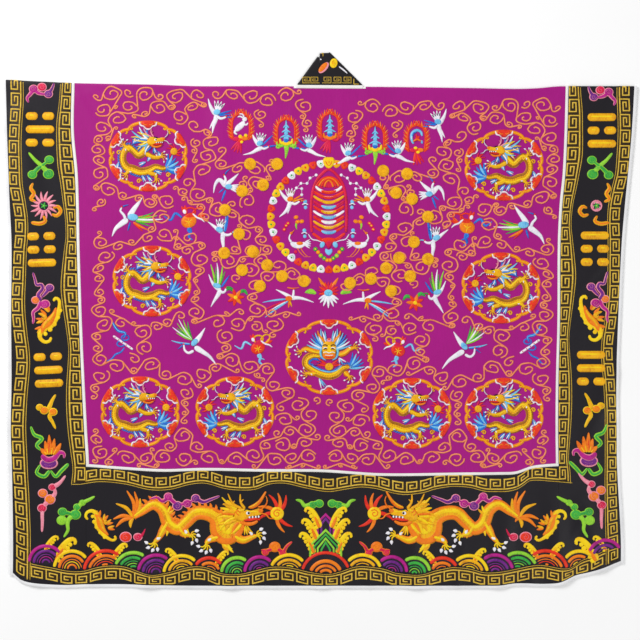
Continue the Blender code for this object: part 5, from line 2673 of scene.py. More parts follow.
@dataclass(frozen=True)
class Bird(Motif):
    """A white bird: feathers, wings, a fan with barred tips, a breast patch, and a neck with a crowned
    head.
    """

    wings: tuple[tuple[Point, ...], ...]
    neck: tuple[Point, ...]
    beak: tuple[Point, ...]
    feathers: tuple[Feather, ...]
    patch: Feather
    fan: tuple[float, ...] = ()
    bars: Thread = Thread.DARK
    bill: Thread = Thread.BLUE
    fan_reach: float = 30.0
    wing_width: float = 15.0
    room: Point = (34.0, 34.0)

    def draw(self, needle: Needle) -> None:
        """Draws feathers, wings, fan, patch, neck, crown and beak.

        Args:
            needle: the needle, at the place of what it draws.
        """
        for n, (thread, x, y, lean, reach, width, bend) in enumerate(self.feathers):
            needle.spray([thread], x, y, [lean], reach, width, 0.2 * n, bend)
        for n, wing in enumerate(self.wings):
            fade = np.linspace(1, 0, len(wing)) ** 0.7
            needle.stroke(Thread.WHITE, wing, 2 + (self.wing_width - 2) * fade, 1 + 0.3 * n, (0.6, 1.2))
        x, y, size = self.patch.x, self.patch.y, self.patch.width
        for lean in self.fan:
            needle.spray([Thread.WHITE], x, y, [lean], self.fan_reach, 7.6, 2)
            inner = math.radians(lean)
            bar = [(x + math.cos(inner) * self.fan_reach * share,
                    y + math.sin(inner) * self.fan_reach * share)
                   for share in (0.5, 0.66, 0.82)]
            needle.stroke(self.bars, bar, (3, 3.8, 2), 3.2, (0.6, 1))
        needle.oval(self.patch.thread, x, y, self.patch.reach, size, self.patch.lean, 3.8, 1.1)
        needle.stroke(Thread.WHITE, self.neck, np.linspace(9, 5, len(self.neck)), 2)
        head = self.neck[-1]
        needle.oval(Thread.RED, head[0] - 0.6, head[1] + 1.4, 5, 0, 0, 3.4, 0.9)
        needle.stroke(self.bill, self.beak, np.linspace(5, 1.8, len(self.beak)), 2.4, (0.5, 1.4))


FLYING_CRANE = Bird(
    (((2, 2), (-9, 13), (-17, 25), (-24, 42)), ((2, 4), (0, -12), (-3, -27), (-4, -45))),
    ((3, 0), (12, -5), (20, -3), (27, 1)), ((29, 0), (36, 1), (43, 2)),
    (Feather(Thread.BLUE, 6, 4, 24, 36, 6), Feather(Thread.BLUE, 8, 2, 12, 30, 5),
     Feather(Thread.WHITE, -1, -6, 248, 30, 7)),
    Feather(Thread.SKY, 2, 10, 20, 19, 15), (54, 72, 90, 108),
)
SIDEWAYS_CRANE = replace(
    FLYING_CRANE, wings=(((2, 2), (-7, 13), (-14, 24), (-18, 34)),
                         ((8, -2), (-6, -8), (-20, -16), (-44, -22))),
    feathers=(Feather(Thread.BLUE, 8, 4, 44, 44, 6), Feather(Thread.BLUE, 12, 0, 6, 42, 5)),
)
DIVING_CRANE = replace(
    FLYING_CRANE, wings=(((2, 4), (-12, 12), (-24, 22), (-40, 34)), ((2, 6), (0, -14), (2, -30), (2, -46))),
    neck=((4, 0), (12, -2), (20, 0), (24, 4)), beak=((24, 5), (32, 6), (41, 4)), bill=Thread.SKY,
    feathers=(Feather(Thread.BLUE, 6, 6, 80, 54, 9), Feather(Thread.SKY, 4, 8, 84, 40, 4)),
    patch=Feather(Thread.SKY, -8, 12, -20, 22, 15),
)
CLIMBING_CRANE = Bird(
    (((4, 4), (20, 18), (36, 34)), ((4, -2), (-14, 17), (-25, 6), (-30, -18))),
    ((-2, 4), (2, 18), (-2, 29)), ((0, 31), (6, 40), (14, 46)),
    (Feather(Thread.BLUE, -2, -6, 218, 18, 5), Feather(Thread.BLUE, 2, -10, 250, 32, 7)),
    Feather(Thread.SKY, 10, -1, 0, 20, 15), (-34, -18, -2, 12), Thread.WHITE, fan_reach=28,
)
GREEN_BIRD = Bird(
    (((4, 0), (-8, 8), (-18, 20), (-28, 42)), ((4, 2), (-4, -14), (-12, -26), (-22, -44))),
    ((2, -2), (10, -6), (16, -2), (17, 5)), ((18, 6), (24, 9), (32, 8)),
    (Feather(Thread.LIME, -10, 14, 97, 56, 7, 6), Feather(Thread.GREEN, -6, 14, 94, 46, 5),
     Feather(Thread.WHITE, -4, 14, 84, 58, 7, 8),
     Feather(Thread.LIME, 0, 14, 74, 52, 7, 6), Feather(Thread.GREEN, 2, 12, 70, 40, 4.4),
     Feather(Thread.BLUE, 6, 8, 56, 38, 7)),
    Feather(Thread.SKY, -6, 12, -16, 24, 14), bill=Thread.GREEN, room=(30.0, 56.0),
)
PLUMED_BIRD = Bird(
    (((4, 6), (18, 24), (32, 46)), ((4, -4), (24, -16), (44, -30), (62, -52))),
    ((2, -14), (-12, -20), (-22, -12), (-24, 2)), ((-27, 0), (-33, -5), (-40, -10)),
    tuple(Feather(thread, -2, 14, lean, reach, 6, -8) for thread, lean, reach in (
        (Thread.GREEN, 112, 50), (Thread.LIME, 122, 58), (Thread.WHITE, 131, 66), (Thread.LIME, 140, 60),
        (Thread.GREEN, 149, 52),
        (Thread.WHITE, 155, 62), (Thread.LIME, 164, 46),
    )) + (Feather(Thread.SKY, -8, 4, 180, 50, 6, -10), Feather(Thread.BLUE, -8, 2, 178, 36, 5, -10)),
    Feather(Thread.SKY, 4, 8, 50, 24, 15), wing_width=17, room=(60.0, 52.0),
)
ORANGE_CRANE = replace(
    FLYING_CRANE, wings=(((2, 2), (-9, 13), (-17, 25), (-24, 42)),
                         ((2, 4), (-6, -12), (-18, -24), (-34, -34))),
    feathers=(Feather(Thread.ORANGE, 6, 4, 24, 36, 6), Feather(Thread.GOLD, 8, 2, 10, 30, 5),
              Feather(Thread.WHITE, -1, -6, 248, 24, 7)),
    patch=Feather(Thread.ORANGE, 2, 10, 20, 19, 14), bars=Thread.BRONZE, bill=Thread.ORANGE,
)
RIBBON_CRANE = Bird(
    (((0, 2), (-20, 14), (-42, 25)), ((-4, 2), (14, 3), (32, 0), (58, -9))),
    ((2, 0), (4, 12), (5, 25)), ((-12, 30), (2, 28), (20, 30)),
    (Feather(Thread.SKY, -12, 0, 184, 66, 6, 4), Feather(Thread.ROSE, -12, -4, 199, 74, 7, 4),
     Feather(Thread.WHITE, -10, -4, 206, 62, 4, 4), Feather(Thread.SKY, -10, -6, 211, 74, 6, 4),
     Feather(Thread.ORANGE, -6, -4, 262, 20, 7), Feather(Thread.GOLD, -6, -4, 290, 18, 6)),
    Feather(Thread.ORANGE, -8, 1, 0, 20, 15), bill=Thread.ORANGE, wing_width=13, room=(62.0, 30.0),
)
PHOENIX = Bird(
    (((2, 4), (14, 24), (26, 40), (38, 57)), ((0, 0), (-20, -14), (-33, -26), (-42, -46))),
    ((-6, -2), (-11, 11), (-20, 22), (-16, 31)), ((-14, 33), (-6, 36), (2, 38)),
    (Feather(Thread.ORANGE, 20, 4, 8, 40, 7), Feather(Thread.GREEN, 24, 4, 6, 46, 6, 12),
     Feather(Thread.LIME, 24, 2, 0, 54, 6, 8),
     Feather(Thread.WHITE, 20, 0, -6, 72, 7, 6), Feather(Thread.LIME, 20, -4, -12, 50, 7, 8),
     Feather(Thread.GREEN, 20, -6, -18, 42, 5),
     Feather(Thread.ORANGE, 14, -8, -34, 44, 8, 6), Feather(Thread.RED, 14, -10, -42, 34, 6),
     Feather(Thread.BLUE, 6, -8, -106, 24, 6)),
    Feather(Thread.SKY, 13, 5, -6, 30, 19), wing_width=18, room=(58.0, 46.0),
)
@dataclass(frozen=True)
class LotusBloom(Motif):
    """The open lotus below the centre ring: orange leaves and rose petals up, white petals down, lime
    leaves beside.
    """

    def draw(self, needle: Needle) -> None:
        """Draws leaves, petals and heart.

        Args:
            needle: the needle, at the place of what it draws.
        """
        for sign in (-1, 1):
            needle.stroke(Thread.LIME, [(sign * 32, -2), (sign * 46, 4), (sign * 62, 1)], (6, 15, 4), 0,
                          (0.6, 1.4))
            needle.stroke(Thread.GREEN, [(sign * 36, -2), (sign * 50, 1)], (3, 3), 1.6, (0.6, 1.4))
        for sign in (-1, 1):
            needle.spray([Thread.ORANGE], 0, 0, [90 - sign * 33], 48, 12, 0.6)
        for n, lean in enumerate((-8, 14, 34, 52, 72, 90, 108, 128, 146, 166, 188)):
            needle.spray([Thread.ROSE if n % 2 else Thread.RED], 0, 0, [lean], 30 - 4 * (n in (0, 10)), 9,
                         1 + 0.1 * n)
        for n, lean in enumerate((-150, -30, -132, -48, -112, -68, -90)):
            needle.spray([Thread.WHITE], 0, -2, [lean], 30 + 1.4 * n, 9, 2 + 0.1 * n)
        needle.oval(Thread.SKY, 0, 0, 24, 19, 0, 4, 1.6)
        needle.spray([Thread.BLUE], 0, 0, (30, 150, 270), 7, 3, 7)


@dataclass(frozen=True)
class RibbonTie(Motif):
    """Two loose ends of ribbon that wave away to the left and below."""

    thread: Thread = Thread.BLUE
    light: Thread = Thread.SKY
    reach: float = 30.0

    def draw(self, needle: Needle) -> None:
        """Draws both ends.

        Args:
            needle: the needle, at the place of what it draws.
        """
        far = self.reach
        for mirror, turn in ((False, 0), (True, -78)):
            end = needle.at(0, 0, turn, 1, mirror)
            route = [(-4, 0), (-0.4 * far, 0.26 * far), (-0.68 * far, -0.04 * far), (-far, 0.22 * far)]
            end.stroke(self.thread, route, (4, 6.4, 5.4, 2.4), 0, (0.5, 1))
            end.stroke(self.light, route, (1.6, 2.4, 2, 1), 1.2, (0.5, 1))


@dataclass(frozen=True)
class Gourd(Motif):
    """A gourd or a pouch, with rings on top, a white band and ribbons."""

    ball: Thread = Thread.ORANGE
    loop: Thread = Thread.RED
    cap: Thread = Thread.RED
    ribbon: Thread = Thread.BLUE
    light: Thread = Thread.SKY

    def draw(self, needle: Needle) -> None:
        """Draws ribbons, loops, flame, ball and band.

        Args:
            needle: the needle, at the place of what it draws.
        """
        RibbonTie(self.ribbon, self.light, 42).draw(needle.at(-10, 2, 8))
        needle.stroke(self.ribbon, [(2, -18), (4, -28), (0, -38), (8, -46)], (6, 7, 6, 3), 0, (0.5, 1))
        needle.spray((Thread.RED, self.cap), -6, 8, (96, 118), 20, 9, 0.4)
        needle.spray((Thread.RED, Thread.ORANGE), 20, 2, (20, 50), 16, 8, 0.4)
        needle.stroke(self.loop, oval_route(22, 17) + (3, 14), 4.4, 1, closed=True)
        needle.stroke(self.loop, oval_route(24, 16) @ np.array([[0.8, 0.6], [-0.6, 0.8]]) + (19, 13), 4.2, 1,
                      closed=True)
        needle.oval(self.ball, 0, -6, 34, 29, 20, 1.2, 1.8)
        needle.oval(self.cap, 2, 5, 22, 13, 20, 2.4, 1.2)
        needle.oval(Thread.WHITE, -9, 14, 8, 11, 20, 2.6, 1)
        needle.stroke(Thread.WHITE, [(8, 10), (17, 2), (27, -2), (33, -8)], (5, 5, 4.4, 2), 2.8, (0.5, 1))
        needle.spray((Thread.YELLOW, Thread.GOLD), 0, -8, (40, 100, 160, 220, 280, 340), 10, 3, 3.8)


@dataclass(frozen=True)
class Bloom(Motif):
    """A blossom from the side, with leaves."""

    petals: tuple[Thread, ...] = (Thread.RED, Thread.ORANGE)
    leaf: Thread = Thread.GREEN
    heart: Thread = Thread.YELLOW
    count: int = 7
    size: float = 18.0

    def draw(self, needle: Needle) -> None:
        """Draws leaves, petals and heart.

        Args:
            needle: the needle, at the place of what it draws.
        """
        for sign in (-1, 1):
            needle.stroke(self.leaf, [(0, -0.4 * self.size), (sign * 0.8 * self.size, -0.9 * self.size),
                                      (sign * 1.3 * self.size, -0.5 * self.size)], (4, 8, 2.4), 0, (0.5, 1.4))
        for n in range(self.count):
            lean = 360 * n / self.count + 90
            needle.spray([self.petals[n % len(self.petals)]], 0, 0, [lean], self.size, 0.5 * self.size,
                         1 + 0.12 * n)
        needle.oval(self.heart, 0, 0, 0.5 * self.size, 0, 0, 2.6, 1.4)


@dataclass(frozen=True)
class Flute(Motif):
    """A bamboo flute tied with a long blue ribbon."""

    def draw(self, needle: Needle) -> None:
        """Draws the ribbon's ends and loops, the tube and its joints.

        Args:
            needle: the needle, at the place of what it draws.
        """
        for route, widths in ((((2, 12), (6, 26), (-12, 32), (-22, 44), (-30, 60)), (4, 7, 9, 8, 3)),
                              (((4, -12), (-6, -24), (-20, -30), (-30, -42), (-44, -48)), (4, 6, 6, 5, 3))):
            needle.stroke(Thread.BLUE, route, widths, 0, (0.5, 1))
            needle.stroke(Thread.SKY, route, np.array(widths) * 0.42, 1.2, (0.5, 1))
        for x, y in ((6, 14), (-6, -2)):
            needle.stroke(Thread.BLUE, oval_route(20, 14, 12) + (x, y), 4.4, 0.4, closed=True)
        needle.stroke(Thread.WHITE, [(-26, 19), (0, 1), (26, -17)], 7, 1.6)
        for share in (-0.8, -0.42, -0.04, 0.34, 0.72):
            needle.oval(Thread.ROSE, 26 * share, 1 - 18 * share, 4, 0, 0, 3, 0.8)


class CloudHead(NamedTuple):
    """One curled head of a cloud."""

    x: float
    y: float
    size: float
    fill: Thread


@dataclass(frozen=True)
class RuyiCloud(Motif):
    """A lucky cloud: curled heads joined by wavy stems that trail off, all with a lighter rim."""

    edge: Thread
    heads: tuple[CloudHead, ...]
    stems: tuple[tuple[Thread, tuple[Point, ...]], ...]
    thick: float = 15.0
    rim: float = 3.8

    def draw(self, needle: Needle) -> None:
        """Draws stems, heads and their curls.

        Args:
            needle: the needle, at the place of what it draws.
        """
        for fill, route in self.stems:
            widths = self.thick * np.linspace(1, 0.46, len(route))
            needle.stroke(self.edge, route, widths, 0, (0.5, 1.2))
            needle.stroke(fill, route, widths - self.rim * np.linspace(1, 0.7, len(route)), 1, (0.5, 1.2))
        for n, (x, y, size, fill) in enumerate(self.heads):
            needle.oval(self.edge, x, y, 1.06 * size, 0.96 * size, 0, 0.8, 1.0)
            needle.oval(fill, x, y, 1.06 * size - self.rim, 0.96 * size - self.rim, 0, 1.8, 1.1)
            needle.curl(self.edge, x, y, 0.28 * size, 1.3, 90 * n, 2.6, 4, bool(n % 2))


@dataclass(frozen=True)
class Bat(Motif):
    """A swooping bat, for luck: a scalloped yellow back from one hooked wing to the other, its ears to the
    left.
    """

    def draw(self, needle: Needle) -> None:
        """Draws ears and feet, both wings, the body and its folds.

        Args:
            needle: the needle, at the place of what it draws.
        """
        for x, y, lean in ((-4, 12, 150), (-10, 0, 186), (4, 22, 124), (-13, -18, 212)):
            needle.spray((Thread.ORANGE, Thread.GOLD), x, y, (lean - 18, lean + 14), 22, 10, 0.4)
        needle.stroke(Thread.YELLOW, [(15, 50), (20, 58), (29, 54), (31, 40), (27, 18), (14, -6), (-2, -24)],
                      (8, 9, 9, 10, 15, 18, 18), 0.8)
        needle.stroke(Thread.YELLOW, [(-2, -20), (-18, -30), (-20, -46), (-8, -57), (5, -54), (9, -44)],
                      (18, 16, 12, 10, 9, 8), 0.9)
        for x, y, size in ((33, 26, 12), (26, 8, 14), (17, -10, 14), (6, -24, 14), (-6, -36, 12)):
            needle.oval(Thread.YELLOW, x, y, size, 0, 0, 0.7, 1.3)
        needle.stroke(Thread.ORANGE, [(22, 34), (16, 14), (4, -4), (-10, -18), (-16, -34)],
                      (5, 15, 24, 18, 5), 1.8, (1, 1))
        needle.stroke(Thread.GOLD, [(18, 22), (8, 6), (-6, -8), (-13, -22)], (5, 10, 10, 5), 3.2, (1, 1))
        needle.oval(Thread.GOLD, -9, 7, 17, 14, 40, 2.6, 1.5)
        needle.oval(Thread.DARK, -13, 8, 3, 0, 0, 5, 0.7)


@dataclass(frozen=True)
class Sunflower(Motif):
    """A many-petalled daisy with a green heart, on orange ribbons."""

    petals: int = 14

    def draw(self, needle: Needle) -> None:
        """Draws ribbons, petals and heart.

        Args:
            needle: the needle, at the place of what it draws.
        """
        for route in (((-28, 60), (-34, 46), (-26, 32), (-34, 18), (-20, 10)),
                      ((24, -6), (36, -2), (44, -14), (34, -26), (20, -22)),
                      ((-2, -26), (4, -40), (-10, -47), (-34, -44))):
            needle.stroke(Thread.GOLD, route, (6, 11, 12, 11, 7)[: len(route)], 0, (0.6, 0.8))
            needle.stroke(Thread.ORANGE, route, (3, 6.5, 7, 6.5, 4)[: len(route)], 1.2, (0.6, 0.8))
        petal = Needle("petal", base=0)
        petal.stroke(Thread.PINK, [(0, 2), (1, -10), (-1, -23)], (8, 7.4, 2), 0, (0.5, 1.4))
        STITCH_ROW.lay(needle, petal, oval_route(27, 27, 28), self.petals, True, sizes=(0.86, 1.14), level=1)
        needle.oval(Thread.DARK, 0, 0, 26, 0, 0, 2, 0.8)
        needle.stroke(Thread.PINK, oval_route(27, 27, 16), 4.6, 3, closed=True)
        needle.stroke(Thread.VIOLET, oval_route(23, 23, 16), 1.8, 3, closed=True)
        needle.spray([Thread.GREEN], 0, 0, range(0, 360, 72), 10, 6, 3.4)
        needle.oval(Thread.LIME, 0, 0, 5, 0, 0, 5, 1)


@dataclass(frozen=True)
class LotusTie(Motif):
    """A lotus in orange, magenta and violet, tied with green ribbons."""

    def draw(self, needle: Needle) -> None:
        """Draws ribbons, seed cup, side petals and the crown of petals.

        Args:
            needle: the needle, at the place of what it draws.
        """
        for route in (((-48, 66), (-38, 44), (-18, 34), (-32, 16), (-18, 2)),
                      ((-22, -34), (-32, -56), (-12, -66), (2, -50)),
                      ((4, -50), (18, -66), (32, -52), (52, -32))):
            needle.stroke(Thread.LIME, route, (6, 11, 12, 11, 7)[: len(route)], 0, (0.7, 0.8))
            needle.stroke(Thread.GREEN, route, (3, 7, 8, 7, 4)[: len(route)], 1.2, (0.7, 0.8))
        needle.oval(Thread.PINK, 0, -31, 50, 33, 0, 1, 1.0)
        needle.oval(Thread.VIOLET, 0, -31, 44, 27, 0, 2, 1.1)
        for n in range(4):
            y = -22 - 6 * n
            needle.stroke(Thread.PINK, [(-16 + 2 * n, y), (0, y - 3), (16 - 2 * n, y)], 1.8, 4.2)
        needle.stroke(Thread.PINK, [(-20, -10), (-4, -22), (14, -18), (28, -3), (40, -6), (40, -18)],
                      (14, 18, 17, 14, 10, 6), 3)
        needle.stroke(Thread.MAGENTA, [(-20, -10), (-4, -22), (14, -18), (28, -3), (40, -6), (40, -18)],
                      (11, 15, 14, 11, 7, 3.4), 4)
        for n, (x, y) in enumerate(((-22, 8), (32, 22), (-10, 28), (15, 34), (1, 44))):
            base = (0.3 * x + 2, -8)
            needle.stroke(Thread.ORANGE, [base, (0.7 * x + 1, 0.45 * y - 3), (x, y)], (14, 14, 4),
                          5 + 0.3 * n, (0.5, 1))
            needle.stroke(Thread.YELLOW, [base, (0.6 * x + 1, 0.4 * y - 3)], (5, 3), 7.6, (0.5, 1))
        needle.stroke(Thread.RED, [(1, -6), (1, 10), (1, 26)], (4, 5, 2), 8.6, (1, 1))


@dataclass(frozen=True)
class Trigram(Motif):
    """Three bars, each whole or broken, in padded gold, the first of them on top."""

    bars: tuple[bool, bool, bool]
    wide: float = 75.0
    thick: float = 22.0
    pitch: float = 35.0
    gap: float = 11.0

    def draw(self, needle: Needle) -> None:
        """Draws the bars, each with a lighter ridge.

        Args:
            needle: the needle, at the place of what it draws.
        """
        for n, whole in enumerate(self.bars):
            y = (1 - n) * self.pitch
            reach = self.wide / 2
            spans = [(-reach, reach)] if whole else [(-reach, -self.gap / 2), (self.gap / 2, reach)]
            for low, high in spans:
                ends = [(low, y), ((low + high) / 2, y), (high, y)]
                needle.stroke(Thread.GOLD, ends, self.thick, 0, (0.42, 0.42), height=2.6)
                inset = self.thick * 0.42
                inner = [(low + inset, y + 2), ((low + high) / 2, y + 2), (high - inset, y + 2)]
                needle.stroke(Thread.YELLOW, inner, self.thick * 0.34, 4.4, (0.9, 0.9), height=0.7)


@dataclass(frozen=True)
class Bead(Motif):
    """A blossom bead of the centre ring: a rounded heart shape, its point to the right of the row."""

    petal: Thread
    core: Thread
    dot: Thread
    size: float = 23.0

    def draw(self, needle: Needle) -> None:
        """Draws petals, core and dot.

        Args:
            needle: the needle, at the place of what it draws.
        """
        s = self.size / 2
        outline = [(0.0, 0.92 * s), (-0.72 * s, 0.86 * s), (-0.98 * s, 0.2 * s), (-0.6 * s, -0.58 * s),
                   (0.0, -0.95 * s),
                   (0.6 * s, -0.58 * s), (0.98 * s, 0.2 * s), (0.72 * s, 0.86 * s)]
        needle.pad(self.petal, outline, 0, 1.6)
        needle.stroke(self.core, [(-0.5 * s, 0.3 * s), (-0.3 * s, -0.2 * s), (0, -0.42 * s),
                                  (0.3 * s, -0.2 * s),
                                  (0.5 * s, 0.3 * s)], 0.24 * s, 3)
        needle.oval(self.dot, 0, 0.12 * s, 0.5 * s, 0, 0, 3, 0.9)


@dataclass(frozen=True)
class BeadRing(Motif):
    """The ring of blossom beads at the back's centre."""

    wide: float = 304.0
    high: float = 278.0
    count: int = 44

    def draw(self, needle: Needle) -> None:
        """Lays four kinds of bead in turn, and the big one on top.

        Args:
            needle: the needle, at the place of what it draws.
        """
        kinds = (
            Bead(Thread.YELLOW, Thread.ORANGE, Thread.GREEN),
            Bead(Thread.WHITE, Thread.GREEN, Thread.GREEN),
            Bead(Thread.RED, Thread.ORANGE, Thread.ROSE),
            Bead(Thread.GOLD, Thread.YELLOW, Thread.RED),
        )
        route = oval_route(self.wide, self.high, 72)
        route = np.roll(route, -18, 0)
        for first, kind in enumerate(kinds):
            part = Needle("bead", base=0)
            kind.draw(part.at(0, 0, 180))
            STITCH_ROW.lay(needle, part, route, self.count, True, 4, first)
        Bead(Thread.YELLOW, Thread.ORANGE, Thread.GOLD, 33).draw(needle.at(0, self.high / 2 + 2, level=3))


@dataclass(frozen=True)
class TempleTower(Motif):
    """The tower at the back's centre: an arch round tiers of bands."""

    half: float = 47.0
    top: float = 100.0
    foot: float = -66.0
    tier_pitch: float = 13.2

    def draw(self, needle: Needle) -> None:
        """Draws fan, tiers, arch and the drops below.

        Args:
            needle: the needle, at the place of what it draws.
        """
        needle.oval(Thread.ROSE, 0, 62, 44, 22, 0, 0.2, 1)
        for n, (thread, reach) in enumerate(((Thread.RED, 34), (Thread.ORANGE, 27), (Thread.RED, 20),
                                             (Thread.ORANGE, 12))):
            needle.stroke(thread, [(-reach, 56 - n), (-0.6 * reach, 62 + reach * 0.32),
                                   (0, 66 + reach * 0.42),
                                   (0.6 * reach, 62 + reach * 0.32), (reach, 56 - n)], 6, 0.8 + n)
        wings = (Thread.WHITE, Thread.RED, Thread.GOLD, Thread.ROSE, Thread.RED, Thread.WHITE, Thread.RED,
                 Thread.GOLD,
                 Thread.RED)
        blocks = (Thread.RED, Thread.RED, Thread.GOLD, Thread.SKY, Thread.GOLD, Thread.SKY, Thread.WHITE,
                  Thread.GOLD, Thread.SKY)
        for n, (wing, block) in enumerate(zip(wings, blocks)):
            y = 46 - n * self.tier_pitch
            reach = self.half - 6 if n else self.half - 11
            for sign in (-1, 1):
                needle.stroke(Thread.ROSE, [(sign * 14, y + 4), (sign * 26, y + 9), (sign * reach, y + 19)],
                              (4, 4, 3), 0.4)
                needle.stroke(wing, [(sign * 12, y - 5), (sign * 26, y + 1), (sign * reach, y + 11)],
                              (8, 8, 6.4), 0.5,
                              (0.5, 0.8))
            needle.stroke(block, [(-20, y - 2), (-10, y - 6), (0, y - 7), (10, y - 6), (20, y - 2)],
                          (6, 9.5, 10.4, 9.5, 6), 1.6, (0.6, 0.6))
            needle.stroke((Thread.YELLOW, Thread.WHITE, Thread.ORANGE)[n % 3],
                          [(-13, y - 3.4), (0, y - 5), (13, y - 3.4)], 2.4, 3.4, (0.8, 0.8))
        arch = [(-self.half + 2, self.foot), (-self.half, -20), (-self.half + 2, 24), (-self.half + 10, 60),
                (-22, 84),
                (0, self.top), (22, 84), (self.half - 10, 60), (self.half - 2, 24), (self.half, -20),
                (self.half - 2, self.foot)]
        needle.stroke(Thread.ROSE, arch, 8.6, 2)
        needle.stroke(Thread.RED, arch, 3, 3.4)
        needle.stroke(Thread.ROSE, [(0, self.top - 2), (0, self.top + 14)], (6, 3), 2, (0.5, 1))
        for thread, wide, low in ((Thread.RED, 9, 0), (Thread.ROSE, 6, -12)):
            route = [(-self.half + 4, self.foot - 2), (-20, -84 + low * 0.4), (0, -90 + low * 0.2),
                     (20, -84 + low * 0.4), (self.half - 4, self.foot - 2)]
            needle.stroke(thread, route, wide, 1.4)
        needle.stroke(Thread.ROSE, [(0, -84), (0, -96), (0, -108)], (26, 18, 6), 2, (0.4, 1), height=1.8)
        needle.oval(Thread.RED, 0, -86, 44, 14, 0, 3, 1.3)
        for sign in (-1, 1):
            needle.stroke(Thread.WHITE, [(sign * 54, -70), (sign * 44, -84), (sign * 30, -87),
                                         (sign * 17, -92)],
                          (3, 3.6, 3.6, 3), 2.4, (1.4, 0.5))
            needle.oval(Thread.SKY, sign * 17, -98, 13, 19, sign * 24, 2.4, 1.5)
            needle.stroke(Thread.WHITE, oval_route(6, 10, 10) + (sign * 17, -98), 1.8, 4.6, closed=True)
        needle.pad(Thread.SKY, [(0, -127), (-10, -117), (-8, -108), (0, -112), (8, -108), (10, -117)], 1, 1.6)
        for sign in (-1, 1):
            for n, (x, y) in enumerate(((35, -110), (28, -118), (21, -127), (12, -134), (4, -139))):
                needle.oval((Thread.GREEN, Thread.ORANGE, Thread.LIME)[n % 3], sign * x, y, 12, 0, 0, 1, 1.3)
                needle.oval(Thread.YELLOW, sign * x, y, 5, 0, 0, 3, 0.8)


@dataclass(frozen=True)
class StarChain(Motif):
    """Seven stars joined by a line."""

    stars: tuple[Point, ...] = ((-38, -24), (-38, -8), (-52, -6), (-40, 6), (-24, 6), (-16, 20), (0, 28))

    def draw(self, needle: Needle) -> None:
        """Draws the line, then the stars."""
        needle.stroke(Thread.WHITE, self.stars, 1.6, 0, cornered=True)
        for x, y in self.stars:
            needle.oval(Thread.WHITE, x, y, 8.4, 0, 0, 1, 1.4)


@dataclass(frozen=True)
class CentreSide(Motif):
    """What stands on the left of the tower: stars, two cranes, a trefoil, blossoms and knots."""

    def draw(self, needle: Needle) -> None:
        """Draws each figure.

        Args:
            needle: the needle, at the place of what it draws.
        """
        StarChain().draw(needle.at(-33, 57))
        ORANGE_CRANE.draw(needle.at(-102, 12, 8, 0.98))
        for x, y in ((-62, 8), (-64, -68)):
            needle.oval(Thread.SKY, x, y + 7, 11, 12, 0, 0, 1.3)
            needle.oval(Thread.SKY, x + 1, y - 8, 10, 11, 0, 0, 1.3)
            needle.stroke(Thread.WHITE, [(x - 8, y - 1), (x, y + 2), (x + 8, y - 1)], (3, 4, 3), 1.2)
            needle.oval(Thread.DARK, x, y - 1.5, 4, 0, 0, 2.4, 0.6)
        for x, y in ((-86, -26), (-82, -38), (-71, -37)):
            needle.oval(Thread.ORANGE, x, y, 14, 11, 20, 0.6, 1.4)
            needle.oval(Thread.GOLD, x, y, 6, 5, 20, 2.4, 0.8)
        needle.stroke(Thread.LIME, [(-84, -38), (-86, -48), (-84, -58)], (7, 6, 2), 0, (0.5, 1.4))
        for x, y in ((-112, -48), (-107, -42), (-117, -58)):
            needle.oval(Thread.ROSE, x, y, 12, 0, 0, 0.2, 1.2)
            needle.oval(Thread.YELLOW, x, y, 6, 4, 30, 1.8, 0.9)
        standing = needle.at(-84, -96)
        for x in (0, 9):
            standing.stroke(Thread.ORANGE, [(x, -8), (x + 8, -22), (x + 20, -34)], (3.4, 3, 2), 0)
            standing.stroke(Thread.ORANGE, [(x + 20, -34), (x + 29, -34)], (3, 1.4), 0, (0.5, 1.4))
        standing.stroke(Thread.WHITE, [(-16, 4), (-8, -2), (8, -4), (24, 2)], (8, 15, 17, 8), 1)
        standing.spray([Thread.WHITE], 16, 0, (-32, -16, 0, 16, 32), 22, 5, 1.4, 0, 6)
        standing.oval(Thread.ORANGE, 8, 1, 20, 10, 0, 2.6, 1)
        standing.stroke(Thread.WHITE, [(-14, 4), (-20, 14), (-17, 26)], (8, 5, 4), 2)
        standing.oval(Thread.ORANGE, -15, 28, 8, 0, 0, 3, 1.2)
        standing.stroke(Thread.ORANGE, [(-13, 29), (-6, 37)], (4, 1.5), 3, (0.5, 1.4))
        standing.oval(Thread.DARK, -15, 28, 2.4, 0, 0, 5, 0.7)
        standing.oval(Thread.ROSE, -3, -21, 10, 0, 0, 1, 1.2)


class Wave(NamedTuple):
    """One wave of the sea: its middle, its top, its radius, its silks, and how far to the front it is."""

    x: float
    top: float
    radius: float
    outer: Thread
    inner: Thread
    front: int = 0
    level: float = 4.0
    bands: tuple[tuple[float, float, bool], ...] = (
        (5.2, 10.4, True), (18, 9.4, False), (26.8, 3.6, False), (33, 3.6, True), (40.5, 7.0, False),
        (51, 7.0, True),
    )


@dataclass(frozen=True)
class Foam(Motif):
    """A crest of yellow foam that leans to the left from its root, hooked over at its head."""

    size: float = 1.0

    def draw(self, needle: Needle) -> None:
        """Draws the crest's root, its hook and its scallops.

        Args:
            needle: the needle, at the place of what it draws.
        """
        crest = needle.at(0, 0, 0, self.size)
        crest.stroke(Thread.YELLOW, [(24, -30), (15, -13), (6, 0), (-4, 9), (-12, 10), (-15, 4), (-12, 0)],
                     (16, 14, 12, 10, 8, 7, 6), 1)
        for x, y, size in ((-5, 0, 9), (0, -7, 10), (6, -14, 10), (11, -22, 10), (16, -30, 10)):
            crest.oval(Thread.YELLOW, x, y, size, 0, 0, 1.2, 1.2)
        crest.stroke(Thread.ORANGE, [(22, -30), (15, -18), (8, -7)], (9, 8, 4), 3.2, (0.5, 1))


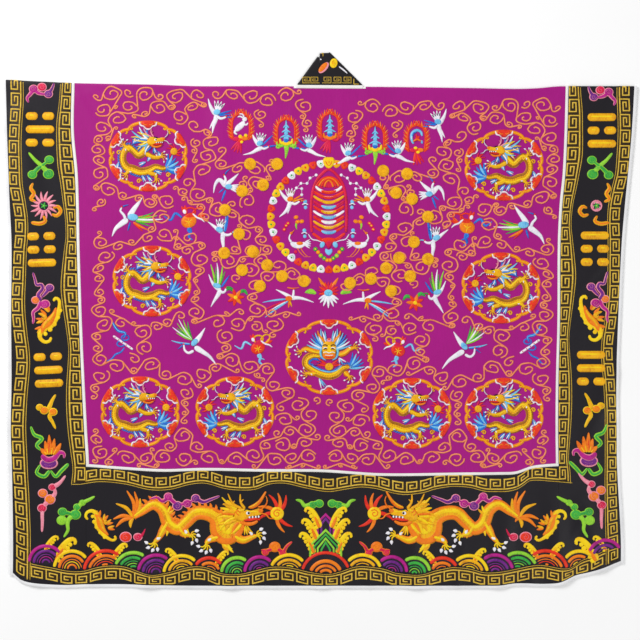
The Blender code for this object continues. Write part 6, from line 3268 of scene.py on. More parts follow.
@dataclass(frozen=True)
class Peak(Motif):
    """A mountain that stands in the sea, as nested chevrons on a dark ground."""

    threads: tuple[Thread, ...]
    half: float
    top: float
    side: float
    foot: float
    band: float = 7.6
    pitch: float = 9.6

    def draw(self, needle: Needle) -> None:
        """Draws ground and chevrons.

        Args:
            needle: the needle, at the place of what it draws.
        """
        outline = [(-self.half, self.foot), (self.half, self.foot), (self.half, self.side), (0, self.top),
                   (-self.half, self.side)]
        needle.pad(Thread.DARK, outline, 0, 0.3, 0, False)
        for n, thread in enumerate(self.threads):
            inset = n * self.pitch + self.band / 2
            half = self.half - inset
            if half < 3:
                break
            route = [(-half, self.foot), (-half, self.side - inset * 0.4), (0, self.top - inset * 1.1),
                     (half, self.side - inset * 0.4), (half, self.foot)]
            needle.stroke(thread, route, self.band, 0.6, height=1.0, cornered=True)


@dataclass(frozen=True)
class HemDragon(Motif):
    """The orange dragon of the hem's left half, facing right. Its origin is the middle of its body."""

    plume: tuple[Point, ...] = ((-229, 38), (-200, 72), (-180, 70), (-165, 52), (-236, -3), (-229, -24),
                                (-190, -26))
    limbs: tuple[tuple[tuple[Point, ...], float], ...] = (
        (((-92, -10), (-106, -34), (-116, -52), (-128, -64)), 250),
        (((-62, -24), (-52, -40), (-40, -44), (-32, -46)), 350),
        (((40, -50), (24, -54), (12, -62), (8, -70)), 262),
        (((84, -48), (106, -58), (130, -50), (142, -46)), 8),
    )
    fins: tuple[tuple[float, float, float], ...] = ((-84, -20, 206), (-44, -24, 250), (64, -66, 262),
                                                    (52, -66, 288), (-100, 6, 20))

    def draw(self, needle: Needle) -> None:
        """Draws tail plume, limbs, body, mane and head.

        Args:
            needle: the needle, at the place of what it draws.
        """
        for n, (x, y) in enumerate(self.plume):
            bow = (-183 + 0.5 * (x + 183) + 0.14 * y, 0.5 * y - 0.14 * (x + 183))
            needle.stroke(Thread.ORANGE if n % 3 else Thread.GOLD, [(-183, 0), bow, (x, y)], (7, 11, 4),
                          0.5 + 0.2 * n,
                          (0.5, 1.2))
        for x, y, lean in self.fins:
            needle.spray((Thread.GOLD, Thread.YELLOW), x, y, (lean, lean + 26), 30, 10, 0.6, 16)
        for route, turn in self.limbs:
            needle.stroke(Thread.ORANGE, route, (26, 22, 15, 11), 0.8)
            needle.stroke(Thread.GOLD, route, (22, 18, 12, 9), 1.4)
            needle.stroke(Thread.YELLOW, route, (10, 8, 5, 4), 3)
            Claw(Thread.YELLOW, Thread.WHITE, 14, 4.4, 8.4).draw(needle.at(*route[-1], turn, 1.1, level=1.2))
        DragonBody(
            ((-184, 0), (-160, 16), (-130, 34), (-106, 20), (-90, -16), (-66, -30), (-44, -12), (-18, 11),
             (14, 10),
             (36, -4), (46, -36), (66, -46), (88, -28), (98, -4)),
            (12, 20, 27, 31, 34, 33, 33, 36, 38, 44, 54, 54, 44, 32),
            Thread.GOLD, Thread.YELLOW, Thread.ORANGE, Thread.ORANGE, Thread.ORANGE, 1, 14.0, 13.0, 9.0,
        ).draw(needle)
        head = needle.at(100, 6, 4, 1.5, level=3)
        needle.spray((Thread.YELLOW, Thread.GOLD), 92, 4, range(112, 262, 15), 52, 12, 3, 12, 12)
        DragonHead(Thread.GOLD, Thread.YELLOW, Thread.ORANGE, Thread.GOLD,
                   (Thread.YELLOW, Thread.GOLD, Thread.ORANGE), Thread.YELLOW, Thread.ORANGE).draw(head)
        needle.stroke(Thread.ORANGE, [(120, 26), (136, 32), (150, 44), (166, 70)], (9, 12, 10, 5), 4,
                      (0.5, 0.7))
        needle.stroke(Thread.YELLOW, [(120, 28), (136, 35), (148, 46)], (3, 4, 2), 5.2)


@dataclass(frozen=True)
class Sea(Motif):
    """The sea along the hem: fans of concentric bands, each cut off where another wave or the fret is in
    front.
    """

    waves: tuple[Wave, ...]
    floor: Callable[[Array], Array]
    gap: float = 2.4

    def disc(self, wave: Wave) -> Array:
        """The outline of what shows of one wave above the floor.

        Args:
            wave: the wave.

        Returns:
            The outline.
        """
        angle = np.radians(np.linspace(180, 0, 25))
        rim = np.stack([wave.x + np.cos(angle) * wave.radius,
                        wave.top - wave.radius + np.sin(angle) * wave.radius], 1)
        rim = rim[rim[:, 1] > self.floor(rim[:, 0]) - 1]
        foot = np.linspace(rim[-1, 0], rim[0, 0], 9)[1:-1]
        return np.concatenate([rim, np.stack([foot, self.floor(foot) - 1], 1)])

    def shown(self, wave: Wave, reach: float) -> list[Array]:
        """The parts of one band that nothing hides.

        Args:
            wave: whose band it is.
            reach: the band's radius.

        Returns:
            The routes of the parts.
        """
        angle = np.radians(np.linspace(179, 1, 90))
        spots = np.stack([wave.x + np.cos(angle) * reach, wave.top - wave.radius + np.sin(angle) * reach], 1)
        seen = spots[:, 1] > self.floor(spots[:, 0])
        for other in self.waves:
            if other.front > wave.front:
                away = np.hypot(spots[:, 0] - other.x, spots[:, 1] - other.top + other.radius)
                seen &= away > other.radius + self.gap
        edges = np.flatnonzero(np.diff(np.concatenate([[0], seen.astype(int), [0]])))
        parts = [spots[low:high] for low, high in zip(edges[::2], edges[1::2])]
        return [part[np.linspace(0, len(part) - 1, 3 + len(part) // 9).astype(int)] for part in parts
                if len(part) > 4]

    def draw(self, needle: Needle) -> None:
        """Draws all waves, each on its own dark ground.

        Args:
            needle: the needle, at the place of what it draws.
        """
        for wave in self.waves:
            needle.pad(Thread.DARK, self.disc(wave), wave.level - 1.2, 0.2, 0)
            for inset, thick, outside in wave.bands:
                if inset + 4 > wave.radius:
                    continue
                thread = wave.outer if outside else wave.inner
                for part in self.shown(wave, wave.radius - inset):
                    needle.stroke(thread, part, thick, wave.level, (0.2, 0.2))


TOP_CLOUD = RuyiCloud(
    Thread.PINK,
    (CloudHead(-17, 10, 25, Thread.MAGENTA), CloudHead(5, 15, 25, Thread.ROSE),
     CloudHead(22, -3, 24, Thread.VIOLET)),
    ((Thread.MAGENTA, ((-17, 8), (-26, -4), (-34, -14), (-30, -26))),
     (Thread.VIOLET, ((22, -2), (31, 10), (37, 26))),
     (Thread.MAGENTA, ((-12, 4), (0, -2), (18, -4)))),
)
HEM_CLOUD = RuyiCloud(
    Thread.LIME,
    (CloudHead(-37, 4, 25, Thread.GREEN), CloudHead(-39, -18, 27, Thread.LIME),
     CloudHead(-3, -3, 29, Thread.GREEN),
     CloudHead(1, 17, 20, Thread.GREEN), CloudHead(15, 28, 18, Thread.LIME)),
    ((Thread.LIME, ((3, 17), (16, 28), (34, 37), (48, 45))),
     (Thread.GREEN, ((-37, 4), (-20, 0), (-3, -3), (1, 17))),
     (Thread.LIME, ((-3, -3), (-20, -14), (-24, -28), (-23, -44), (-34, -63)))),
)
WAVE_CLOUD = RuyiCloud(
    Thread.ORANGE,
    (CloudHead(-2, 4, 30, Thread.ORANGE), CloudHead(-27, -10, 20, Thread.ROSE),
     CloudHead(19, -12, 20, Thread.ROSE)),
    ((Thread.ROSE, ((-2, 2), (-24, -6), (-38, -4))), (Thread.ROSE, ((4, 0), (20, -8), (30, 6), (44, 18)))),
)
CENTRE_CLOUD = RuyiCloud(
    Thread.LIME,
    (CloudHead(28, 2, 24, Thread.GREEN), CloudHead(10, -2, 22, Thread.GREEN)),
    ((Thread.GREEN, ((28, 4), (10, 2), (-4, -6))), (Thread.LIME, ((8, 0), (-10, -4), (-20, 8), (-34, 12)))),
)
FOAM = (
    (-702, -578, 0.9, True), (-664, -590, 1.4, True), (-596, -596, 0.95, False), (-522, -598, 0.95, True),
    (-392, -611, 0.9, False), (-255, -617, 0.9, True),
)
INNER_LINE = (
    (-631, -433), (-579, -426), (-513, -432), (-447, -447), (-394, -446), (-342, -433), (-302, -430),
    (-250, -444), (-210, -448), (-171, -446), (-132, -432), (-92, -430), (-39, -442), (21, -452),
    (71, -445), (108, -440), (147, -444), (174, -451), (199, -457), (224, -460), (250, -458), (275, -454),
    (300, -446), (326, -441), (352, -438), (394, -441), (434, -451), (468, -452), (494, -451), (519, -445),
    (537, -434), (550, -424), (575, -422), (600, -424), (626, -426), (660, -429),
)
OUTER_LINE = (
    (-771, -637), (-715, -648), (-660, -659), (-623, -659), (-586, -649), (-550, -645), (-513, -648),
    (-447, -669), (-408, -665), (-342, -648), (-302, -649), (-258, -665), (-210, -667), (-171, -658),
    (-126, -648), (-79, -650), (-26, -662), (26, -667), (58, -659), (84, -650), (109, -646), (147, -650),
    (174, -655), (199, -664), (250, -669), (275, -667), (300, -659), (326, -653), (352, -649), (394, -653),
    (435, -663), (486, -659), (537, -649), (563, -644), (588, -644), (639, -652), (660, -650), (677, -639),
    (690, -630), (715, -621), (741, -608), (761, -602),
)
@dataclass(frozen=True)
class SquareKey:
    """One square key of a fret band, its foot line below and its edge line beyond that."""

    pitch: float = 42.0
    width: float = 35.0
    line: float = 4.3
    edge_line: float = 2.4
    edge_gap: float = 3.4

    def needle(self) -> Needle:
        """The key, round its own middle."""
        part = Needle("key", base=0)
        foot = self.edge_line + self.edge_gap + (self.line - self.width) / 2
        row = ((self.width - self.line) / 2 - foot) / 3
        low, back, short, top = (foot + row * n for n in range(4))
        left, right = 2.6 - self.pitch / 2, self.pitch / 2 - 8.0
        route = [(left, low), (left, top), (right, top), (right, back), (left + row, back),
                 (left + row, short),
                 (right - row, short)]
        part.stroke(Thread.FRET, route, self.line, 0, cornered=True, height=0.9)
        ends = [(-self.pitch / 2, low), (self.pitch / 2, low)]
        part.stroke(Thread.FRET, ends, self.line, 0, cornered=True, height=0.9)
        return part


class Spot(NamedTuple):
    """Where a motif is on the robe, in plan, with its turn, its scale and whether it is mirrored."""

    x: float
    y: float
    turn: float = 0.0
    size: float = 1.0
    mirror: bool = False


ROUNDELS = (
    Spot(-452, 432), Spot(-442, 103), Spot(-473, -241), Spot(-224, -241, mirror=True),
    Spot(484, 408, mirror=True),
    Spot(476, 85, mirror=True), Spot(242, -245), Spot(484, -245, mirror=True),
)
CENTRE_ROUNDEL = Spot(24, -97)
AUREOLES = (
    (Spot(-208, 508), Rabbit(), Thread.ROSE),
    (Spot(-89, 493), Pagoda(), Thread.GREEN),
    (Spot(26, 508), Pagoda(Thread.SKY, Thread.WHITE, Thread.ORANGE, Thread.ROSE), Thread.ROSE),
    (Spot(145, 477), Pagoda(), Thread.GREEN),
    (Spot(254, 477), SunBird(), Thread.RED),
)
CENTRE = Spot(23, 273)
TOWER = Spot(23, 297)
BIRDS = (
    (Spot(-274, 537, -6, 1.04), FLYING_CRANE), (Spot(-160, 456, 0, 0.96), SIDEWAYS_CRANE),
    (Spot(-27, 451, 0, 0.96, True), SIDEWAYS_CRANE), (Spot(72, 430, 0, 0.96), SIDEWAYS_CRANE),
    (Spot(207, 436, 0, 0.96, True), SIDEWAYS_CRANE), (Spot(313, 512, 6, 1.0, True), FLYING_CRANE),
    (Spot(-250, 352, 0, 1.0), CLIMBING_CRANE), (Spot(-256, 226), DIVING_CRANE),
    (Spot(297, 333, 0, 1.0, True), CLIMBING_CRANE), (Spot(298, 205, mirror=True), DIVING_CRANE),
    (Spot(-265, 79), GREEN_BIRD), (Spot(303, 62, mirror=True), GREEN_BIRD),
    (Spot(-334, -66), PLUMED_BIRD), (Spot(383, -76, mirror=True), PLUMED_BIRD),
    (Spot(-74, 56), RIBBON_CRANE), (Spot(118, 51, mirror=True), RIBBON_CRANE),
    (Spot(-505, 266), PHOENIX), (Spot(548, 246, mirror=True), PHOENIX),
)
FLOWERS = (
    (Spot(-345, 268, size=1.25), Gourd()), (Spot(387, 253, size=1.25, mirror=True), Gourd()),
    (Spot(-222, 60, 170, 1.3), Bloom()), (Spot(250, 46, 190, 1.3), Bloom()), (Spot(22, 72), LotusBloom()),
    (Spot(-518, -60), Flute()), (Spot(552, -70, mirror=True), Flute()),
    (Spot(-164, -66, 6, 1.15), Gourd(Thread.RED, Thread.GOLD, Thread.ROSE, Thread.SKY, Thread.WHITE)),
    (Spot(206, -72, -6, 1.15, True), Gourd(Thread.RED, Thread.GOLD, Thread.ROSE, Thread.SKY, Thread.WHITE)),
)
COINS = (
    (-184, 411), (-113, 411), (-150, 356), (-205, 340), (-250, 290), (-213, 227), (-252, 177), (-176, 180),
    (-139, 145), (-205, 132), (-100, 116), (-158, 90), (-42, 103), (166, 393), (229, 385), (200, 335),
    (242, 319),
    (284, 272), (247, 206), (284, 161), (208, 164), (174, 137), (237, 116), (134, 109), (79, 98), (187, 77),
)
GREEN_CLOUD = RuyiCloud(
    Thread.LIME,
    (CloudHead(-23, -22, 25, Thread.GREEN), CloudHead(19, -20, 29, Thread.GREEN),
     CloudHead(21, 17, 25, Thread.GREEN)),
    ((Thread.GREEN, ((-22, -20), (-6, -4), (8, 6), (20, 16))),
     (Thread.LIME, ((19, -18), (0, 2), (-16, 16), (-33, 36)))),
)
YELLOW_CLOUD = RuyiCloud(
    Thread.YELLOW,
    (CloudHead(-20, 11, 20, Thread.GOLD), CloudHead(-8, 3, 23, Thread.ORANGE),
     CloudHead(15, -1, 23, Thread.ORANGE)),
    ((Thread.GOLD, ((2, 4), (8, 18), (13, 30), (22, 45))),
     (Thread.GOLD, ((9, -4), (6, -15), (13, -27), (22, -46)))),
)
PINK_CLOUD = RuyiCloud(
    Thread.PINK,
    (CloudHead(-23, 27, 26, Thread.ORANGE), CloudHead(-4, 11, 29, Thread.ORANGE),
     CloudHead(-25, -12, 25, Thread.ROSE),
     CloudHead(2, 43, 21, Thread.ROSE)),
    ((Thread.PINK, ((2, 43), (16, 50), (25, 58), (37, 74))),
     (Thread.PINK, ((-4, 11), (9, 26), (8, 36), (2, 44))),
     (Thread.PINK, ((-4, 10), (-18, -4), (-24, -22), (-24, -50), (-25, -75)))),
)
PURPLE_CLOUD = RuyiCloud(
    Thread.PINK,
    (CloudHead(18, 25, 24, Thread.VIOLET), CloudHead(-19, -7, 23, Thread.ORANGE),
     CloudHead(6, -18, 27, Thread.MAGENTA)),
    ((Thread.VIOLET, ((-4, -8), (-12, 6), (0, 24), (-4, 34), (-16, 33), (-20, 46), (-26, 66))),
     (Thread.MAGENTA, ((-4, -10), (-12, -27), (-25, -39), (-24, -56), (-26, -70))),
     (Thread.VIOLET, ((18, 25), (6, 10), (-4, 0)))),
)
LONG_CLOUD = RuyiCloud(
    Thread.PINK,
    (CloudHead(-44, 12, 24, Thread.MAGENTA), CloudHead(-20, -12, 27, Thread.VIOLET),
     CloudHead(6, -6, 25, Thread.MAGENTA),
     CloudHead(28, 8, 24, Thread.VIOLET)),
    ((Thread.VIOLET, ((28, 8), (48, -2), (66, 4), (92, 14))),
     (Thread.MAGENTA, ((-44, 10), (-60, 0), (-74, 10), (-94, 5))),
     (Thread.MAGENTA, ((-44, 12), (-20, -8), (6, -4), (28, 6)))),
)
COLUMNS = {
    Side.LEFT: (
        (Spot(-736, 598), TOP_CLOUD), (Spot(-736, 502), Trigram((False, True, False))),
        (Spot(-733, 405), GREEN_CLOUD), (Spot(-726, 301), Sunflower()),
        (Spot(-732, 186, 1.6), Trigram((False, False, True))),
        (Spot(-729, 60), PURPLE_CLOUD), (Spot(-716, 0), Bat()),
        (Spot(-714, -131, 2.6), Trigram((False, True, True))), (Spot(-717, -240), YELLOW_CLOUD),
        (Spot(-713, -345), LotusTie()), (Spot(-706, -482), PINK_CLOUD),
    ),
    Side.RIGHT: (
        (Spot(742, 590, mirror=True), TOP_CLOUD), (Spot(741, 499), Trigram((True, False, True))),
        (Spot(736, 404, mirror=True), GREEN_CLOUD), (Spot(727, 301, mirror=True), Sunflower()),
        (Spot(723, 188), Trigram((True, False, False))), (Spot(731, 63, mirror=True), PURPLE_CLOUD),
        (Spot(717, 5, mirror=True), Bat()), (Spot(713, -126), Trigram((True, True, False))),
        (Spot(718, -236, mirror=True), YELLOW_CLOUD), (Spot(707, -339, mirror=True), LotusTie()),
        (Spot(716, -474, mirror=True), PINK_CLOUD),
    ),
}
WAVES = (
    Wave(-720, -588, 50, Thread.MAGENTA, Thread.VIOLET), Wave(-652, -602, 52, Thread.YELLOW, Thread.ORANGE),
    Wave(-563, -601, 63, Thread.RED, Thread.ORANGE), Wave(-490, -606, 57, Thread.LIME, Thread.GREEN),
    Wave(-431, -612, 52, Thread.MAGENTA, Thread.VIOLET), Wave(-362, -614, 54, Thread.YELLOW, Thread.GOLD),
    Wave(-292, -620, 47, Thread.RED, Thread.ORANGE), Wave(-218, -619, 46, Thread.LIME, Thread.GREEN),
    Wave(-158, -617, 45, Thread.MAGENTA, Thread.VIOLET), Wave(-82, -612, 56, Thread.YELLOW, Thread.GOLD),
)


@dataclass
class FretBand:
    """A woven band of square key fret, carried from a straight strip into plan."""

    length: float
    to_plan: Callable[[Array, Array], tuple[Array, Array]]
    key: SquareKey = SquareKey()
    overrun: Point = (0.0, 0.0)

    def draw(self, needle: Needle) -> None:
        """Draws the ground, the edge line and the keys, and carries them into plan.

        Args:
            needle: the needle, at the place of what it draws.
        """
        band = Needle("band", dice=needle.dice)
        key = self.key
        ends = [(-self.overrun[0], 0), (self.length + self.overrun[1], 0)]
        band.stroke(Thread.FRET_GROUND, [(0, 0), (self.length, 0)], key.width, 0, cornered=True, height=0.3)
        edge = np.array(ends) + (0, key.edge_line * 0.6 - key.width / 2)
        band.stroke(Thread.FRET, edge, key.edge_line, 0.6, cornered=True, height=0.7)
        count = round(self.length / key.pitch)
        step = self.length / count
        route = np.array([[step / 2, 0], [self.length - step / 2, 0]])
        STITCH_ROW.lay(band, replace(key, pitch=step).needle(), route, count, level=0.6)
        for patch in band.patches:
            x, y = self.to_plan(patch.points[:, 0], patch.points[:, 1])
            points = np.stack([x, y, patch.points[:, 2]], 1)
            needle.patches.append(patch._replace(points=points, level=patch.level))


OUTER_SWAY = (
    (-560, 0), (-460, -3), (-394, -5.6), (-310, -6), (-270, -6), (-194, -2.2), (-118, 5), (-78, 4.2),
    (-39, -0.2), (38, -6),
    (114, -4.3), (185, -1.5), (219, 2.3), (266, 4.3), (311, 0.2), (356, -5.8), (387, -6), (461, -3.9),
    (508, -0.4),
    (569, 4.2), (632, 4.8),
)
INNER_SWAY = (
    (-460, 0), (-430, 1), (-394, 5), (-349, 1.4), (-291, -3), (-233, -4.7), (-176, -2.6), (-118, 3.4),
    (-78, 6.7),
    (-39, 4.2), (38, -5.2), (80, -9), (114, -7.3), (185, 1.9), (219, 7.1), (266, 6.7), (311, 1.8),
    (356, -2.8),
    (400, -7.8), (432, -7.4), (477, -5.1), (521, -2.8), (569, 2.9), (627, 6.4),
)


@dataclass
class Frets:
    """The four runs of fret: outside and inside, down each side and along the hem."""

    cut: Cut = CUT
    width: float = 35.0
    edge_margin: float = 7.0
    seam_margin: float = 1.2
    over_shoulder: float = -9.0
    lag: float = 30.0
    hem_pitches: Point = (37.0, 39.1)

    def side(self, side: Side, middle: float, length: float, outward: int, overrun: float = 0.0) -> FretBand:
        """A band down one side, its edge line towards the border's middle, where the cloth's waves make it
        sway.

        Args:
            side: which side of the robe.
            middle: how far across its middle is.
            length: how far down it ends.
            outward: 1 where its edge line is its outer side, or -1.
            overrun: how far the edge line goes beyond its end.

        Returns:
            The band.
        """
        keys, values = np.array(OUTER_SWAY if outward > 0 else INNER_SWAY, float).T

        def to_plan(along: Array, height: Array) -> tuple[Array, Array]:
            """Carries a place in the band into plan.

            Args:
                along: how far along the band.
                height: how far from its edge line.

            Returns:
                Plan x and y.
            """
            x, y = LAY.place(side.value * (middle + outward * height), along + self.over_shoulder)
            share = 1 if outward > 0 else 0.5 - height / self.width
            lag = self.lag if side is Side.RIGHT else 0
            return x - side.value * share * smooth_curve(keys, values, np.clip(y - lag, keys[0], keys[-1])), y

        return FretBand(length - self.over_shoulder, to_plan, overrun=(0.0, overrun))

    def hem(self, low: float, high: float, line: tuple[Point, ...], up: int, limit: str,
            overrun: float, pitch: float) -> FretBand:
        """A band along the hem.

        Args:
            low: plan x of its left end.
            high: and of its right end.
            line: how its edge line runs, as plan x and y.
            up: 1 where the band is above that line, and -1 where it is below.
            limit: the column of the hang table that it keeps clear of.
            overrun: how far the edge line goes beyond both ends.
            pitch: the length of a key.
        """
        keys, values = np.array(line, float).T

        def to_plan(along: Array, height: Array) -> tuple[Array, Array]:
            """Carries a place in the band into plan.

            Args:
                along: how far along the band.
                height: how far from its edge line.

            Returns:
                Plan x and y.
            """
            x = low + along
            start = smooth_curve(keys, values, x)
            room = (LAY.hang(limit, LAY.across_at(x, start)) - start) * up - 2.5
            tall = np.minimum(self.width, room)
            return x, start + up * (height / self.width + 0.5) * tall

        return FretBand(high - low, to_plan, SquareKey(pitch), (overrun, overrun))

    def build(self) -> None:
        """Makes the bands of each side, and of the hem."""
        outer = LAY.half_width - self.edge_margin - self.width / 2
        inner = self.cut.border_inner + self.seam_margin + self.width / 2
        drops = LAY.full_length - self.edge_margin, self.cut.hem_top + self.seam_margin + self.width
        for side in Side:
            needle = Needle(f"fret_side_{side.word}")
            self.side(side, outer, drops[0], 1).draw(needle)
            self.side(side, inner, drops[1] + 6, -1, 6.0).draw(needle)
            needle.make("fret_thread")
        runs = (
            ("inner", inner - self.width / 2, drops[1] - self.width / 2, INNER_LINE, 1, "seam", self.width),
            ("outer", outer - self.width / 2, drops[0], OUTER_LINE, -1, "hem", 0.0),
        )
        for (word, half, drop, line, up, limit, overrun), pitch in zip(runs, self.hem_pitches):
            (low, high), _ = LAY.place(np.array([-half, half]), np.full(2, drop))
            needle = Needle(f"fret_hem_{word}")
            self.hem(low, high, line, up, limit, overrun, pitch).draw(needle)
            needle.make("fret_thread")


class Curl(NamedTuple):
    """One curl of the scroll: its middle and its radius."""

    x: float
    y: float
    radius: float


@dataclass
class Scroll:
    """The couched scroll that fills the ground round the motifs: stems that wind from curl to curl.

    It is planned on the left half, and the right half mirrors it a little lower, as the motifs do.
    """

    cord_width: float = 4.7
    gap: float = 2.6
    squash: float = 1.3
    sway: float = 4.2
    reach: float = 36.0
    tries: int = 12000
    turns: float = 1.12
    top_margins: Point = (34.0, 8.0)
    foot_margins: Point = (7.0, 5.0)
    twin_share: float = 0.975
    foot_margin: float = 1.0
    longest: int = 16
    sizes: tuple[float, ...] = (23.0, 19.0, 16.0, 13.5, 11.0, 9.0, 7.6)
    middle: tuple[float, float] = (13.3, 0.0216)
    lower: tuple[float, float] = (11.4, 0.0302)

    def __post_init__(self) -> None:
        """Gathers what the scroll keeps clear of, and seeds the dice."""
        self.dice = np.random.default_rng(SEED)
        blocks = [(spot.x, spot.y, 106, 95) for spot in ROUNDELS]
        blocks += [(CENTRE_ROUNDEL.x, CENTRE_ROUNDEL.y, 121, 101), (CENTRE.x, CENTRE.y, 164, 150)]
        blocks += [(spot.x, spot.y + 2, 38, 58) for spot, _, _ in AUREOLES]
        blocks += [(spot.x, spot.y - 46, 20, 32) for spot, _, _ in AUREOLES]
        for spot, bird in BIRDS:
            wide, high = bird.room
            blocks.append((spot.x, spot.y, wide * spot.size, high * spot.size))
        blocks += [(spot.x, spot.y, 29, 27) for spot, _ in FLOWERS]
        blocks.append((CUT.neck_centre + 4, 610, 76, 40))
        self.blocks = np.array(blocks, float)

    def twin(self, x: Array, y: Array) -> tuple[Array, Array]:
        """The place on the right half that mirrors one on the left."""
        middle = self.middle[0] + self.middle[1] * y
        return middle + (middle - x) * self.twin_share, y - self.lower[0] - self.lower[1] * y

    def clear(self, x: Array, y: Array, half: int) -> Array:
        """How far places are from what the scroll keeps clear of, and from the ground's edges.

        Args:
            x: plan x.
            y: plan y.
            half: which half: 0 left, 1 right.

        Returns:
            The distance at each place.
        """
        across = LAY.across_at(x, y)
        margin = np.interp(y, (-300, 60), (self.foot_margins[half], self.top_margins[half]))
        room = np.minimum(LAY.half_body - margin - np.abs(across), LAY.hang("fold", across) + 2 - y)
        room = np.minimum(room, y - LAY.hang("seam", across) - self.foot_margin)
        for bx, by, rx, ry in self.blocks:
            away_x, away_y = (x - bx) / rx, (y - by) / ry
            away = np.hypot(away_x, away_y)
            room = np.minimum(room, (away - 1) * np.hypot(x - bx, y - by) / np.maximum(away, 1e-6))
        return room

    def room(self, x: Array, y: Array) -> Array:
        """How far places on the left half, and their twins, are from what the scroll keeps clear of."""
        between = self.middle[0] + self.middle[1] * y - x - 1.6
        return np.minimum(np.minimum(self.clear(x, y, 0), self.clear(*self.twin(x, y), 1)), between)

    def curls(self) -> list[Curl]:
        """Packs the left half with curls, the largest first."""
        x = self.dice.uniform(-620, 30, self.tries)
        y = self.dice.uniform(-400 * self.squash, 620 * self.squash, self.tries)
        room = self.room(x, y / self.squash)
        found = np.zeros((0, 3))
        for size in self.sizes:
            for px, py, free in zip(x, y, room):
                if free < size + self.cord_width / 2:
                    continue
                if len(found):
                    near = np.hypot(found[:, 0] - px, found[:, 1] - py) - found[:, 2]
                    if near.min() < size + self.gap:
                        continue
                found = np.concatenate([found, [[px, py, size]]])
        return [Curl(*row) for row in found]

    @staticmethod
    def crossing(near: Curl, far: Curl, sense: int) -> tuple[Array, Array, float]:
        """The line that leaves one curl and winds onto the next the other way round.

        Args:
            near: the curl that the stem leaves.
            far: the curl that it goes to.
            sense: 1 where it winds anticlockwise round the first.

        Returns:
            Its two ends and its direction.
        """
        run = np.array([far.x - near.x, far.y - near.y])
        lean = math.atan2(run[1], run[0]) + sense * math.asin(min(0.999,
                                                                  (near.radius + far.radius)
                                                                  / np.hypot(*run)))
        left = np.array([-math.sin(lean), math.cos(lean)])
        start = np.array([near.x, near.y]) - sense * near.radius * left
        end = np.array([far.x, far.y]) + sense * far.radius * left
        return start, end, lean

    def chains(self, curls: list[Curl]) -> list[list[int]]:
        """Strings the curls into stems, each winding on to a near neighbour ahead.

        Args:
            curls: the curls.

        Returns:
            The curls' numbers, stem by stem.
        """
        spots = np.array(curls)
        free = set(range(len(curls)))
        chains = []
        while free:
            chain = [min(free)]
            free.remove(chain[0])
            while len(chain) < self.longest:
                here = spots[chain[-1]]
                best, least = None, 1e9
                for other in free:
                    away = math.hypot(*(spots[other, :2] - here[:2]))
                    gap = away - here[2] - spots[other, 2]
                    if gap > self.reach:
                        continue
                    turn = 0.0
                    if len(chain) > 1:
                        back = spots[chain[-1], :2] - spots[chain[-2], :2]
                        on = spots[other, :2] - here[:2]
                        turn = abs(math.atan2(back[0] * on[1] - back[1] * on[0], float(back @ on)))
                        if turn > 1.75:
                            continue
                    cost = gap + 9 * turn
                    middle = (here[:2] + spots[other, :2]) / 2
                    if self.room(middle[:1], middle[1:] / self.squash)[0] < 3:
                        continue
                    if cost < least:
                        best, least = other, cost
                if best is None:
                    break
                chain.append(best)
                free.remove(best)
            chains.append(chain)
        return chains

    def arc(self, curl: Curl, start: float, end: float, sense: int) -> Array:
        """Points round a curl from one angle to another.

        Args:
            curl: the curl.
            start: its first angle.
            end: its last angle.
            sense: 1 for anticlockwise, or -1.

        Returns:
            The points.
        """
        sweep = (end - start) * sense % (2 * math.pi)
        count = max(2, math.ceil(sweep * curl.radius / 4))
        angle = start + sense * np.linspace(0, sweep, count)
        return np.stack([curl.x + curl.radius * np.cos(angle), curl.y + curl.radius * np.sin(angle)], 1)

    def cords(self) -> list[Array]:
        """The routes of all stems and curls."""
        curls = self.curls()
        routes = []
        for chain in self.chains(curls):
            sense = int(self.dice.choice((-1, 1)))
            if len(chain) == 1 and curls[chain[0]].radius < 12:
                continue
            row = [curls[n] for n in chain]
            lean = self.dice.uniform(0, 2 * math.pi)
            entry = lean
            stem: list[Array] = []
            for n, curl in enumerate(row):
                if n + 1 < len(row):
                    start, end, _ = self.crossing(curl, row[n + 1], sense)
                    leave = math.atan2(start[1] - curl.y, start[0] - curl.x)
                    if n == 0:
                        entry = leave - sense * 2.2
                    stem.append(self.arc(curl, entry, leave, sense))
                    routes.append(self.winding(curl, leave, sense))
                    entry = math.atan2(end[1] - row[n + 1].y, end[0] - row[n + 1].x)
                else:
                    stem.append(self.winding(curl, entry, sense))
                sense = -sense
            routes.append(np.concatenate(stem))
        return [self.relax(route) for route in routes if len(route) > 2]

    def relax(self, route: Array) -> Array:
        """Squashes a route back to plan and lets it sway, as couched cord does.

        Args:
            route: the points that it passes.

        Returns:
            The route as it lies.
        """
        x, y = route[:, 0], route[:, 1] / self.squash
        shift_x = np.sin(y / 13 + 2 * np.sin(x / 57)) + 0.6 * np.sin(y / 5.3 + x / 31)
        shift_y = np.sin(x / 15 + 2 * np.sin(y / 49)) + 0.6 * np.sin(x / 6.1 - y / 29)
        return np.stack([x + 0.6 * self.sway * shift_x, y + 0.5 * self.sway * shift_y], 1)

    def winding(self, curl: Curl, start: float, sense: int) -> Array:
        """A curl's own winding, inwards from an angle on its outside."""
        return spiral(curl.x, curl.y, curl.radius, self.turns, math.degrees(start), sense < 0)

    def build(self) -> None:
        """Makes the scroll, in two halves."""
        routes = self.cords()
        LOG.info("scroll: %d cords a side", len(routes))
        for side in Side:
            half = routes if side is Side.LEFT else [np.stack(self.twin(*route.T), 1) for route in routes]
            needle = Needle(f"scroll_{side.word}")
            CORD_SWEEP.lay(needle, Thread.CORD, half, self.cord_width, step=4.2, flatness=0.62)
            needle.make("gold_cord")


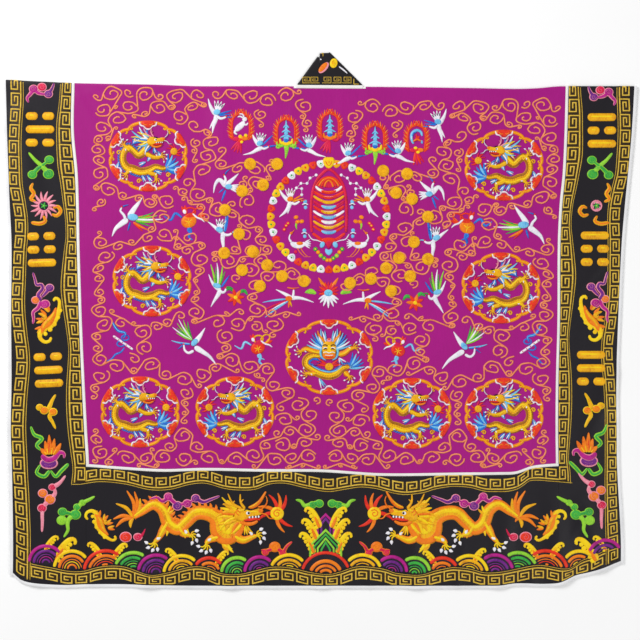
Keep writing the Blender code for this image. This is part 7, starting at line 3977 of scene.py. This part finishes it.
@dataclass
class BackEmbroidery:
    """Everything embroidered on the purple ground."""

    def build(self) -> None:
        """Makes each group of motifs as a piece."""
        Scroll().build()
        for n, spot in enumerate(ROUNDELS, 1):
            needle = Needle(f"dragon_roundel_{n}", SEED + n)
            RoundelRing().draw(needle.at(spot.x, spot.y))
            ProfileDragon().draw(needle.at(*spot, level=1))
            needle.make("gold_thread")
        needle = Needle("centre_roundel")
        RoundelRing(228, 190).draw(needle.at(*CENTRE_ROUNDEL))
        FrontDragon().draw(needle.at(*CENTRE_ROUNDEL, level=1))
        needle.make("gold_thread")
        needle = Needle("aureoles")
        for spot, figure, tail in AUREOLES:
            here = needle.at(*spot)
            if tail is Thread.GREEN:
                here.stroke(Thread.LIME, [(0, -30), (1, -46), (-2, -68)], (19, 11, 3), 0, (0.5, 1.2))
                for sign in (-1, 1):
                    here.curl(Thread.LIME, 22 * sign, -35, 7, 1.2, 90, 6, 0.4, sign < 0)
            else:
                lean = -10 if spot.x < 100 else 24
                here.spray((tail, Thread.ROSE), -2, -34, (236 + lean, 252 + lean, 268 + lean, 284 + lean), 36,
                           9, 0)
            FlameRing().draw(here)
            figure.draw(here.at(0, 0, size=0.92, level=1))
        needle.make("orange_thread")
        needle = Needle("birds")
        for spot, bird in BIRDS:
            bird.draw(needle.at(*spot))
        needle.make("white_thread")
        needle = Needle("flowers")
        for spot, flower in FLOWERS:
            flower.draw(needle.at(*spot))
        needle.make("orange_thread")
        needle = Needle("coins")
        for n, (x, y) in enumerate(COINS):
            Coin().draw(needle.at(x, y, 15 * n, level=5))
        needle.make("gold_thread")
        needle = Needle("bead_ring")
        BeadRing().draw(needle.at(*CENTRE))
        needle.make("yellow_thread")
        needle = Needle("temple_tower")
        here = needle.at(*TOWER)
        TempleTower().draw(here)
        for mirror in (False, True):
            CentreSide().draw(here.at(0, 0, mirror=mirror))
        needle.make("red_thread")


@dataclass
class BorderEmbroidery:
    """Everything embroidered on the black borders, apart from the frets."""

    middle: float = 15.0

    def build(self) -> None:
        """Makes the two columns and the hem's groups."""
        for side, figures in COLUMNS.items():
            needle = Needle(f"border_motifs_{side.word}")
            for spot, figure in figures:
                figure.draw(needle.at(*spot))
            needle.make("gold_thread")
        self.sea()
        for side in Side:
            mirror = side is Side.RIGHT
            needle = Needle(f"hem_dragon_{side.word}")
            HemDragon().draw(needle.at(*(Spot(340, -520, mirror=True) if mirror else Spot(-308, -520))))
            needle.make("orange_thread")
            needle = Needle(f"hem_clouds_{side.word}")
            self.clouds(needle.at(2 * self.middle if mirror else 0, 0, mirror=mirror))
            needle.make("violet_thread")

    @staticmethod
    def clouds(needle: Needle) -> None:
        """Draws the hem's clouds, bats and pearls on one half.

        Args:
            needle: the needle, at the place of what it draws.
        """
        HEM_CLOUD.draw(needle.at(-640, -508))
        Bat().draw(needle.at(-573, -535, 242, 0.86))
        LONG_CLOUD.draw(needle.at(-355, -476))
        for x, size, thread in ((-511, 34, Thread.RED), (-479, 26, Thread.ROSE)):
            needle.oval(Thread.PINK, x, -570, size, 0.86 * size, 0, 0, 1)
            needle.oval(thread, x, -570, size - 4, 0.86 * size - 4, 0, 1, 1)
            needle.curl(Thread.PINK, x, -570, 0.27 * size, 1.3, 60, 2.2, 3.4)
        needle.stroke(Thread.ROSE, [(-474, -572), (-466, -562), (-459, -548)], (9, 7, 3), 0.5, (0.5, 1.4))
        Pearl(Thread.YELLOW, (Thread.RED, Thread.ORANGE), 37, (34, 58, 84, 132, 170, 262, 290), 54, 11).draw(
            needle.at(-113, -508))
        WAVE_CLOUD.draw(needle.at(-117, -600))
        CENTRE_CLOUD.draw(needle.at(-30, -484))

    def sea(self) -> None:
        """Makes the waves, the foam and the mountain in their midst."""
        needle = Needle("hem_sea")
        bands = ((4.8, 9.5, True), (26.5, 12.0, False), (39.0, 9.0, False), (50.0, 9.0, False))
        centre = Wave(self.middle, -606, 69, Thread.RED, Thread.ORANGE, len(WAVES), 7.5, bands)
        waves = [centre]
        for rank, wave in enumerate(WAVES):
            lift = 15 if rank == 0 else 0
            waves.append(wave._replace(front=rank))
            waves.append(wave._replace(x=2 * self.middle - wave.x, top=wave.top + lift, front=rank))
        for mirror in (False, True):
            half = needle.at(2 * self.middle if mirror else 0, 0, mirror=mirror)
            for x, y, size, flip in FOAM:
                Foam(size).draw(half.at(x, y, mirror=flip))
            for x, y in ((-22, -507), (-30, -538), (-36, -574)):
                Foam(1.16).draw(half.at(x, y, -8, level=0.5))
        Peak((Thread.MAGENTA, Thread.VIOLET, Thread.MAGENTA), 25, -507, -531, -612).draw(
            needle.at(self.middle, 0))
        Peak((Thread.LIME, Thread.GREEN, Thread.LIME, Thread.GREEN, Thread.LIME), 44, -548, -590, -640).draw(
            needle.at(self.middle, 0, level=3))
        Sea(tuple(waves), self.floor).draw(needle)
        needle.make("violet_thread")

    @staticmethod
    def floor(x: Array) -> Array:
        """Where the hem's outer fret begins, which hides the feet of the waves."""
        keys, values = np.array(OUTER_LINE, float).T
        return smooth_curve(keys, values, x) + 3.0


@dataclass
class CollarEmbroidery:
    """The fret and the petals on the folded collar, as far as it shows."""

    collar: Collar
    pitch: float = 27.0
    fret_width: float = 21.0

    def on_collar(self, points: Array) -> Array:
        """Lays stitches on the collar's upper face."""
        x, y, height = points.T
        return np.stack([x, y, self.collar.upper_top(x, y) + height], 1)

    def keys(self, needle: Needle, low: float, high: float, y: float, slope: int = 1) -> None:
        """Lays a row of fret keys from one x to another.

        Args:
            needle: the needle, at the place of what it draws.
            low: the lower bound.
            high: the upper bound.
            y: plan y.
            slope: 1 or -1, for which way the keys face.
        """
        count = max(1, round((high - low) / self.pitch))
        step = (high - low) / count
        for n in range(count):
            key = needle.at(low + (n + 0.5) * step, y, 0, self.fret_width / 36, slope < 0)
            for patch in SquareKey(line=3.2).needle().patches:
                points = patch.points.copy()
                points[:, :2] = key.to_plan(points[:, :2])
                needle.patches.append(patch._replace(points=points))

    def petals(self, needle: Needle) -> None:
        """Draws what shows of the next motif, above the fret and right of the join.

        Args:
            needle: the needle, at the place of what it draws.
        """
        foot = LAY.fold_y
        needle.oval(Thread.PINK, 10, foot + 40, 38, 18, 48, 0, 1.0)
        needle.oval(Thread.ORANGE, 8, foot + 41, 34, 14, 48, 1.2, 1.2)
        needle.oval(Thread.YELLOW, 36, foot + 52, 21, 27, -12, 0, 1.0)
        needle.curl(Thread.YELLOW, 36, foot + 52, 7.4, 1.4, 80, 4.6, 2)
        needle.curl(Thread.ORANGE, 36, foot + 52, 4.4, 1.0, 80, 1.6, 4)
        needle.stroke(Thread.WHITE, [(50, foot + 43), (62, foot + 34), (72, foot + 25)], (4, 5, 3), 0.6)
        needle.stroke(Thread.FRET, [(4, foot + 78), (8, foot + 78), (8, foot + 70)], 3, 0.6, cornered=True)
        needle.oval(Thread.WHITE, 2, foot + 62, 4.4, 0, 0, 0.6, 0.8)

    def build(self) -> None:
        """Makes the collar's embroidery."""
        needle = Needle("collar_embroidery")
        middle = LAY.fold_y + self.fret_width / 2 - 4.6
        self.keys(needle, -45.0, -2.6, middle)
        self.keys(needle, 5.0, 84.0, middle, -1)
        needle.stroke(Thread.FRET, [(89, middle + 5), (89, middle - 9), (102, middle - 9)], 3, 0.6,
                      cornered=True)
        self.petals(needle)
        needle.make("fret_thread", self.on_collar)


@dataclass
class Studio:
    """The floor, the light and the camera of the picture."""

    view_width: float = 1.6832
    view_centre: tuple[float, float, float] = (0.0, 0.0007, 0.005)
    camera_height: float = 4.4
    sensor: float = 36.0
    floor_reach: float = 8.0
    floor_drop: float = 0.0002
    key_light: tuple = ((-2.6, 2.4, 3.2), 2.0, 132.0)
    fill_light: tuple = ((2.8, -1.6, 3.4), 3.0, 46.0)
    surround: float = 0.44

    def build(self) -> None:
        """Makes the whole studio."""
        self.floor()
        self.lights()
        self.camera()

    def floor(self) -> None:
        """The pale floor, marked as stage."""
        reach = self.floor_reach
        corners = [(-reach, -reach, 0), (reach, -reach, 0), (reach, reach, 0), (-reach, reach, 0)]
        mesh = bpy.data.meshes.new("floor")
        mesh.from_pydata([(x, y, z - self.floor_drop) for x, y, z in corners], [], [(0, 1, 2, 3)])
        mesh.materials.append(PaleFloor().material())
        floor = bpy.data.objects.new("floor", mesh)
        bpy.context.scene.collection.objects.link(floor)
        floor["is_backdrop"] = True

    def area_light(self, name: str, place: tuple, size: float, power: float) -> None:
        """A square soft light that looks at the robe.

        Args:
            name: its name.
            place: where it is, in metres.
            size: the length of its sides.
            power: its power in watts.
        """
        data = bpy.data.lights.new(name, "AREA")
        data.shape = "SQUARE"
        data.size = size
        data.energy = power
        light = bpy.data.objects.new(name, data)
        light.location = place
        aim = -np.array(place)
        turn = math.atan2(math.hypot(aim[0], aim[1]), -aim[2])
        light.rotation_euler = (0.0, 0.0, 0.0)
        light.rotation_mode = "AXIS_ANGLE"
        axis = np.array([-aim[1], aim[0], 0.0])
        norm = np.linalg.norm(axis) or 1.0
        light.rotation_axis_angle = (-turn, *(axis / norm))
        bpy.context.scene.collection.objects.link(light)

    def lights(self) -> None:
        """Two soft lights from above on either side, and a pale surround."""
        self.area_light("key_light", *self.key_light)
        self.area_light("fill_light", *self.fill_light)
        world = bpy.data.worlds.new("pale_surround")
        world.use_nodes = True
        backdrop = world.node_tree.nodes["Background"]
        backdrop.inputs["Color"].default_value = (1.0, 1.0, 1.0, 1.0)
        backdrop.inputs["Strength"].default_value = self.surround
        bpy.context.scene.world = world

    def camera(self) -> None:
        """The camera, straight above, framed as the photograph is."""
        data = bpy.data.cameras.new("camera")
        data.sensor_width = self.sensor
        data.lens = self.sensor * (self.camera_height - self.view_centre[2]) / self.view_width
        camera = bpy.data.objects.new("camera", data)
        camera.location = (self.view_centre[0], self.view_centre[1], self.camera_height)
        bpy.context.scene.collection.objects.link(camera)
        bpy.context.scene.camera = camera
        bpy.context.scene.view_settings.view_transform = "Standard"


def corners(box: tuple) -> list[list[float]]:
    """A box's two corners as plain lists."""
    return [[float(value) for value in corner] for corner in box]


def main() -> None:
    """Builds the robe piece by piece and reports each."""
    logging.basicConfig(level=logging.INFO, format="%(name)s: %(message)s")
    Cloth().build()
    collar = Collar()
    collar.build()
    Frets().build()
    BackEmbroidery().build()
    BorderEmbroidery().build()
    CollarEmbroidery(collar).build()
    Studio().build()
    sizes = {"solids": corners(SOLID_BOX), "dressed": corners(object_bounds())}


if __name__ == "__main__":
    main()
